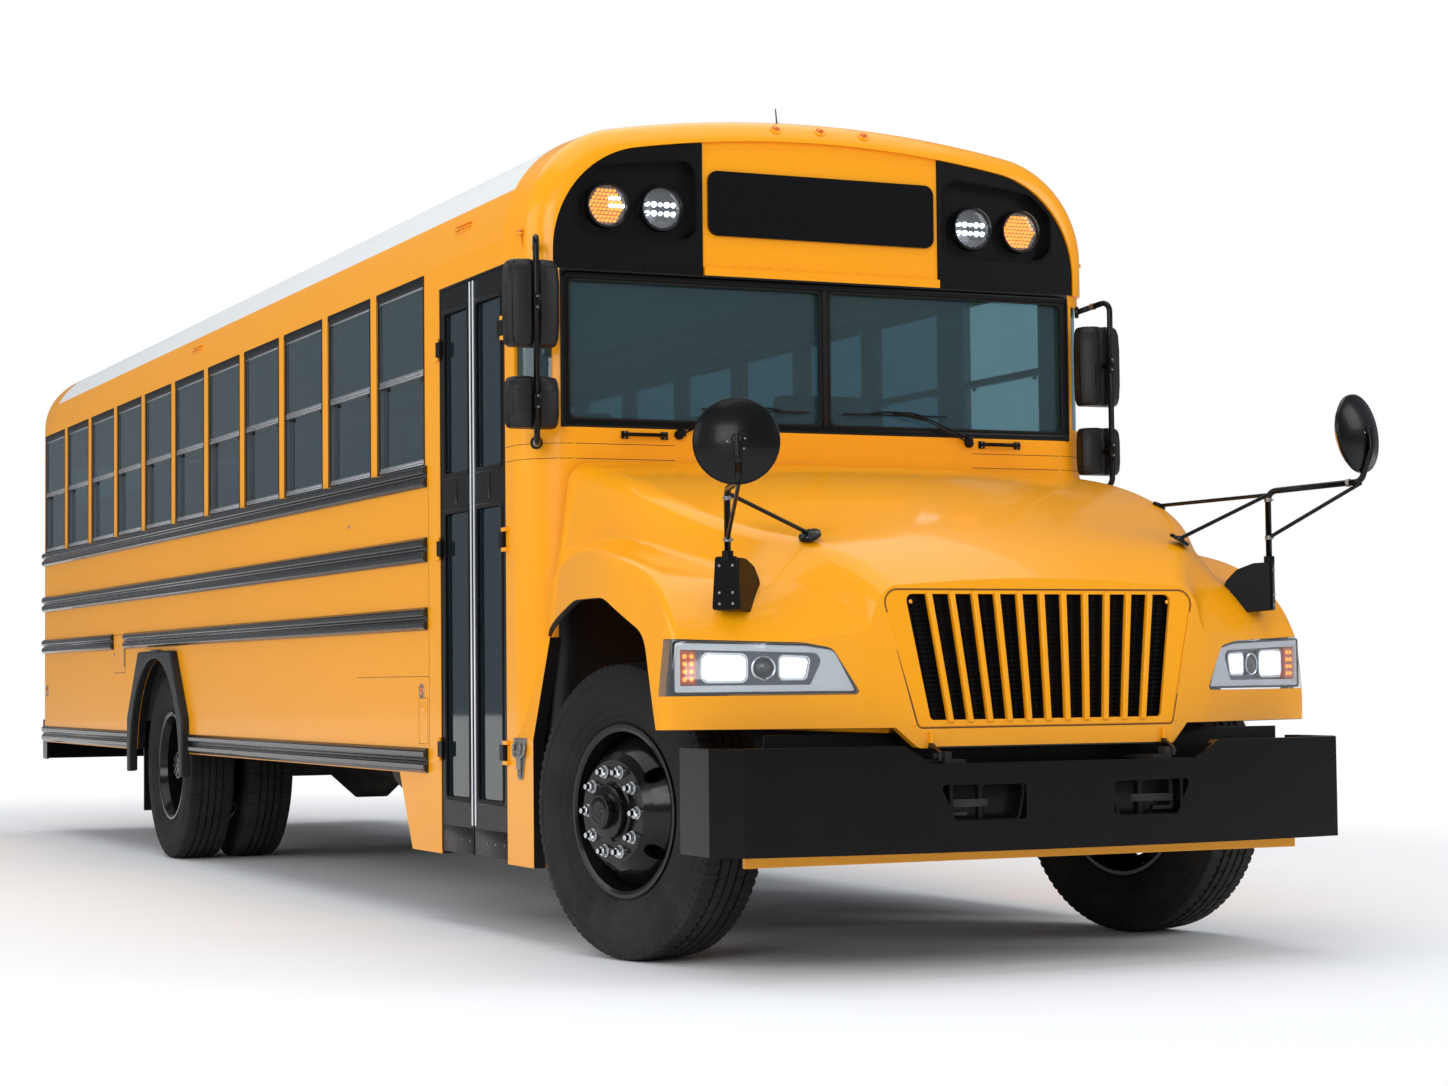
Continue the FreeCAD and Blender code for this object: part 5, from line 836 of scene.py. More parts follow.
def lamp_cover(side):
    """The outer skin of the lamp's own solid, as a thin clear shell."""
    bm = copied("headlamps")
    bmesh.ops.delete(bm, geom=[v for v in bm.verts if v.co.x * side < 0], context="VERTS")
    bmesh.ops.recalc_face_normals(bm, faces=bm.faces)
    out = Vector((side * LAMP_OUT[0], LAMP_OUT[1], 0.0))
    bmesh.ops.delete(bm, geom=[f for f in bm.faces if f.normal.dot(out) < 0.30], context="FACES")
    bmesh.ops.solidify(bm, geom=list(bm.faces), thickness=0.003)
    return bm


def headlamp(side, tag):
    """Cover, seal, bezel, ribbed reflector, two lit units, a projector and the turn lamp."""
    lamp_piece("cover", tag, lamp_cover(side), clear_glass, smooth=30, doubles=0)

    edge = rounded([(9, 919), (84, 1064), (182, 1080), (612, 1094), (612, 919)], [12, 40, 60, 14, 14], 8)
    bezel = shrunk(edge, 7)
    chamber = rounded([(160, 940), (112, 1040), (150, 1058), (594, 1072), (594, 940)], [10, 36, 40, 10, 10],
                      8)
    bm = bmesh.new()
    band(bm, edge, bezel, lamp_place(side, 6), lamp_back(side, 40))
    lamp_piece("seal", tag, bm, rubber_black, "trim_black")
    # the bezel's near-white silver is partly a painted bright reflection
    bm = bmesh.new()
    band(bm, bezel, chamber, lamp_place(side, 9), lamp_back(side, 7))
    band(bm, chamber, shrunk(chamber, 7), lamp_place(side, 13), lamp_back(side, 34))
    soften(lamp_piece("bezel", tag, bm, silver_painted_sheen), 0.002)
    bm = bmesh.new()
    plate(bm, edge, lamp_place(side, 48), lamp_back(side, 6))
    for k in range(5):
        z = 958 + 22 * k
        rib = [(150, z), (150, z + 3), (588, z + 6), (588, z + 3)]
        plate(bm, rib, lamp_place(side, 40), lamp_back(side, 9))
    lamp_piece("reflector", tag, bm, smoked_silver)

    bm = bmesh.new()
    for outline in (rounded([(366, 955), (366, 1050), (520, 1056), (520, 955)], 24, 6),
                    rounded([(176, 962), (160, 1040), (268, 1046), (268, 962)], 18, 6)):
        band(bm, outline, shrunk(outline, 6), lamp_place(side, 22), lamp_back(side, 26))
    ring, axis = Vector(lamp_place(side, 20)(316, 1002)), Vector(lamp_back(side, 1))
    turned(bm, [(40, 26), (40, 0), (37, -2), (34, 0), (31, 14), (24, 20), (0, 21)], ring, axis, 40)
    lamp_piece("units", tag, bm, chrome)
    bm = bmesh.new()
    turned(bm, [(0, -4), (12, -3), (22, 2), (28, 9), (30, 15)], ring, axis, 32)
    lamp_piece("projector", tag, bm, dark_lens, doubles=1e-6)
    bm = bmesh.new()
    for outline in (rounded([(373, 962), (373, 1043), (513, 1049), (513, 962)], 20, 5),
                    rounded([(183, 969), (169, 1033), (262, 1039), (262, 969)], 14, 5)):
        plate(bm, outline, lamp_place(side, 34), lamp_back(side, 5))
    lamp_piece("diodes", tag, bm, lamp_glow)

    bm = bmesh.new()
    turn_lens = rounded([(534, 950), (534, 1060), (588, 1064), (588, 950)], 8, 4)
    plate(bm, turn_lens, lamp_place(side, 18), lamp_back(side, 24))
    soften(lamp_piece("turn_lens", tag, bm, amber_lens, "lamp_plastic"), 0.003)
    bm = bmesh.new()
    for i in range(2):
        for k in range(4):
            s, z = 550 + 22 * i, 968 + 25 * k
            rod(bm, lamp_place(side, 14)(s, z), lamp_place(side, 20)(s, z), 6, 8, sides=12)
    lamp_piece("turn_diodes", tag, bm, amber_glow, "lamp_plastic")


for side, tag in SIDES:
    headlamp(side, tag)


# ---- grille --------------------------------------------------------------------------------------
SLOT_LOW, SLOT_TOP, SLOT_LOW_HALF, SLOT_TOP_HALF = 828, 1240, 442, 512
BAR_COUNT, BAR_HALF = 11, 10.5
WIRE_ROWS, WIRE_COLUMNS = 26, 35


def nose_y(x, z, off=0.0):
    """The hood's face by the grille: it leans back, and its corners are cut back in plan."""
    plan = -1020 + max(0.0, abs(x) - 486) * 0.2857
    return max(-1030 + (z - 805) * 0.103, plan) + off


def on_nose(off):
    return lambda x, z: (x, nose_y(x, z, off), z)


def tapered_bar(bm, low_x, top_x, half, low_z, top_z, off, deep):
    """An upright bar that follows the hood's lean."""
    corners = ((low_x - half, low_z), (low_x + half, low_z), (top_x + half, top_z), (top_x - half, top_z))
    slab(bm, [(x, nose_y(0, z, off), z) for x, z in corners], (0, deep, 0))


bm = bmesh.new()
top_y, low_y = nose_y(566, 1238, 34), nose_y(476, 818, 36)
slab(bm, [(-566, top_y, 1238), (566, top_y, 1238), (476, low_y, 818), (-476, low_y, 818)], (0, 4, 0))
for k in range(WIRE_ROWS):
    z = 832 + 15.5 * k
    half = SLOT_LOW_HALF + (SLOT_TOP_HALF - SLOT_LOW_HALF) * (z - SLOT_LOW) / (SLOT_TOP - SLOT_LOW)
    block(bm, -half, half, nose_y(0, z, 26), nose_y(0, z, 34), z, z + 3)
for k in range(WIRE_COLUMNS):
    x = 28 * k - 476
    tapered_bar(bm, x * 0.93, x * 1.07, 1.2, 832, 1236, 27, 5)
piece("grille_screen", bm, "hood", satin_black, "trim_black")

bm = bmesh.new()
outline = rounded([(-490, 800), (490, 800), (605, 1258), (-605, 1258)], [24, 24, 48, 48], 8)
band(bm, outline, shrunk(outline, 5), on_nose(-0.5), (0, 1.5, 0))
piece("grille_seam", bm, "hood", line_dark, "trim_black")
# the panel round the slots, and its upright bars with rounded faces
bm = bmesh.new()
edge = rounded([(-484, 806), (484, 806), (598, 1252), (-598, 1252)], [20, 20, 45, 45], 8)
slots = rounded([(-SLOT_LOW_HALF, SLOT_LOW), (SLOT_LOW_HALF, SLOT_LOW), (SLOT_TOP_HALF, SLOT_TOP),
                 (-SLOT_TOP_HALF, SLOT_TOP)], [14, 14, 22, 22], 8)
band(bm, edge, slots, on_nose(0), (0, 16, 0))
soften(piece("grille_panel", bm, "hood", yellow_paint, "yellow_paint", replaces=("grille",)), 0.003, 3)
bm = bmesh.new()
for k in range(1, BAR_COUNT + 1):
    share = 2 * k / (BAR_COUNT + 1) - 1
    tapered_bar(bm, SLOT_LOW_HALF * share, SLOT_TOP_HALF * share, BAR_HALF, 818, 1248, -10, 24)
soften(piece("grille_bars", bm, "hood", yellow_paint, "yellow_paint", replaces=("grille",)), 0.0065, 4)
bm = bmesh.new()
for side, _ in SIDES:
    for k in range(2):
        rivet(bm, (side * (500 - 6 * k), nose_y(500, 840 + 370 * k), 815 + 400 * k), (0, -1, 0.1), 7, 3)
piece("grille_screws", bm, "hood", yellow_paint, "yellow_paint")


# ---- front cap: lamps, sign, markers -------------------------------------------------------------
WARNING = ("warning_lamps",)
RIM_FRONT_Y, DIODE_Y = 622, 636
LAMP_RIM = [(88, 36), (88, 4), (86, 0), (80, -1), (77, 2), (76, 22), (74, 36)]
LAMP_BOWL = [(0, 24), (60, 24), (76, 14)]
LAMP_GLASS = [(0, 0), (30, 0.6), (55, 2.4), (70, 5), (76, 8), (76, 10), (0, 4)]


def glint_rows(bm, bowl_bm, x):
    """The inner lamp's two rows of diodes, glowing white as a painted glint, and the studs round its bowl."""
    for row in (-18, 16):
        for i, r in enumerate((7, 9, 6, 9, 8)):
            dx = x - 52 + 26 * i
            rod(bm, (dx, DIODE_Y, LAMP_Z + row), (dx, DIODE_Y + 9, LAMP_Z + row), r, r + 2, sides=12)
    for a in range(18):
        w = 2 * math.pi * a / 18
        sx, sz = x + 64 * math.cos(w), LAMP_Z + 64 * math.sin(w)
        rod(bowl_bm, (sx, DIODE_Y - 2, sz), (sx, DIODE_Y + 10, sz), 4, 5, sides=8)


def amber_field(amber_bm, glint_bm, side, x):
    """The outer lamp's staggered amber diodes; a few on the door side glow white as a painted reflection."""
    for row in range(-4, 5):
        for i in range(-4, 5):
            dx, dz = 16 * i + 8 * (row % 2), 14 * row
            if math.hypot(dx, dz) > 68:
                continue
            # the diodes that glow white here are a painted reflection
            lit = side < 0 and dx > 12 and row in (0, 2)
            start, end = (x + dx, DIODE_Y, LAMP_Z + dz), (x + dx, DIODE_Y + 9, LAMP_Z + dz)
            rod(glint_bm if lit else amber_bm, start, end, 7 if lit else 5, 6.5, sides=10)


rims, glass, amber_dots, glint_dots, bowls = (bmesh.new() for _ in range(5))
for side, _ in SIDES:
    for x in LAMP_X:
        centre = (side * x, RIM_FRONT_Y, LAMP_Z)
        turned(rims, LAMP_RIM, centre, BACKWARDS, 48)
        turned(bowls, LAMP_BOWL, centre, BACKWARDS, 36)
        turned(glass, LAMP_GLASS, centre, BACKWARDS, 40)
        if x == LAMP_X[0]:
            glint_rows(glint_dots, bowls, side * x)
        else:
            amber_field(amber_dots, glint_dots, side, side * x)
piece("warning_lamp_rims", rims, "body", gloss_black, "black_paint", replaces=WARNING)
piece("warning_lamp_bowls", bowls, "body", dark_lens, "black_paint", replaces=WARNING, doubles=1e-6)
piece("warning_lamp_glass", glass, "body", clear_glass, "lamp_glass", replaces=WARNING, doubles=1e-6)
piece("warning_lamp_amber", amber_dots, "body", amber_glow, "lamp_plastic", replaces=WARNING)
# painted glints on the warning lamps' diodes
piece("warning_lamp_glints", glint_dots, "body", glint_glow, "lamp_plastic", replaces=WARNING)

TRAY = ((537, 2632), (1023, 2632), (1023, 2820), (923, 2900), (537, 2940))
bm = bmesh.new()
for side, _ in SIDES:
    tray = rounded([(side * x, z) for x, z in TRAY], [60, 80, 70, 70, 60], 8)
    band(bm, shrunk(tray, -9), shrunk(tray, 1), across_bus(609.5), (0, 4, 0))
piece("tray_lips", bm, "body", gloss_black, "black_paint")

sign = oblong(-486, 486, 2657, 2904, 40, 8)
bm = bmesh.new()
band(bm, sign, shrunk(sign, 9), across_bus(606.3), (0, 3, 0))
piece("sign_border", bm, "body", satin_black, "black_paint")
bm = bmesh.new()
plate(bm, shrunk(sign, 9), across_bus(607.4), (0, 1.5, 0))
piece("sign_glass", bm, "body", gloss_black, "black_paint")


# ---- rivets --------------------------------------------------------------------------------------
FIRST_RIVET_Y, RIVET_PITCH, RIVET_COUNT = 1850, 120, 67
ROOF_ROW_Z, SILL_ROW_Z, MIDDLE_ROW_Z, SKIRT_ROW_Z = 2668, 1738, 1436, 716


def side_rivets(bm, side):
    """Rows along the roof's edge, under the windows, on the skirt and on each window post."""
    def head(y, z, radius=4.5, high=2, tilt=0.0, x=HALF):
        rivet(bm, (side * x, y, z), (side, 0, tilt), radius, high)
    for k in range(11):
        head(770 + 96 * k, 2652, 5, 2.2, x=1219.2)
    for k in range(RIVET_COUNT):
        y = FIRST_RIVET_Y + RIVET_PITCH * k
        head(y, ROOF_ROW_Z, 5, 2.2, 0.05)
        if k % 2 == 0:
            head(y, SILL_ROW_Z)
            head(y, MIDDLE_ROW_Z)
            if abs(y - WHEELBASE) > 680:
                head(y, SKIRT_ROW_Z)
    for i in range(WINDOW_COUNT + 1):
        for z in range(1890, 2620, 142):
            head(FIRST_WINDOW_Y + WINDOW_PITCH * i, z)


bm = bmesh.new()
for k in range(13):
    x = 76 * k - 456
    rivet(bm, (x, 620, 2545), (0, -1, 0), 5, 2.5)
    rivet(bm, (x, 620, 3004 - x ** 2 / 16000), (0, -1, 0), 4, 1.5)
for side, _ in SIDES:
    side_rivets(bm, side)
piece("body_rivets", bm, "body", yellow_paint, "yellow_paint")
bm = bmesh.new()
for side, _ in SIDES:
    for k in range(6):
        rivet(bm, (side * (560 + 96 * k), 612, 2516), (0, -1, 0), 5, 3)
    for z in (2640, 2560, 2720):
        rivet(bm, (side * 1066, 612, z), (0, -1, 0), 4, 2)
piece("tray_rivets", bm, "body", satin_black, "black_paint")


# ---- marker lamps and antenna --------------------------------------------------------------------
bases, domes = bmesh.new(), bmesh.new()
for x in (-190, 0, 190):
    drop = x * x / 9800
    place, lean = (x, 630, 3089 - drop), (0, -0.74, 0.67)
    turned(bases, [(0, -3), (24, -3), (24, 3), (20, 6), (16, 6), (14, 3), (0, 3)], place, lean, 28)
    turned(domes, [(0, 12), (7, 11), (13, 7), (15, 3), (15, 1)], place, lean, 24)
    place, lean = (x, 870, 3132 - drop), (0, -0.1, 1)
    turned(bases, [(0, -6), (36, -6), (36, 2), (30, 6), (27, 6), (27, 3), (0, 3)], place, lean, 28)
    turned(domes, [(0, 20), (12, 19), (22, 13), (27, 5), (27, 3)], place, lean, 28)
for side, _ in SIDES:
    foot = Vector((side * 1203, 715, 2590))
    top = foot + Vector((side * 8, 0, 44))
    rod(bases, foot + Vector((0, 0, -8)), top, 6, 5, sides=12)
    turned(bases, [(0, -2), (15, -2), (16, 3), (13, 6), (0, 6)], top, UPWARDS, 24)
    turned(domes, [(0, 18), (7, 17), (12, 12), (13, 6), (13, 5)], top, UPWARDS, 24)
piece("marker_bases", bases, "body", yellow_paint, "yellow_paint", doubles=1e-6)
piece("marker_lenses", domes, "body", amber_lens, "lamp_plastic", doubles=1e-6)
bm = bmesh.new()
turned(bm, [(0, 10), (8, 9), (15, 3), (18, 0), (18, -4), (0, -4)], (-150, 700, 3118), UPWARDS, 20)
rod(bm, (-150, 700, 3110), (-152, 708, 3184), 3.2, 2.2, sides=8)
piece("antenna", bm, "body", trim_black, "trim_black")


# ---- side windows --------------------------------------------------------------------------------
DRIVER_WINDOW = (960, 1640)
CHANNEL = 24                # the width of the rubber runs at a window's two ends
VISOR = ((1213, 1), (1218.4, 1), (1218.4, 18), (1213, 38))      # out from the middle, down from the top
# each rail's face, and its low and top edge
WINDOW_RAILS = ((1217.2, SILL_Z + 3, SILL_Z + 14), (1216.2, SILL_Z + 14, SILL_Z + 25),
                (1217.6, MID_RAIL_Z - 13, MID_RAIL_Z - 3), (1216.4, MID_RAIL_Z - 1, MID_RAIL_Z + 13),
                (1216.0, WINDOW_TOP_Z - 46, WINDOW_TOP_Z - 38))


def window(side, y0, y1, channels, visors, rails, seals):
    """A two-part sliding window: runs at its ends, a visor, its rails, two finger pads and its rubber."""
    for a in (y0 + 1, y1 - 1 - CHANNEL):
        middle = a + CHANNEL / 2
        side_block(channels, side, 1212.6, 1216.4, a, a + CHANNEL, SILL_Z + 2, WINDOW_TOP_Z - 2, 1.2)
        side_block(channels, side, 1216, 1217.4, middle - 4, middle + 4, SILL_Z + 4, WINDOW_TOP_Z - 36, 0.5)
    slab(visors, [(side * x, y0 + 1, WINDOW_TOP_Z - drop) for x, drop in VISOR], (0, y1 - y0 - 2, 0))
    for out, low, high in WINDOW_RAILS:
        side_block(rails, side, 1212.8, out, y0 + 1 + CHANNEL, y1 - 1 - CHANNEL, low, high, 1)
    for a in (y0 + 70, y1 - 100):
        side_block(seals, side, 1196.5, 1203, a, a + 30, MID_RAIL_Z - 30, MID_RAIL_Z - 16, 2)
    low, high = SILL_Z - 3, WINDOW_TOP_Z + 4
    opening = [(y0 - 4, low), (y1 + 4, low), (y1 + 4, high), (y0 - 4, high)]
    inner = rounded(shrunk(opening, 5), 3, 3)
    band(seals, rounded(opening, 6, 3), inner, along_bus(side * 1218.6), (side * 1.4, 0, 0))


window_bms = [bmesh.new() for _ in range(4)]
for side, _ in SIDES:
    for i in range(WINDOW_COUNT):
        post_y = FIRST_WINDOW_Y + WINDOW_PITCH * i
        window(side, post_y + PILLAR / 2, post_y + WINDOW_PITCH - PILLAR / 2, *window_bms)
    if side > 0:
        window(side, *DRIVER_WINDOW, *window_bms)
for bm, (name, material, slot) in zip(window_bms, (("window_channels", rubber_black, "trim_black"),
                                                   ("window_visors", satin_black, "black_paint"),
                                                   ("window_rails", bright_alloy, "alloy_frame"),
                                                   ("window_seals", rubber_black, "trim_black"))):
    piece(name, bm, "body", material, slot)


# ---- windscreen ----------------------------------------------------------------------------------
GLASS_IN, GLASS_OUT, GLASS_LOW, GLASS_TOP = 14, 1066, 1936, 2464
bm = bmesh.new()
for side, _ in SIDES:
    glass = oblong(side * GLASS_IN, side * GLASS_OUT, GLASS_LOW, GLASS_TOP, 30, 6)
    band(bm, glass, shrunk(glass, 9), across_bus(604), (0, 5, 0))
surround = oblong(-GLASS_OUT - 27, GLASS_OUT + 27, GLASS_LOW - 27, GLASS_TOP + 27, 30, 6)
band(bm, surround, shrunk(surround, 7), across_bus(602), (0, 7, 0))
block(bm, -11, 11, 601.5, 610, GLASS_LOW, GLASS_TOP, 2)
soften(piece("windscreen_rubber", bm, "body", rubber_black, "trim_black"), 0.001)
bm = bmesh.new()
block(bm, -1092, 1092, 602, 609, GLASS_TOP + 2, GLASS_TOP + 28, 2)
block(bm, -1092, 1092, 603, 609, GLASS_LOW - 28, GLASS_LOW - 4, 2)
piece("windscreen_bands", bm, "body", satin_black, "trim_black")


# ---- crossview mirrors on the hood ---------------------------------------------------------------
CROSSVIEW = ("crossview_mirrors",)
# side, the dish's middle and the way it looks, the post's top, where its bar bends, and a second stay's foot
CROSS_MIRRORS = ((-1, (-1140, -1045, 1717), (-0.42, -0.9, 0.05), 1585, (-1144, -1070, 1591), None),
                 (1, (1222, -1081, 1800), (0.40, -0.88, 0.10), 1615, (1226, -1106, 1633), (1000, -180, 1600)))
POST, STAY_DISC = (1058, -790), (727, -722, 1442)
DISH_R, DISH_SET_BACK = 260, 205        # the ball that a dish is cut from, and where its middle lies
KNOB_BACK, STAY_DROP = 54, 165
PLATE_TURN = math.radians(50)


def dish_back(r):
    """How far a dish's back stands behind its rim's plane at a radius."""
    return math.sqrt(DISH_R ** 2 - r * r) - DISH_SET_BACK


def cross_dish(backs, glasses, c, n):
    """A domed housing with a rolled rim and the knob it turns on, and its bulging glass."""
    row = [(0, 55)] + [(r, dish_back(r)) for r in range(20, 134, 10)]
    row += [(134, 17.5), (136.5, 18.5), (139, 16), (139.4, 10), (138.5, 3), (134, 0), (128, 0)]
    turned(backs, row, c, n, 72)
    turned(glasses, [(0, -42), (34, -40), (68, -34), (98, -24), (120, -12), (131, -2), (131, 3)], c, n, 64)
    knob = c + n * KNOB_BACK + Vector((0, -3, 2))
    turned(backs, [(0, 12), (12, 12), (17, 7), (18, 0), (18, -8)], knob, n, 20)


def dish_screws(clamps, c, n):
    for dx, dz in ((-30, -6), (30, 2), (26, -30)):
        q = Vector((dx, 0, dz))
        q = q - n * q.dot(n)
        screw(clamps, c + q + n * dish_back(q.length), n, 4, 2.5)


def cross_stays(bars, backs, clamps, side, top, bend, hub, stay_end):
    """The post with its arm, the lower stay, and one or two stays down to pads on the hood."""
    foot = top - Vector((0, 0, 12))
    low = top - Vector((0, 0, STAY_DROP))
    arm_end = (hub + Vector((0, -12, -62)), hub + Vector((0, -6, 16)))
    bent(bars, [(top.x, top.y, 1250), top, bend, *arm_end], 11, 34)
    rod(bars, low, bend - Vector((0, 0, 5)), 7)
    disc = Vector((side * STAY_DISC[0], STAY_DISC[1], STAY_DISC[2]))
    rod(bars, foot, disc + Vector((side * 8, 0, 8)), 7)
    up = Vector((side * 0.45, -0.35, 0.9)).normalized()
    turned(backs, [(0, 14), (10, 13), (16, 8), (34, 7), (38, 4), (38, -6), (0, -6)], disc, up, 32)
    level = up.orthogonal().normalized()
    for k in range(4):
        spoke = Matrix.Rotation(math.pi / 2 * k, 3, up) @ level * 28
        screw(clamps, disc + spoke + up * 7, up, 3.5, 2)
    if stay_end:
        rod(bars, foot, stay_end, 7)
        turned(backs, [(0, 10), (8, 9), (12, 6), (24, 5), (26, 2), (26, -6), (0, -6)], stay_end,
               Vector((side * 0.5, -0.2, 0.85)), 28)
    for place in (top - Vector((0, 0, 30)), low):
        collar(clamps, place, UPWARDS, 14, 13)
        rod(clamps, place + Vector((-17, -6, 0)), place + Vector((17, -6, 0)), 3.5, sides=8)
    collar(clamps, bend + (top - bend).normalized() * 48, top - bend, 14, 13)


def cross_bracket(brackets, clamps, side, post):
    """A tapered plate turned outwards with six screws, and a rounded cheek that meets the fender."""
    s, c = math.sin(PLATE_TURN), math.cos(PLATE_TURN)
    out, along = Vector((side * s, -c, 0)), Vector((side * c, s, 0))

    def mount(u, z, deep=-15):
        return Vector((post.x, post.y, z)) + along * u - out * deep
    face = rounded([(-40, 1366), (40, 1366), (52, 1192), (-52, 1192)], 9, 4)
    slab(brackets, [mount(*p) for p in face], -out * 7)
    cheek = rounded([(-8, 1192), (-8, 1362), (52, 1360), (112, 1338), (152, 1296), (168, 1244), (168, 1180)],
                    [0, 10, 50, 50, 40, 30, 0], 5)
    slab(brackets, [mount(-43, z, deep) for deep, z in cheek], along * 86)
    collar(brackets, (post.x, post.y, 1368), UPWARDS, 19, 34)
    for u in (-24, 24):
        for z in (1336, 1248, 1212):
            screw(clamps, mount(u, z), out, 5.5, 3)


backs, bars, clamps, glasses, brackets = (bmesh.new() for _ in range(5))
for side, centre, look, top_z, bend, stay_end in CROSS_MIRRORS:
    n, c, top = Vector(look).normalized(), Vector(centre), Vector((side * POST[0], POST[1], top_z))
    cross_dish(backs, glasses, c, n)
    cross_stays(bars, backs, clamps, side, top, Vector(bend), c + n * KNOB_BACK, stay_end)
    dish_screws(clamps, c, n)
    cross_bracket(brackets, clamps, side, top)
for name, bm, material, slot, smooth in (("backs", backs, black_paint, "trim_black", 40),
                                         ("bars", bars, black_paint, "trim_black", 40),
                                         ("clamps", clamps, steel, "steel", 40),
                                         ("glasses", glasses, chrome, "lamp_glass", 50)):
    piece("crossview_" + name, bm, "hood", material, slot, smooth=smooth, replaces=CROSSVIEW, doubles=1e-6)
made = piece("crossview_brackets", brackets, "hood", satin_black, "trim_black", smooth=32, replaces=CROSSVIEW)
soften(made, 0.006, 3)


# ---- side mirrors --------------------------------------------------------------------------------
MIRRORS = ("side_mirrors",)
# side, the bar's x, y and top, the heads' x and y, the heights of the large and the small head, their width
SIDE_MIRRORS = ((-1, 1235, 485, 2600, 1235, 525, 2350, 1985, 210),
                (1, 1226, 500, 2470, 1217, 572, 2211, 1867, 190))


def mirror_head(bm, glass_bm, x, y, z, w, h, d):
    """A housing of two full cheeks with a channel for the bar between them, and the glass behind."""
    w, d = w / 2 - 1, d / 2 - 1
    half = [(w, -d * 0.15), (w - 16, -d * 0.62), (w * 0.45, -d), (17, -d * 0.96), (13, -d + 18)]
    plan = [(-w, d), (w, d)] + half + [(-px, py) for px, py in reversed(half)]
    levels = [(0.0, 0.80), (0.03, 0.90), (0.10, 0.965), (0.28, 1.0), (0.72, 1.0), (0.90, 0.965), (0.97, 0.90),
              (1.0, 0.80)]

    def ring(share, scale):
        return [at(x + px * scale, y + (py - d) * scale + d, z - h / 2 + h * share) for px, py in plan]
    face = bm.faces.new([bm.verts.new(p) for p in ring(*levels[0])])
    for level in levels[1:]:
        grown = bmesh.ops.extrude_face_region(bm, geom=[face])["geom"]
        face = next(g for g in grown if isinstance(g, bmesh.types.BMFace))
        for v, p in zip(face.verts, ring(*level)):
            v.co = p
    glass = oblong(x - w + 9, x + w - 9, z - h / 2 + 12, z + h / 2 - 12, 24, 5)
    plate(glass_bm, glass, across_bus(y + d - 0.5), (0, 2, 0))


heads, glasses, bars, clamps = (bmesh.new() for _ in range(4))
for side, x, y, top, head_x, head_y, big, small, wide in SIDE_MIRRORS:
    px, hx = side * x, side * head_x
    foot_z, root_x, root_y = small - 150, side * (HALF - 48), COWL_Y + 62
    mirror_head(heads, glasses, hx, head_y, big, wide, 320, 90)
    mirror_head(heads, glasses, hx, head_y, small, wide - 8, 190, 80)
    bent(bars, [(root_x, root_y, top - 30), (px, y, top), (px, y, foot_z), (root_x, root_y, foot_z + 15)],
         11.5, 36, 18)
    for z in (big, small):
        rod(bars, (px, y, z), (px, head_y, z), 10)
        block(bars, px - 12, px + 12, y - 13, y + 13, z - 30, z + 30, 4)
        for dz in (-20, 20):
            screw(clamps, (px, y - 13, z + dz), (0, -1, 0), 4, 2.5)
    for bar_z, root_z in ((top, top - 30), (foot_z, foot_z + 15)):
        halfway = ((px + root_x) / 2, (y + root_y) / 2, (bar_z + root_z) / 2)
        collar(bars, (root_x, root_y, root_z), (side * 0.8, -0.6, 0), 24, 14)
        collar(clamps, halfway, (root_x - px, root_y - y, 0), 14, 18)
made = piece("side_mirror_heads", heads, "body", trim_black, "trim_black", smooth=30, replaces=MIRRORS)
soften(made, 0.006, 3, 28)
piece("side_mirror_glasses", glasses, "body", chrome, "lamp_glass", replaces=MIRRORS)
piece("side_mirror_bars", bars, "body", black_paint, "trim_black", smooth=40, replaces=MIRRORS, doubles=1e-6)
piece("side_mirror_clamps", clamps, "body", steel, "steel", smooth=40, replaces=MIRRORS, doubles=1e-6)


# ---- wipers, grab handles, stop arm's bracket ----------------------------------------------------
FITTINGS = ("body_fittings",)
WIPER_X, WIPER_TIP_X = 624, 300
HANDLE_IN, HANDLE_OUT, HANDLE_Z = 683, 844, 1883


def wiper(arms, blades, side):
    """A pivot with two parallel arms, their clip and the blade."""
    x, tip = side * WIPER_X, side * WIPER_TIP_X
    turned(arms, [(0, -6), (14, -5), (18, 0), (18, 14)], (x, 586, 1888), BACKWARDS, 24)
    for dz in (0, 16):
        bent(arms, [(x - side * 6, 583, 1890 + dz), (x - side * 90, 579, 1925 + dz),
                    (x - side * 190, 580, 1968 + dz * 0.6), (tip, 584, 1995)], 3.6, 60, 8)
    middle = x - side * 6
    block(arms, middle - 18, middle + 18, 578, 590, 1882, 1914, 4)
    bow = [(tip - 110, 598, 1992), (tip - 60, 588, 1999), (tip + 60, 588, 1999), (tip + 110, 598, 1992)]
    bent(arms, bow, 4, 30, 8)
    block(blades, tip - 228, tip + 228, 596, 602, 1986, 1993, 1.5)
    block(blades, tip - 222, tip + 222, 601, 616, 1987.5, 1990.5, 0.8)
    block(arms, tip - 12, tip + 12, 584, 600, 1984, 2004, 3)


arms, blades = bmesh.new(), bmesh.new()
for side, _ in SIDES:
    wiper(arms, blades, side)
piece("wiper_arms", arms, "body", satin_black, "trim_black", smooth=40, replaces=FITTINGS, doubles=1e-6)
piece("wiper_blades", blades, "body", rubber_black, "trim_black", replaces=FITTINGS)
bm, screws = bmesh.new(), bmesh.new()
for side, _ in SIDES:
    a, b = side * HANDLE_IN, side * HANDLE_OUT
    bent(bm, [(a, 598, HANDLE_Z), (a, 572, HANDLE_Z), (b, 572, HANDLE_Z), (b, 598, HANDLE_Z)], 7.5, 14, 12)
    for x in (a, b):
        block(bm, x - 15, x + 15, 594, 599.6, HANDLE_Z - 15, HANDLE_Z + 15, 3)
        for dz in (-9, 9):
            screw(screws, (x, 594, HANDLE_Z + dz), (0, -1, 0), 3.5, 2)
soften(piece("grab_handles", bm, "body", satin_black, "trim_black", smooth=40, replaces=FITTINGS), 0.001)
piece("grab_handle_screws", screws, "body", steel, "steel", replaces=FITTINGS)

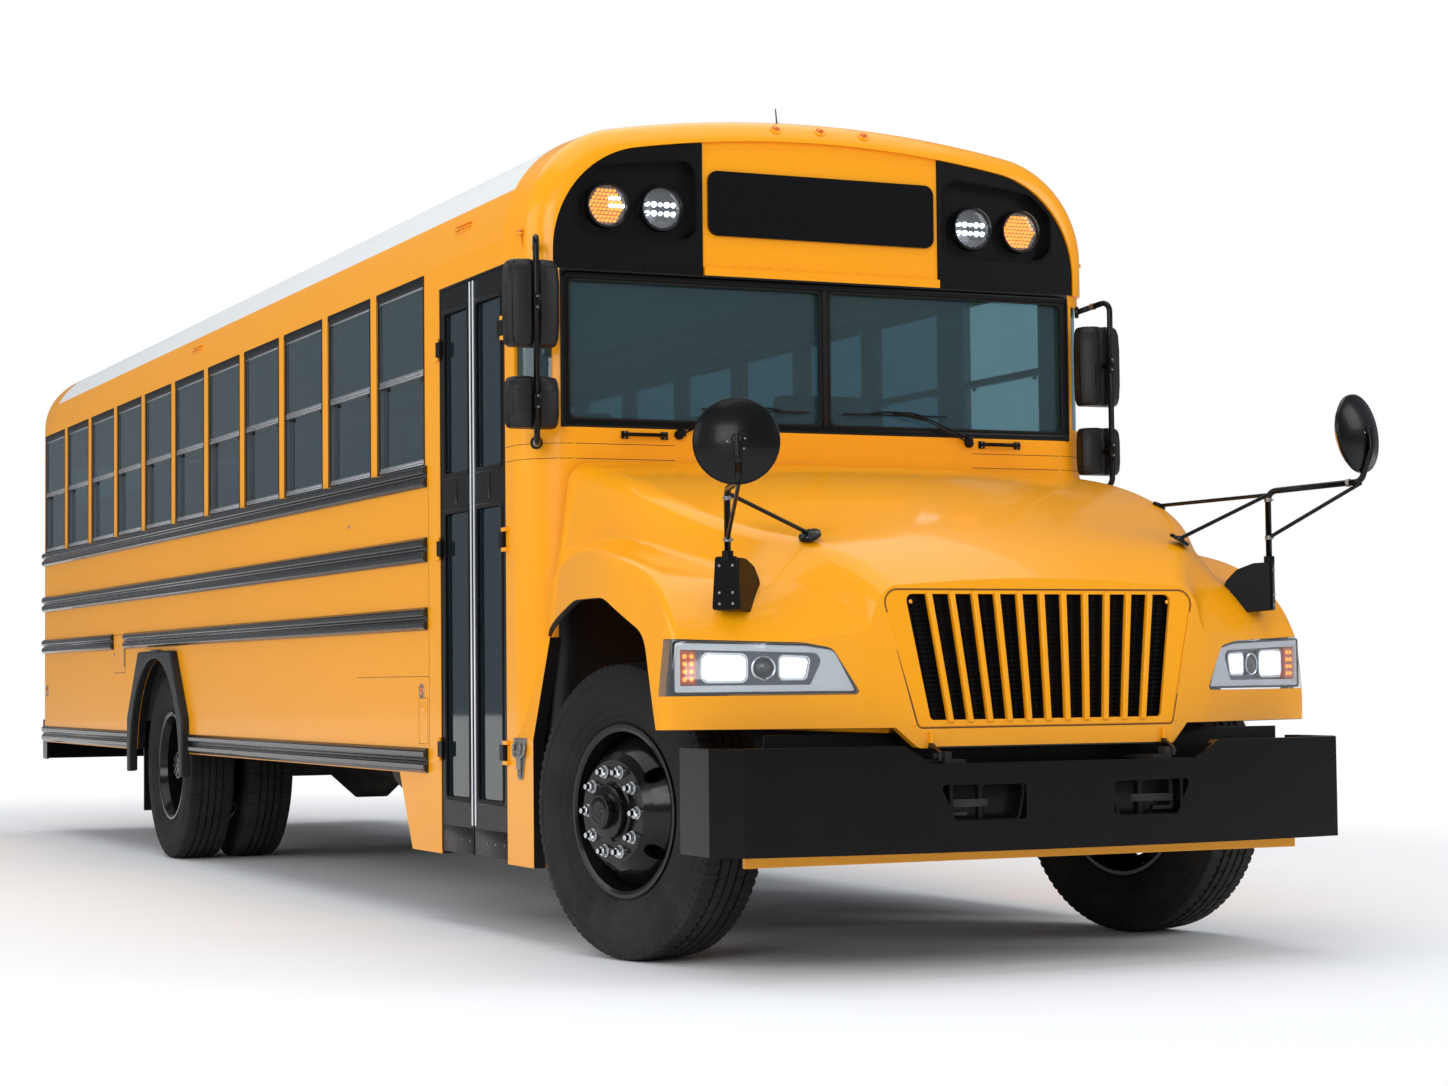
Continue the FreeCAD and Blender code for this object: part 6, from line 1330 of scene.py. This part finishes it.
pin_x, pin_y, arm_z = HALF + 36, 1060, 1500
bm = bmesh.new()
block(bm, HALF + 0.5, HALF + 14, pin_y - 60, pin_y + 60, arm_z - 130, arm_z + 130, 6)
block(bm, HALF + 14, HALF + 20, pin_y - 40, pin_y + 40, arm_z - 60, arm_z + 60, 3)
for z in (arm_z - 90, arm_z + 90):
    block(bm, HALF + 12, pin_x, pin_y - 14, pin_y + 14, z - 12, z + 12, 3)
    rod(bm, (pin_x, pin_y, z - 12), (pin_x, pin_y, z + 12), 14, sides=24)
rod(bm, (pin_x, pin_y, arm_z - 102), (pin_x, pin_y, arm_z + 102), 6)
piece("stop_arm_bracket", bm, "body", satin_black, "trim_black", smooth=40, replaces=FITTINGS, doubles=1e-6)


# ---- entry door ----------------------------------------------------------------------------------
LEAF_LOW, LEAF_TOP = 300, 2530
PANES = ((510, 1640), (1790, 2440))


def door_leaf(body, y0, y1, lead, pane_y0, pane_y1):
    """A leaf's black frame, bright strip on its free edge, rubbers, cross ribs and screws."""
    dressed(body, body, satin_black, "black_paint", 0.002)
    edge = y1 if lead > 0 else y0
    bm = bmesh.new()
    # the edge strip's near-white silver is partly a painted bright reflection
    a, b = sorted((edge - lead * 4, edge - lead * 15))
    block(bm, -1219, -1214.5, a, b, 410, LEAF_TOP, 1.5)
    piece(body + "_edge_strip", bm, body, silver_painted_sheen, "alloy_frame")
    bm = bmesh.new()
    for low, high in PANES:
        pane = oblong(pane_y0 - 2, pane_y1 + 2, low - 2, high + 2, 22, 5)
        band(bm, shrunk(pane, -7), shrunk(pane, 7), along_bus(-1217.4), (4, 0, 0))
        band(bm, shrunk(pane, -1), shrunk(pane, 3), along_bus(-1218.4), (2, 0, 0))
    a, b = sorted((edge, edge + lead * 7.5))
    block(bm, -1213, -1186, a, b, LEAF_LOW, LEAF_TOP, 3)
    piece(body + "_seals", bm, body, rubber_black, "trim_black")
    bm = bmesh.new()
    for z in (1652, 1778, 2452, 498):
        block(bm, -1216, -1214, y0 + 14, y1 - 14, z - 3, z + 3, 1)
    block(bm, -1216.6, -1214, y0 + 8, y1 - 8, LEAF_LOW, LEAF_LOW + 100, 2)
    middle = (y0 + y1) / 2
    block(bm, -1217, -1214, middle - 12, middle + 12, 1668, 1760, 3)
    piece(body + "_ribs", bm, body, satin_black, "black_paint")
    bm = bmesh.new()
    for k in range(4):
        screw(bm, (-1216.6, y0 + 40 + 96 * k, LEAF_LOW + 50), (-1, 0, 0), 5, 2)
    piece(body + "_screws", bm, body, steel, "steel")


door_leaf("entry_door_front", 875, 1246, 1, 923, 1206)
door_leaf("entry_door_rear", 1264, 1635, -1, 1304, 1587)
bm = bmesh.new()
block(bm, -1219.6, -1180, 872, 1638, 2537, 2546, 2)
for a, b in ((870.4, 873.5), (1636.5, 1639.6)):
    block(bm, -1217, -1180, a, b, LEAF_LOW, 2536, 1)
piece("doorway_seals", bm, "body", rubber_black, "trim_black")


# ---- small things on the sides -------------------------------------------------------------------
bm = bmesh.new()
bent(bm, [(-1223, 680, 750), (-1228, 656, 722), (-1231, 672, 690), (-1231, 762, 690), (-1228, 782, 722),
          (-1223, 762, 750), (-1223, 680, 750)], 6, 18, 12)
latch_plate = rounded([(655, 758), (790, 758), (790, 734), (752, 640), (742, 604), (696, 604), (686, 640),
                       (655, 734)], 8, 3)
plate(bm, latch_plate, along_bus(-1219), (-4, 0, 0))
block(bm, -1233, -1222, 700, 740, 640, 736, 4)
block(bm, -1230, -1222, 706, 732, 612, 640, 3)
rod(bm, (-1229, 690, 708), (-1229, 750, 708), 6, sides=14)
for y, z in ((668, 748), (777, 748), (719, 622), (719, 655)):
    screw(bm, (-1223 if z > 700 else -1232, y, z), (-1, 0, 0), 5, 2.5)
soften(piece("hood_latch_right", bm, "body", steel, "steel", smooth=40), 0.0008)

REFLECTOR_Y, TAIL_MARKER_Y, MARKER_Z = 1881, 9780, 931


def side_seams(bm, side):
    """The lines between panels, and the outline of a small hatch low on the side."""
    def gap(y0, y1, z0, z1):
        side_block(bm, side, HALF - 0.4, HALF + 0.5, y0, y1, z0, z1)
    gap(1784.8, 1787.2, 704, 1786)
    gap(1787, 2780, 989, 991)
    for y in (1807, 1921):
        gap(y - 1, y + 1, 717, 903)
    for z in (717, 903):
        gap(1806, 1922, z - 1, z + 1)


def side_marker(rims, lenses, side, y, rim_row, lens_row):
    """A small round reflector in a steel rim."""
    turned(rims, rim_row, (side * HALF, y, MARKER_Z), (side, 0, 0), 28)
    turned(lenses, lens_row, (side * HALF, y, MARKER_Z), (side, 0, 0), 24)


def fuel_door(seams, plates, rims, side):
    """The filler's flap with its gap, hinge and catch."""
    flap = oblong(7420, 7716, 1040, 1262, 18, 5)
    band(seams, shrunk(flap, -3), flap, along_bus(side * 1218.7), (side * 0.9, 0, 0))
    plate(plates, shrunk(flap, 1), along_bus(side * HALF), (side * 2.2, 0, 0))
    rod(rims, (side * 1221, 7428, 1080), (side * 1225, 7428, 1080), 5, sides=12)
    rod(rims, (side * 1224, 7424, 1070), (side * 1224, 7424, 1232), 4.5, sides=10)
    screw(rims, (side * 1221.4, 7696, 1150), (side, 0, 0), 10, 4)


seams, lenses, rims, plates = (bmesh.new() for _ in range(4))
for side, _ in SIDES:
    side_seams(seams, side)
    side_marker(rims, lenses, side, REFLECTOR_Y, [(20, 0), (24, 5), (29, 5), (32, 0)],
                [(0, 9), (10, 8), (18, 5), (22, 0)])
    side_marker(rims, lenses, side, TAIL_MARKER_Y, [(26, 0), (31, 5), (36, 5), (39, 0)],
                [(0, 9), (14, 8), (24, 5), (29, 0)])
    screw(rims, (side * HALF, 2895, 1655), (side, 0, 0), 9, 4)
    side_block(plates, side, HALF, HALF + 2, 1840, 1886, 846, 884, 1.5)
    fuel_door(seams, plates, rims, side)
    # louvred vents high on the side
    for y in (5711, 1375):
        for k in range(3):
            side_block(plates, side, 1200, 1212, y - 90, y + 90, 2742 + 13 * k, 2747 + 13 * k, 1.5)
piece("side_seams", seams, "body", line_dark, "trim_black")
piece("side_reflectors", lenses, "body", amber_lens, "lamp_plastic", doubles=1e-6)
piece("side_small_rims", rims, "body", steel, "steel", smooth=40, doubles=1e-6)
soften(piece("side_plates", plates, "body", yellow_paint, "yellow_paint"), 0.0006)

# seams round the cowl
bm = bmesh.new()
for z in (1790, 1846):
    for side, _ in SIDES:
        line = rounded([(side * 1219.4, 868), (side * 1219.4, 599.6), (side * 640, 599.6), (side * 640, 604),
                        (side * 1200, 604), (side * 1200, 868)], [0, 190, 0, 0, 186, 0], 10)
        slab(bm, [(x, y, z) for x, y in line], (0, 0, 2.4))
piece("cowl_seams", bm, "body", line_dark, "trim_black")


# ---- bumpers -------------------------------------------------------------------------------------
BUMPER_NOSE_Y, BUMPER_SWEEP = -1157, 97 / 1131      # its face in the middle, and how fast it falls back


def bumper_y(x, off=0.0):
    return BUMPER_NOSE_Y + abs(x) * BUMPER_SWEEP + off


dressed("bumpers", "body", bumper_black, "black_paint", 0.007)
dressed("bumper_strip", "body", yellow_paint, "yellow_paint", 0.002)
bm = bmesh.new()
block(bm, -990, 990, -904, -896, 560, 786, 2)
# painted shade: dark plates behind the tow holes stand in for the shade inside the bumper
block(bm, -500, 500, -1086, -1082, 490, 640, 2)
piece("bumper_filler_and_shade_plates", bm, "body", satin_black, "black_paint")
bm = bmesh.new()
for side, _ in SIDES:
    hole = rounded([(side * 167, 622), (side * 476, 622), (side * 440, 506), (side * 190, 506)], 18, 5)
    band(bm, shrunk(hole, -5), shrunk(hole, 3), lambda x, z: (x, bumper_y(x, -1.5), z), (0, 12, 0))
    rod(bm, (side * 305, -1090, 500), (side * 305, -1090, 618), 13, sides=18)
    rod(bm, (side * 305, -1090, 612), (side * 305, -1090, 622), 22, sides=18)
piece("tow_hole_rims", bm, "body", satin_black, "black_paint", smooth=40)
bm = bmesh.new()
for x, z in ((556, 566), (1112, 662), (1112, 474)):
    screw(bm, (x, bumper_y(x), z), (0.08, -1, 0), 9, 4)
piece("bumper_bolts", bm, "body", satin_black, "black_paint", smooth=40, doubles=1e-6)


# ---- rear end ------------------------------------------------------------------------------------
TAIL_LAMP_Z = 1290
LARGE_LENS = [(0, 27), (30, 26), (58, 23), (72, 18), (77, 12), (0, 12)]
SMALL_LENS = [(0, 25), (25, 24), (48, 21), (60, 17), (64, 12), (0, 12)]


def rear_lamp(rims, lenses, x, z, r, deep, lens_row):
    """A round lamp in a black rim."""
    rim = [(0, 1), (r, 1), (r, deep), (r - 3, deep + 4), (r - 9, deep + 4), (r - 11, 12), (0, 12)]
    turned(rims, rim, (x, REAR_Y, z), BACKWARDS, 48)
    turned(lenses, lens_row, (x, REAR_Y, z), BACKWARDS, 40)


rims, reds, ambers, seals = (bmesh.new() for _ in range(4))
for side, _ in SIDES:
    for x, which in zip(LAMP_X, (ambers, reds)):
        rear_lamp(rims, which, side * x, LAMP_Z, 88, 20, LARGE_LENS)
    for x, which in ((620, reds), (830, ambers), (1040, reds)):
        rear_lamp(rims, which, side * x, TAIL_LAMP_Z, 75, 18, SMALL_LENS)
    glass = oblong(side * 552, side * 1018, 1845, 2448, 24, 6)
    band(seals, glass, shrunk(glass, 16), across_bus(REAR_Y + 4), (0, -12, 0))
    for k in range(8):
        rivet(rims, (side * 1120, REAR_Y - 1, 700 + 230 * k), BACKWARDS, 5, 2)
piece("rear_lamp_rims", rims, "body", satin_black, "black_paint", replaces=WARNING, doubles=1e-6)
piece("rear_lamps_red", reds, "body", red_lens, "lamp_plastic", replaces=WARNING, doubles=1e-6)
piece("rear_lamps_amber", ambers, "body", amber_lens, "lamp_plastic", replaces=WARNING, doubles=1e-6)
doorway = oblong(-436, 436, 994, 2506, 10, 3)
band(seals, shrunk(doorway, -6), shrunk(doorway, 5), across_bus(REAR_Y + 3), (0, -4, 0))
piece("rear_seals", seals, "body", rubber_black, "trim_black")
bm = bmesh.new()
for low, high in ((1180, 1640), (1853, 2400)):
    glass = oblong(-340, 340, low - 6, high + 6, 24, 6)
    band(bm, glass, shrunk(glass, 14), across_bus(REAR_Y + 1.5), (0, -6, 0))
piece("rear_door_seals", bm, "rear_door", rubber_black, "trim_black")
bm = bmesh.new()
bent(bm, [(300, 9949, 1130), (300, 9972, 1130), (180, 9972, 1130), (180, 9949, 1130)], 8, 14, 12)
for x in (300, 180):
    block(bm, x - 15, x + 15, 9946, 9952, 1100, 1160, 3)
piece("rear_door_handle", bm, "rear_door", steel, "steel", smooth=40)
bm = bmesh.new()
block(bm, -170, 170, 9951, 9956, 820, 930, 3)
block(bm, -155, 155, 9956, 9958, 832, 918, 1)
piece("rear_plate_holder", bm, "body", white_paint, "white_paint")


# ---- wheel arches and rub rails ------------------------------------------------------------------
FLARE_IN, FLARE_THICK, ARCH_R, ARCH_STEPS = 1213, 49, 598, 72


def flare_reach(a):
    """How far a flare stands from the axle: upright sides, a level top and sloping shoulders."""
    c, s = abs(math.cos(a)), math.sin(a)
    return min(668 / max(c, 0.01), 638 / max(s, 0.01), 692 / max(0.8 * c + 0.6 * s, 0.01))


bm = bmesh.new()
for side, _ in SIDES:
    chains = []
    for reach in (flare_reach, lambda a: ARCH_R):
        row = []
        for k in range(ARCH_STEPS + 1):
            a = math.radians(-4 + 188 * k / ARCH_STEPS)
            y, z = WHEELBASE + reach(a) * math.cos(a), TYRE_R + reach(a) * math.sin(a)
            row.append(bm.verts.new(at(side * FLARE_IN, y, z)))
        chains += [bm.edges.new(p) for p in zip(row, row[1:])]
    deepen(bm, bmesh.ops.bridge_loops(bm, edges=chains)["faces"], (side * FLARE_THICK, 0, 0))
soften(piece("arch_flares", bm, "body", trim_black, "trim_black", smooth=40), 0.009, 3, 40)
dressed("rub_rails", "body", rail_black, "trim_black", 0.005)


# ---- the hood's lining ---------------------------------------------------------------------------
def faces_outwards(f):
    """Whether a face of the hood is thin, on its nose, or turned away from the engine."""
    c = f.calc_center_median()
    engine_x = 0.0 if abs(c.x) <= 0.52 else math.copysign(0.9, c.x)
    aim = Vector((engine_x - c.x, 0, 0.5 - c.z))
    thin = f.calc_area() / f.calc_perimeter() < 0.003
    return thin or c.y < back(-840) or f.normal.dot(aim.normalized()) < 0.05


bm = copied("hood")
made_whole(bm)
bmesh.ops.delete(bm, geom=[f for f in bm.faces if faces_outwards(f)], context="FACES")
bm.normal_update()
for v in bm.verts:
    v.co += v.normal * 0.0014
lining = piece("hood_lining", bm, "hood", rubber_black, "trim_black", doubles=0)
wall = lining.modifiers.new("wall", "SOLIDIFY")
wall.thickness, wall.offset = 0.0008, 0.0


# ---- studio --------------------------------------------------------------------------------------
FLOOR_TONE = (0.93, 0.93, 0.93, 1)


def aim_camera(scene):
    """A long lens low on the door side, turned and tilted a little."""
    yaw, pitch, roll = math.radians(24.4), math.radians(2.75), math.radians(-0.59)
    ahead = Vector((math.sin(yaw) * math.cos(pitch), math.cos(yaw) * math.cos(pitch), math.sin(pitch)))
    right = Vector((math.cos(yaw), -math.sin(yaw), 0.0))
    up = right.cross(ahead)
    across = right * math.cos(roll) + up * math.sin(roll)
    over = up * math.cos(roll) - right * math.sin(roll)
    camera = bpy.data.objects.new("camera", bpy.data.cameras.new("camera"))
    camera.data.sensor_width, camera.data.lens = 36.0, 69.8
    camera.data.clip_start, camera.data.clip_end = 0.1, 200.0
    camera.matrix_world = (Matrix.Translation(at(-4830.16, -9077.62, 972.19))
                           @ Matrix((across, over, -ahead)).transposed().to_4x4())
    scene.collection.objects.link(camera)
    scene.camera = camera


def soft_lamp(scene, name, place, aim, size, power):
    data = bpy.data.lights.new(name, "AREA")
    data.shape, data.size, data.size_y, data.energy = "RECTANGLE", size[0], size[1], power
    turn = (Vector(aim) - Vector(place)).to_track_quat("-Z", "Y").to_matrix().to_4x4()
    obj = bpy.data.objects.new(name, data)
    obj.matrix_world = Matrix.Translation(Vector(place)) @ turn
    scene.collection.objects.link(obj)


def light_world(scene):
    """White behind the bus and seen through its glass, and a cool soft light all round."""
    world = bpy.data.worlds.new("studio")
    scene.world = world
    world.use_nodes = True
    world.node_tree.nodes.clear()
    t = Tree(world.node_tree)
    path = t.node("ShaderNodeLightPath")
    first = t.calc("LESS_THAN", path.outputs["Diffuse Depth"], 0.5)
    through = t.times(path.outputs["Is Transmission Ray"], first)
    white, soft = t.node("ShaderNodeBackground"), t.node("ShaderNodeBackground")
    t.feed(white.inputs[0], PURE_WHITE)
    t.feed(white.inputs[1], 1.0)
    t.feed(soft.inputs[0], (0.86, 0.92, 1.0, 1))
    # what the paint mirrors is dimmer than what lights it, as open ground would be
    t.feed(soft.inputs[1], t.calc("SUBTRACT", 0.5, t.times(path.outputs["Is Glossy Ray"], 0.28)))
    mix = t.node("ShaderNodeMixShader")
    for socket, value in zip(mix.inputs, (t.most(path.outputs["Is Camera Ray"], through), soft.outputs[0],
                                          white.outputs[0])):
        t.feed(socket, value)
    t.feed(t.node("ShaderNodeOutputWorld").inputs[0], mix.outputs[0])


def far_off(t):
    """The floor turns to the same white as the backdrop well away from the bus."""
    x, along, _ = t.split()
    across, along = t.calc("DIVIDE", x, 5.5), t.calc("DIVIDE", along, 9.5)
    return t.step(t.calc("SQRT", t.add(t.times(across, across), t.times(along, along))), 0.72, 1.25)


def lay_floor(scene):
    bm = bmesh.new()
    bmesh.ops.create_grid(bm, x_segments=2, y_segments=2, size=60.0)
    mesh = bpy.data.meshes.new("floor")
    bm.to_mesh(mesh)
    bm.free()
    ground = bpy.data.objects.new("floor", mesh)
    scene.collection.objects.link(ground)
    pale = finish("pale_floor", FLOOR_TONE, 0.85, grain=(4.0, 0.0), dust=(0.1, 0.0), drift=(0.5, 0.0),
                  shine=0.1, tone=lambda t: t.mix(far_off(t), FLOOR_TONE, (0, 0, 0, 1)),
                  glow=(PURE_WHITE, 0.0))
    shader = next(n for n in pale.node_tree.nodes if n.type == "BSDF_PRINCIPLED")
    pale.node_tree.links.new(far_off(Tree(pale.node_tree)), shader.inputs["Emission Strength"])
    mesh.materials.append(pale)


def studio():
    """Camera, soft lights, and a plain pale floor that only keeps the shadow."""
    scene = bpy.context.scene
    aim_camera(scene)
    soft_lamp(scene, "overhead", (0, 0, 11), (0, 0, 1), (12, 18), 980)
    soft_lamp(scene, "front_left", (-9, -15, 6), (0, -4, 1.4), (7, 6), 640)
    soft_lamp(scene, "front_right", (11, -12, 8), (0, -4, 1.4), (6, 6), 380)
    soft_lamp(scene, "door_side", (-14, -1, 6), (0, 1, 1.4), (12, 6), 470)
    light_world(scene)
    lay_floor(scene)
    scene.view_settings.view_transform = "Standard"


studio()
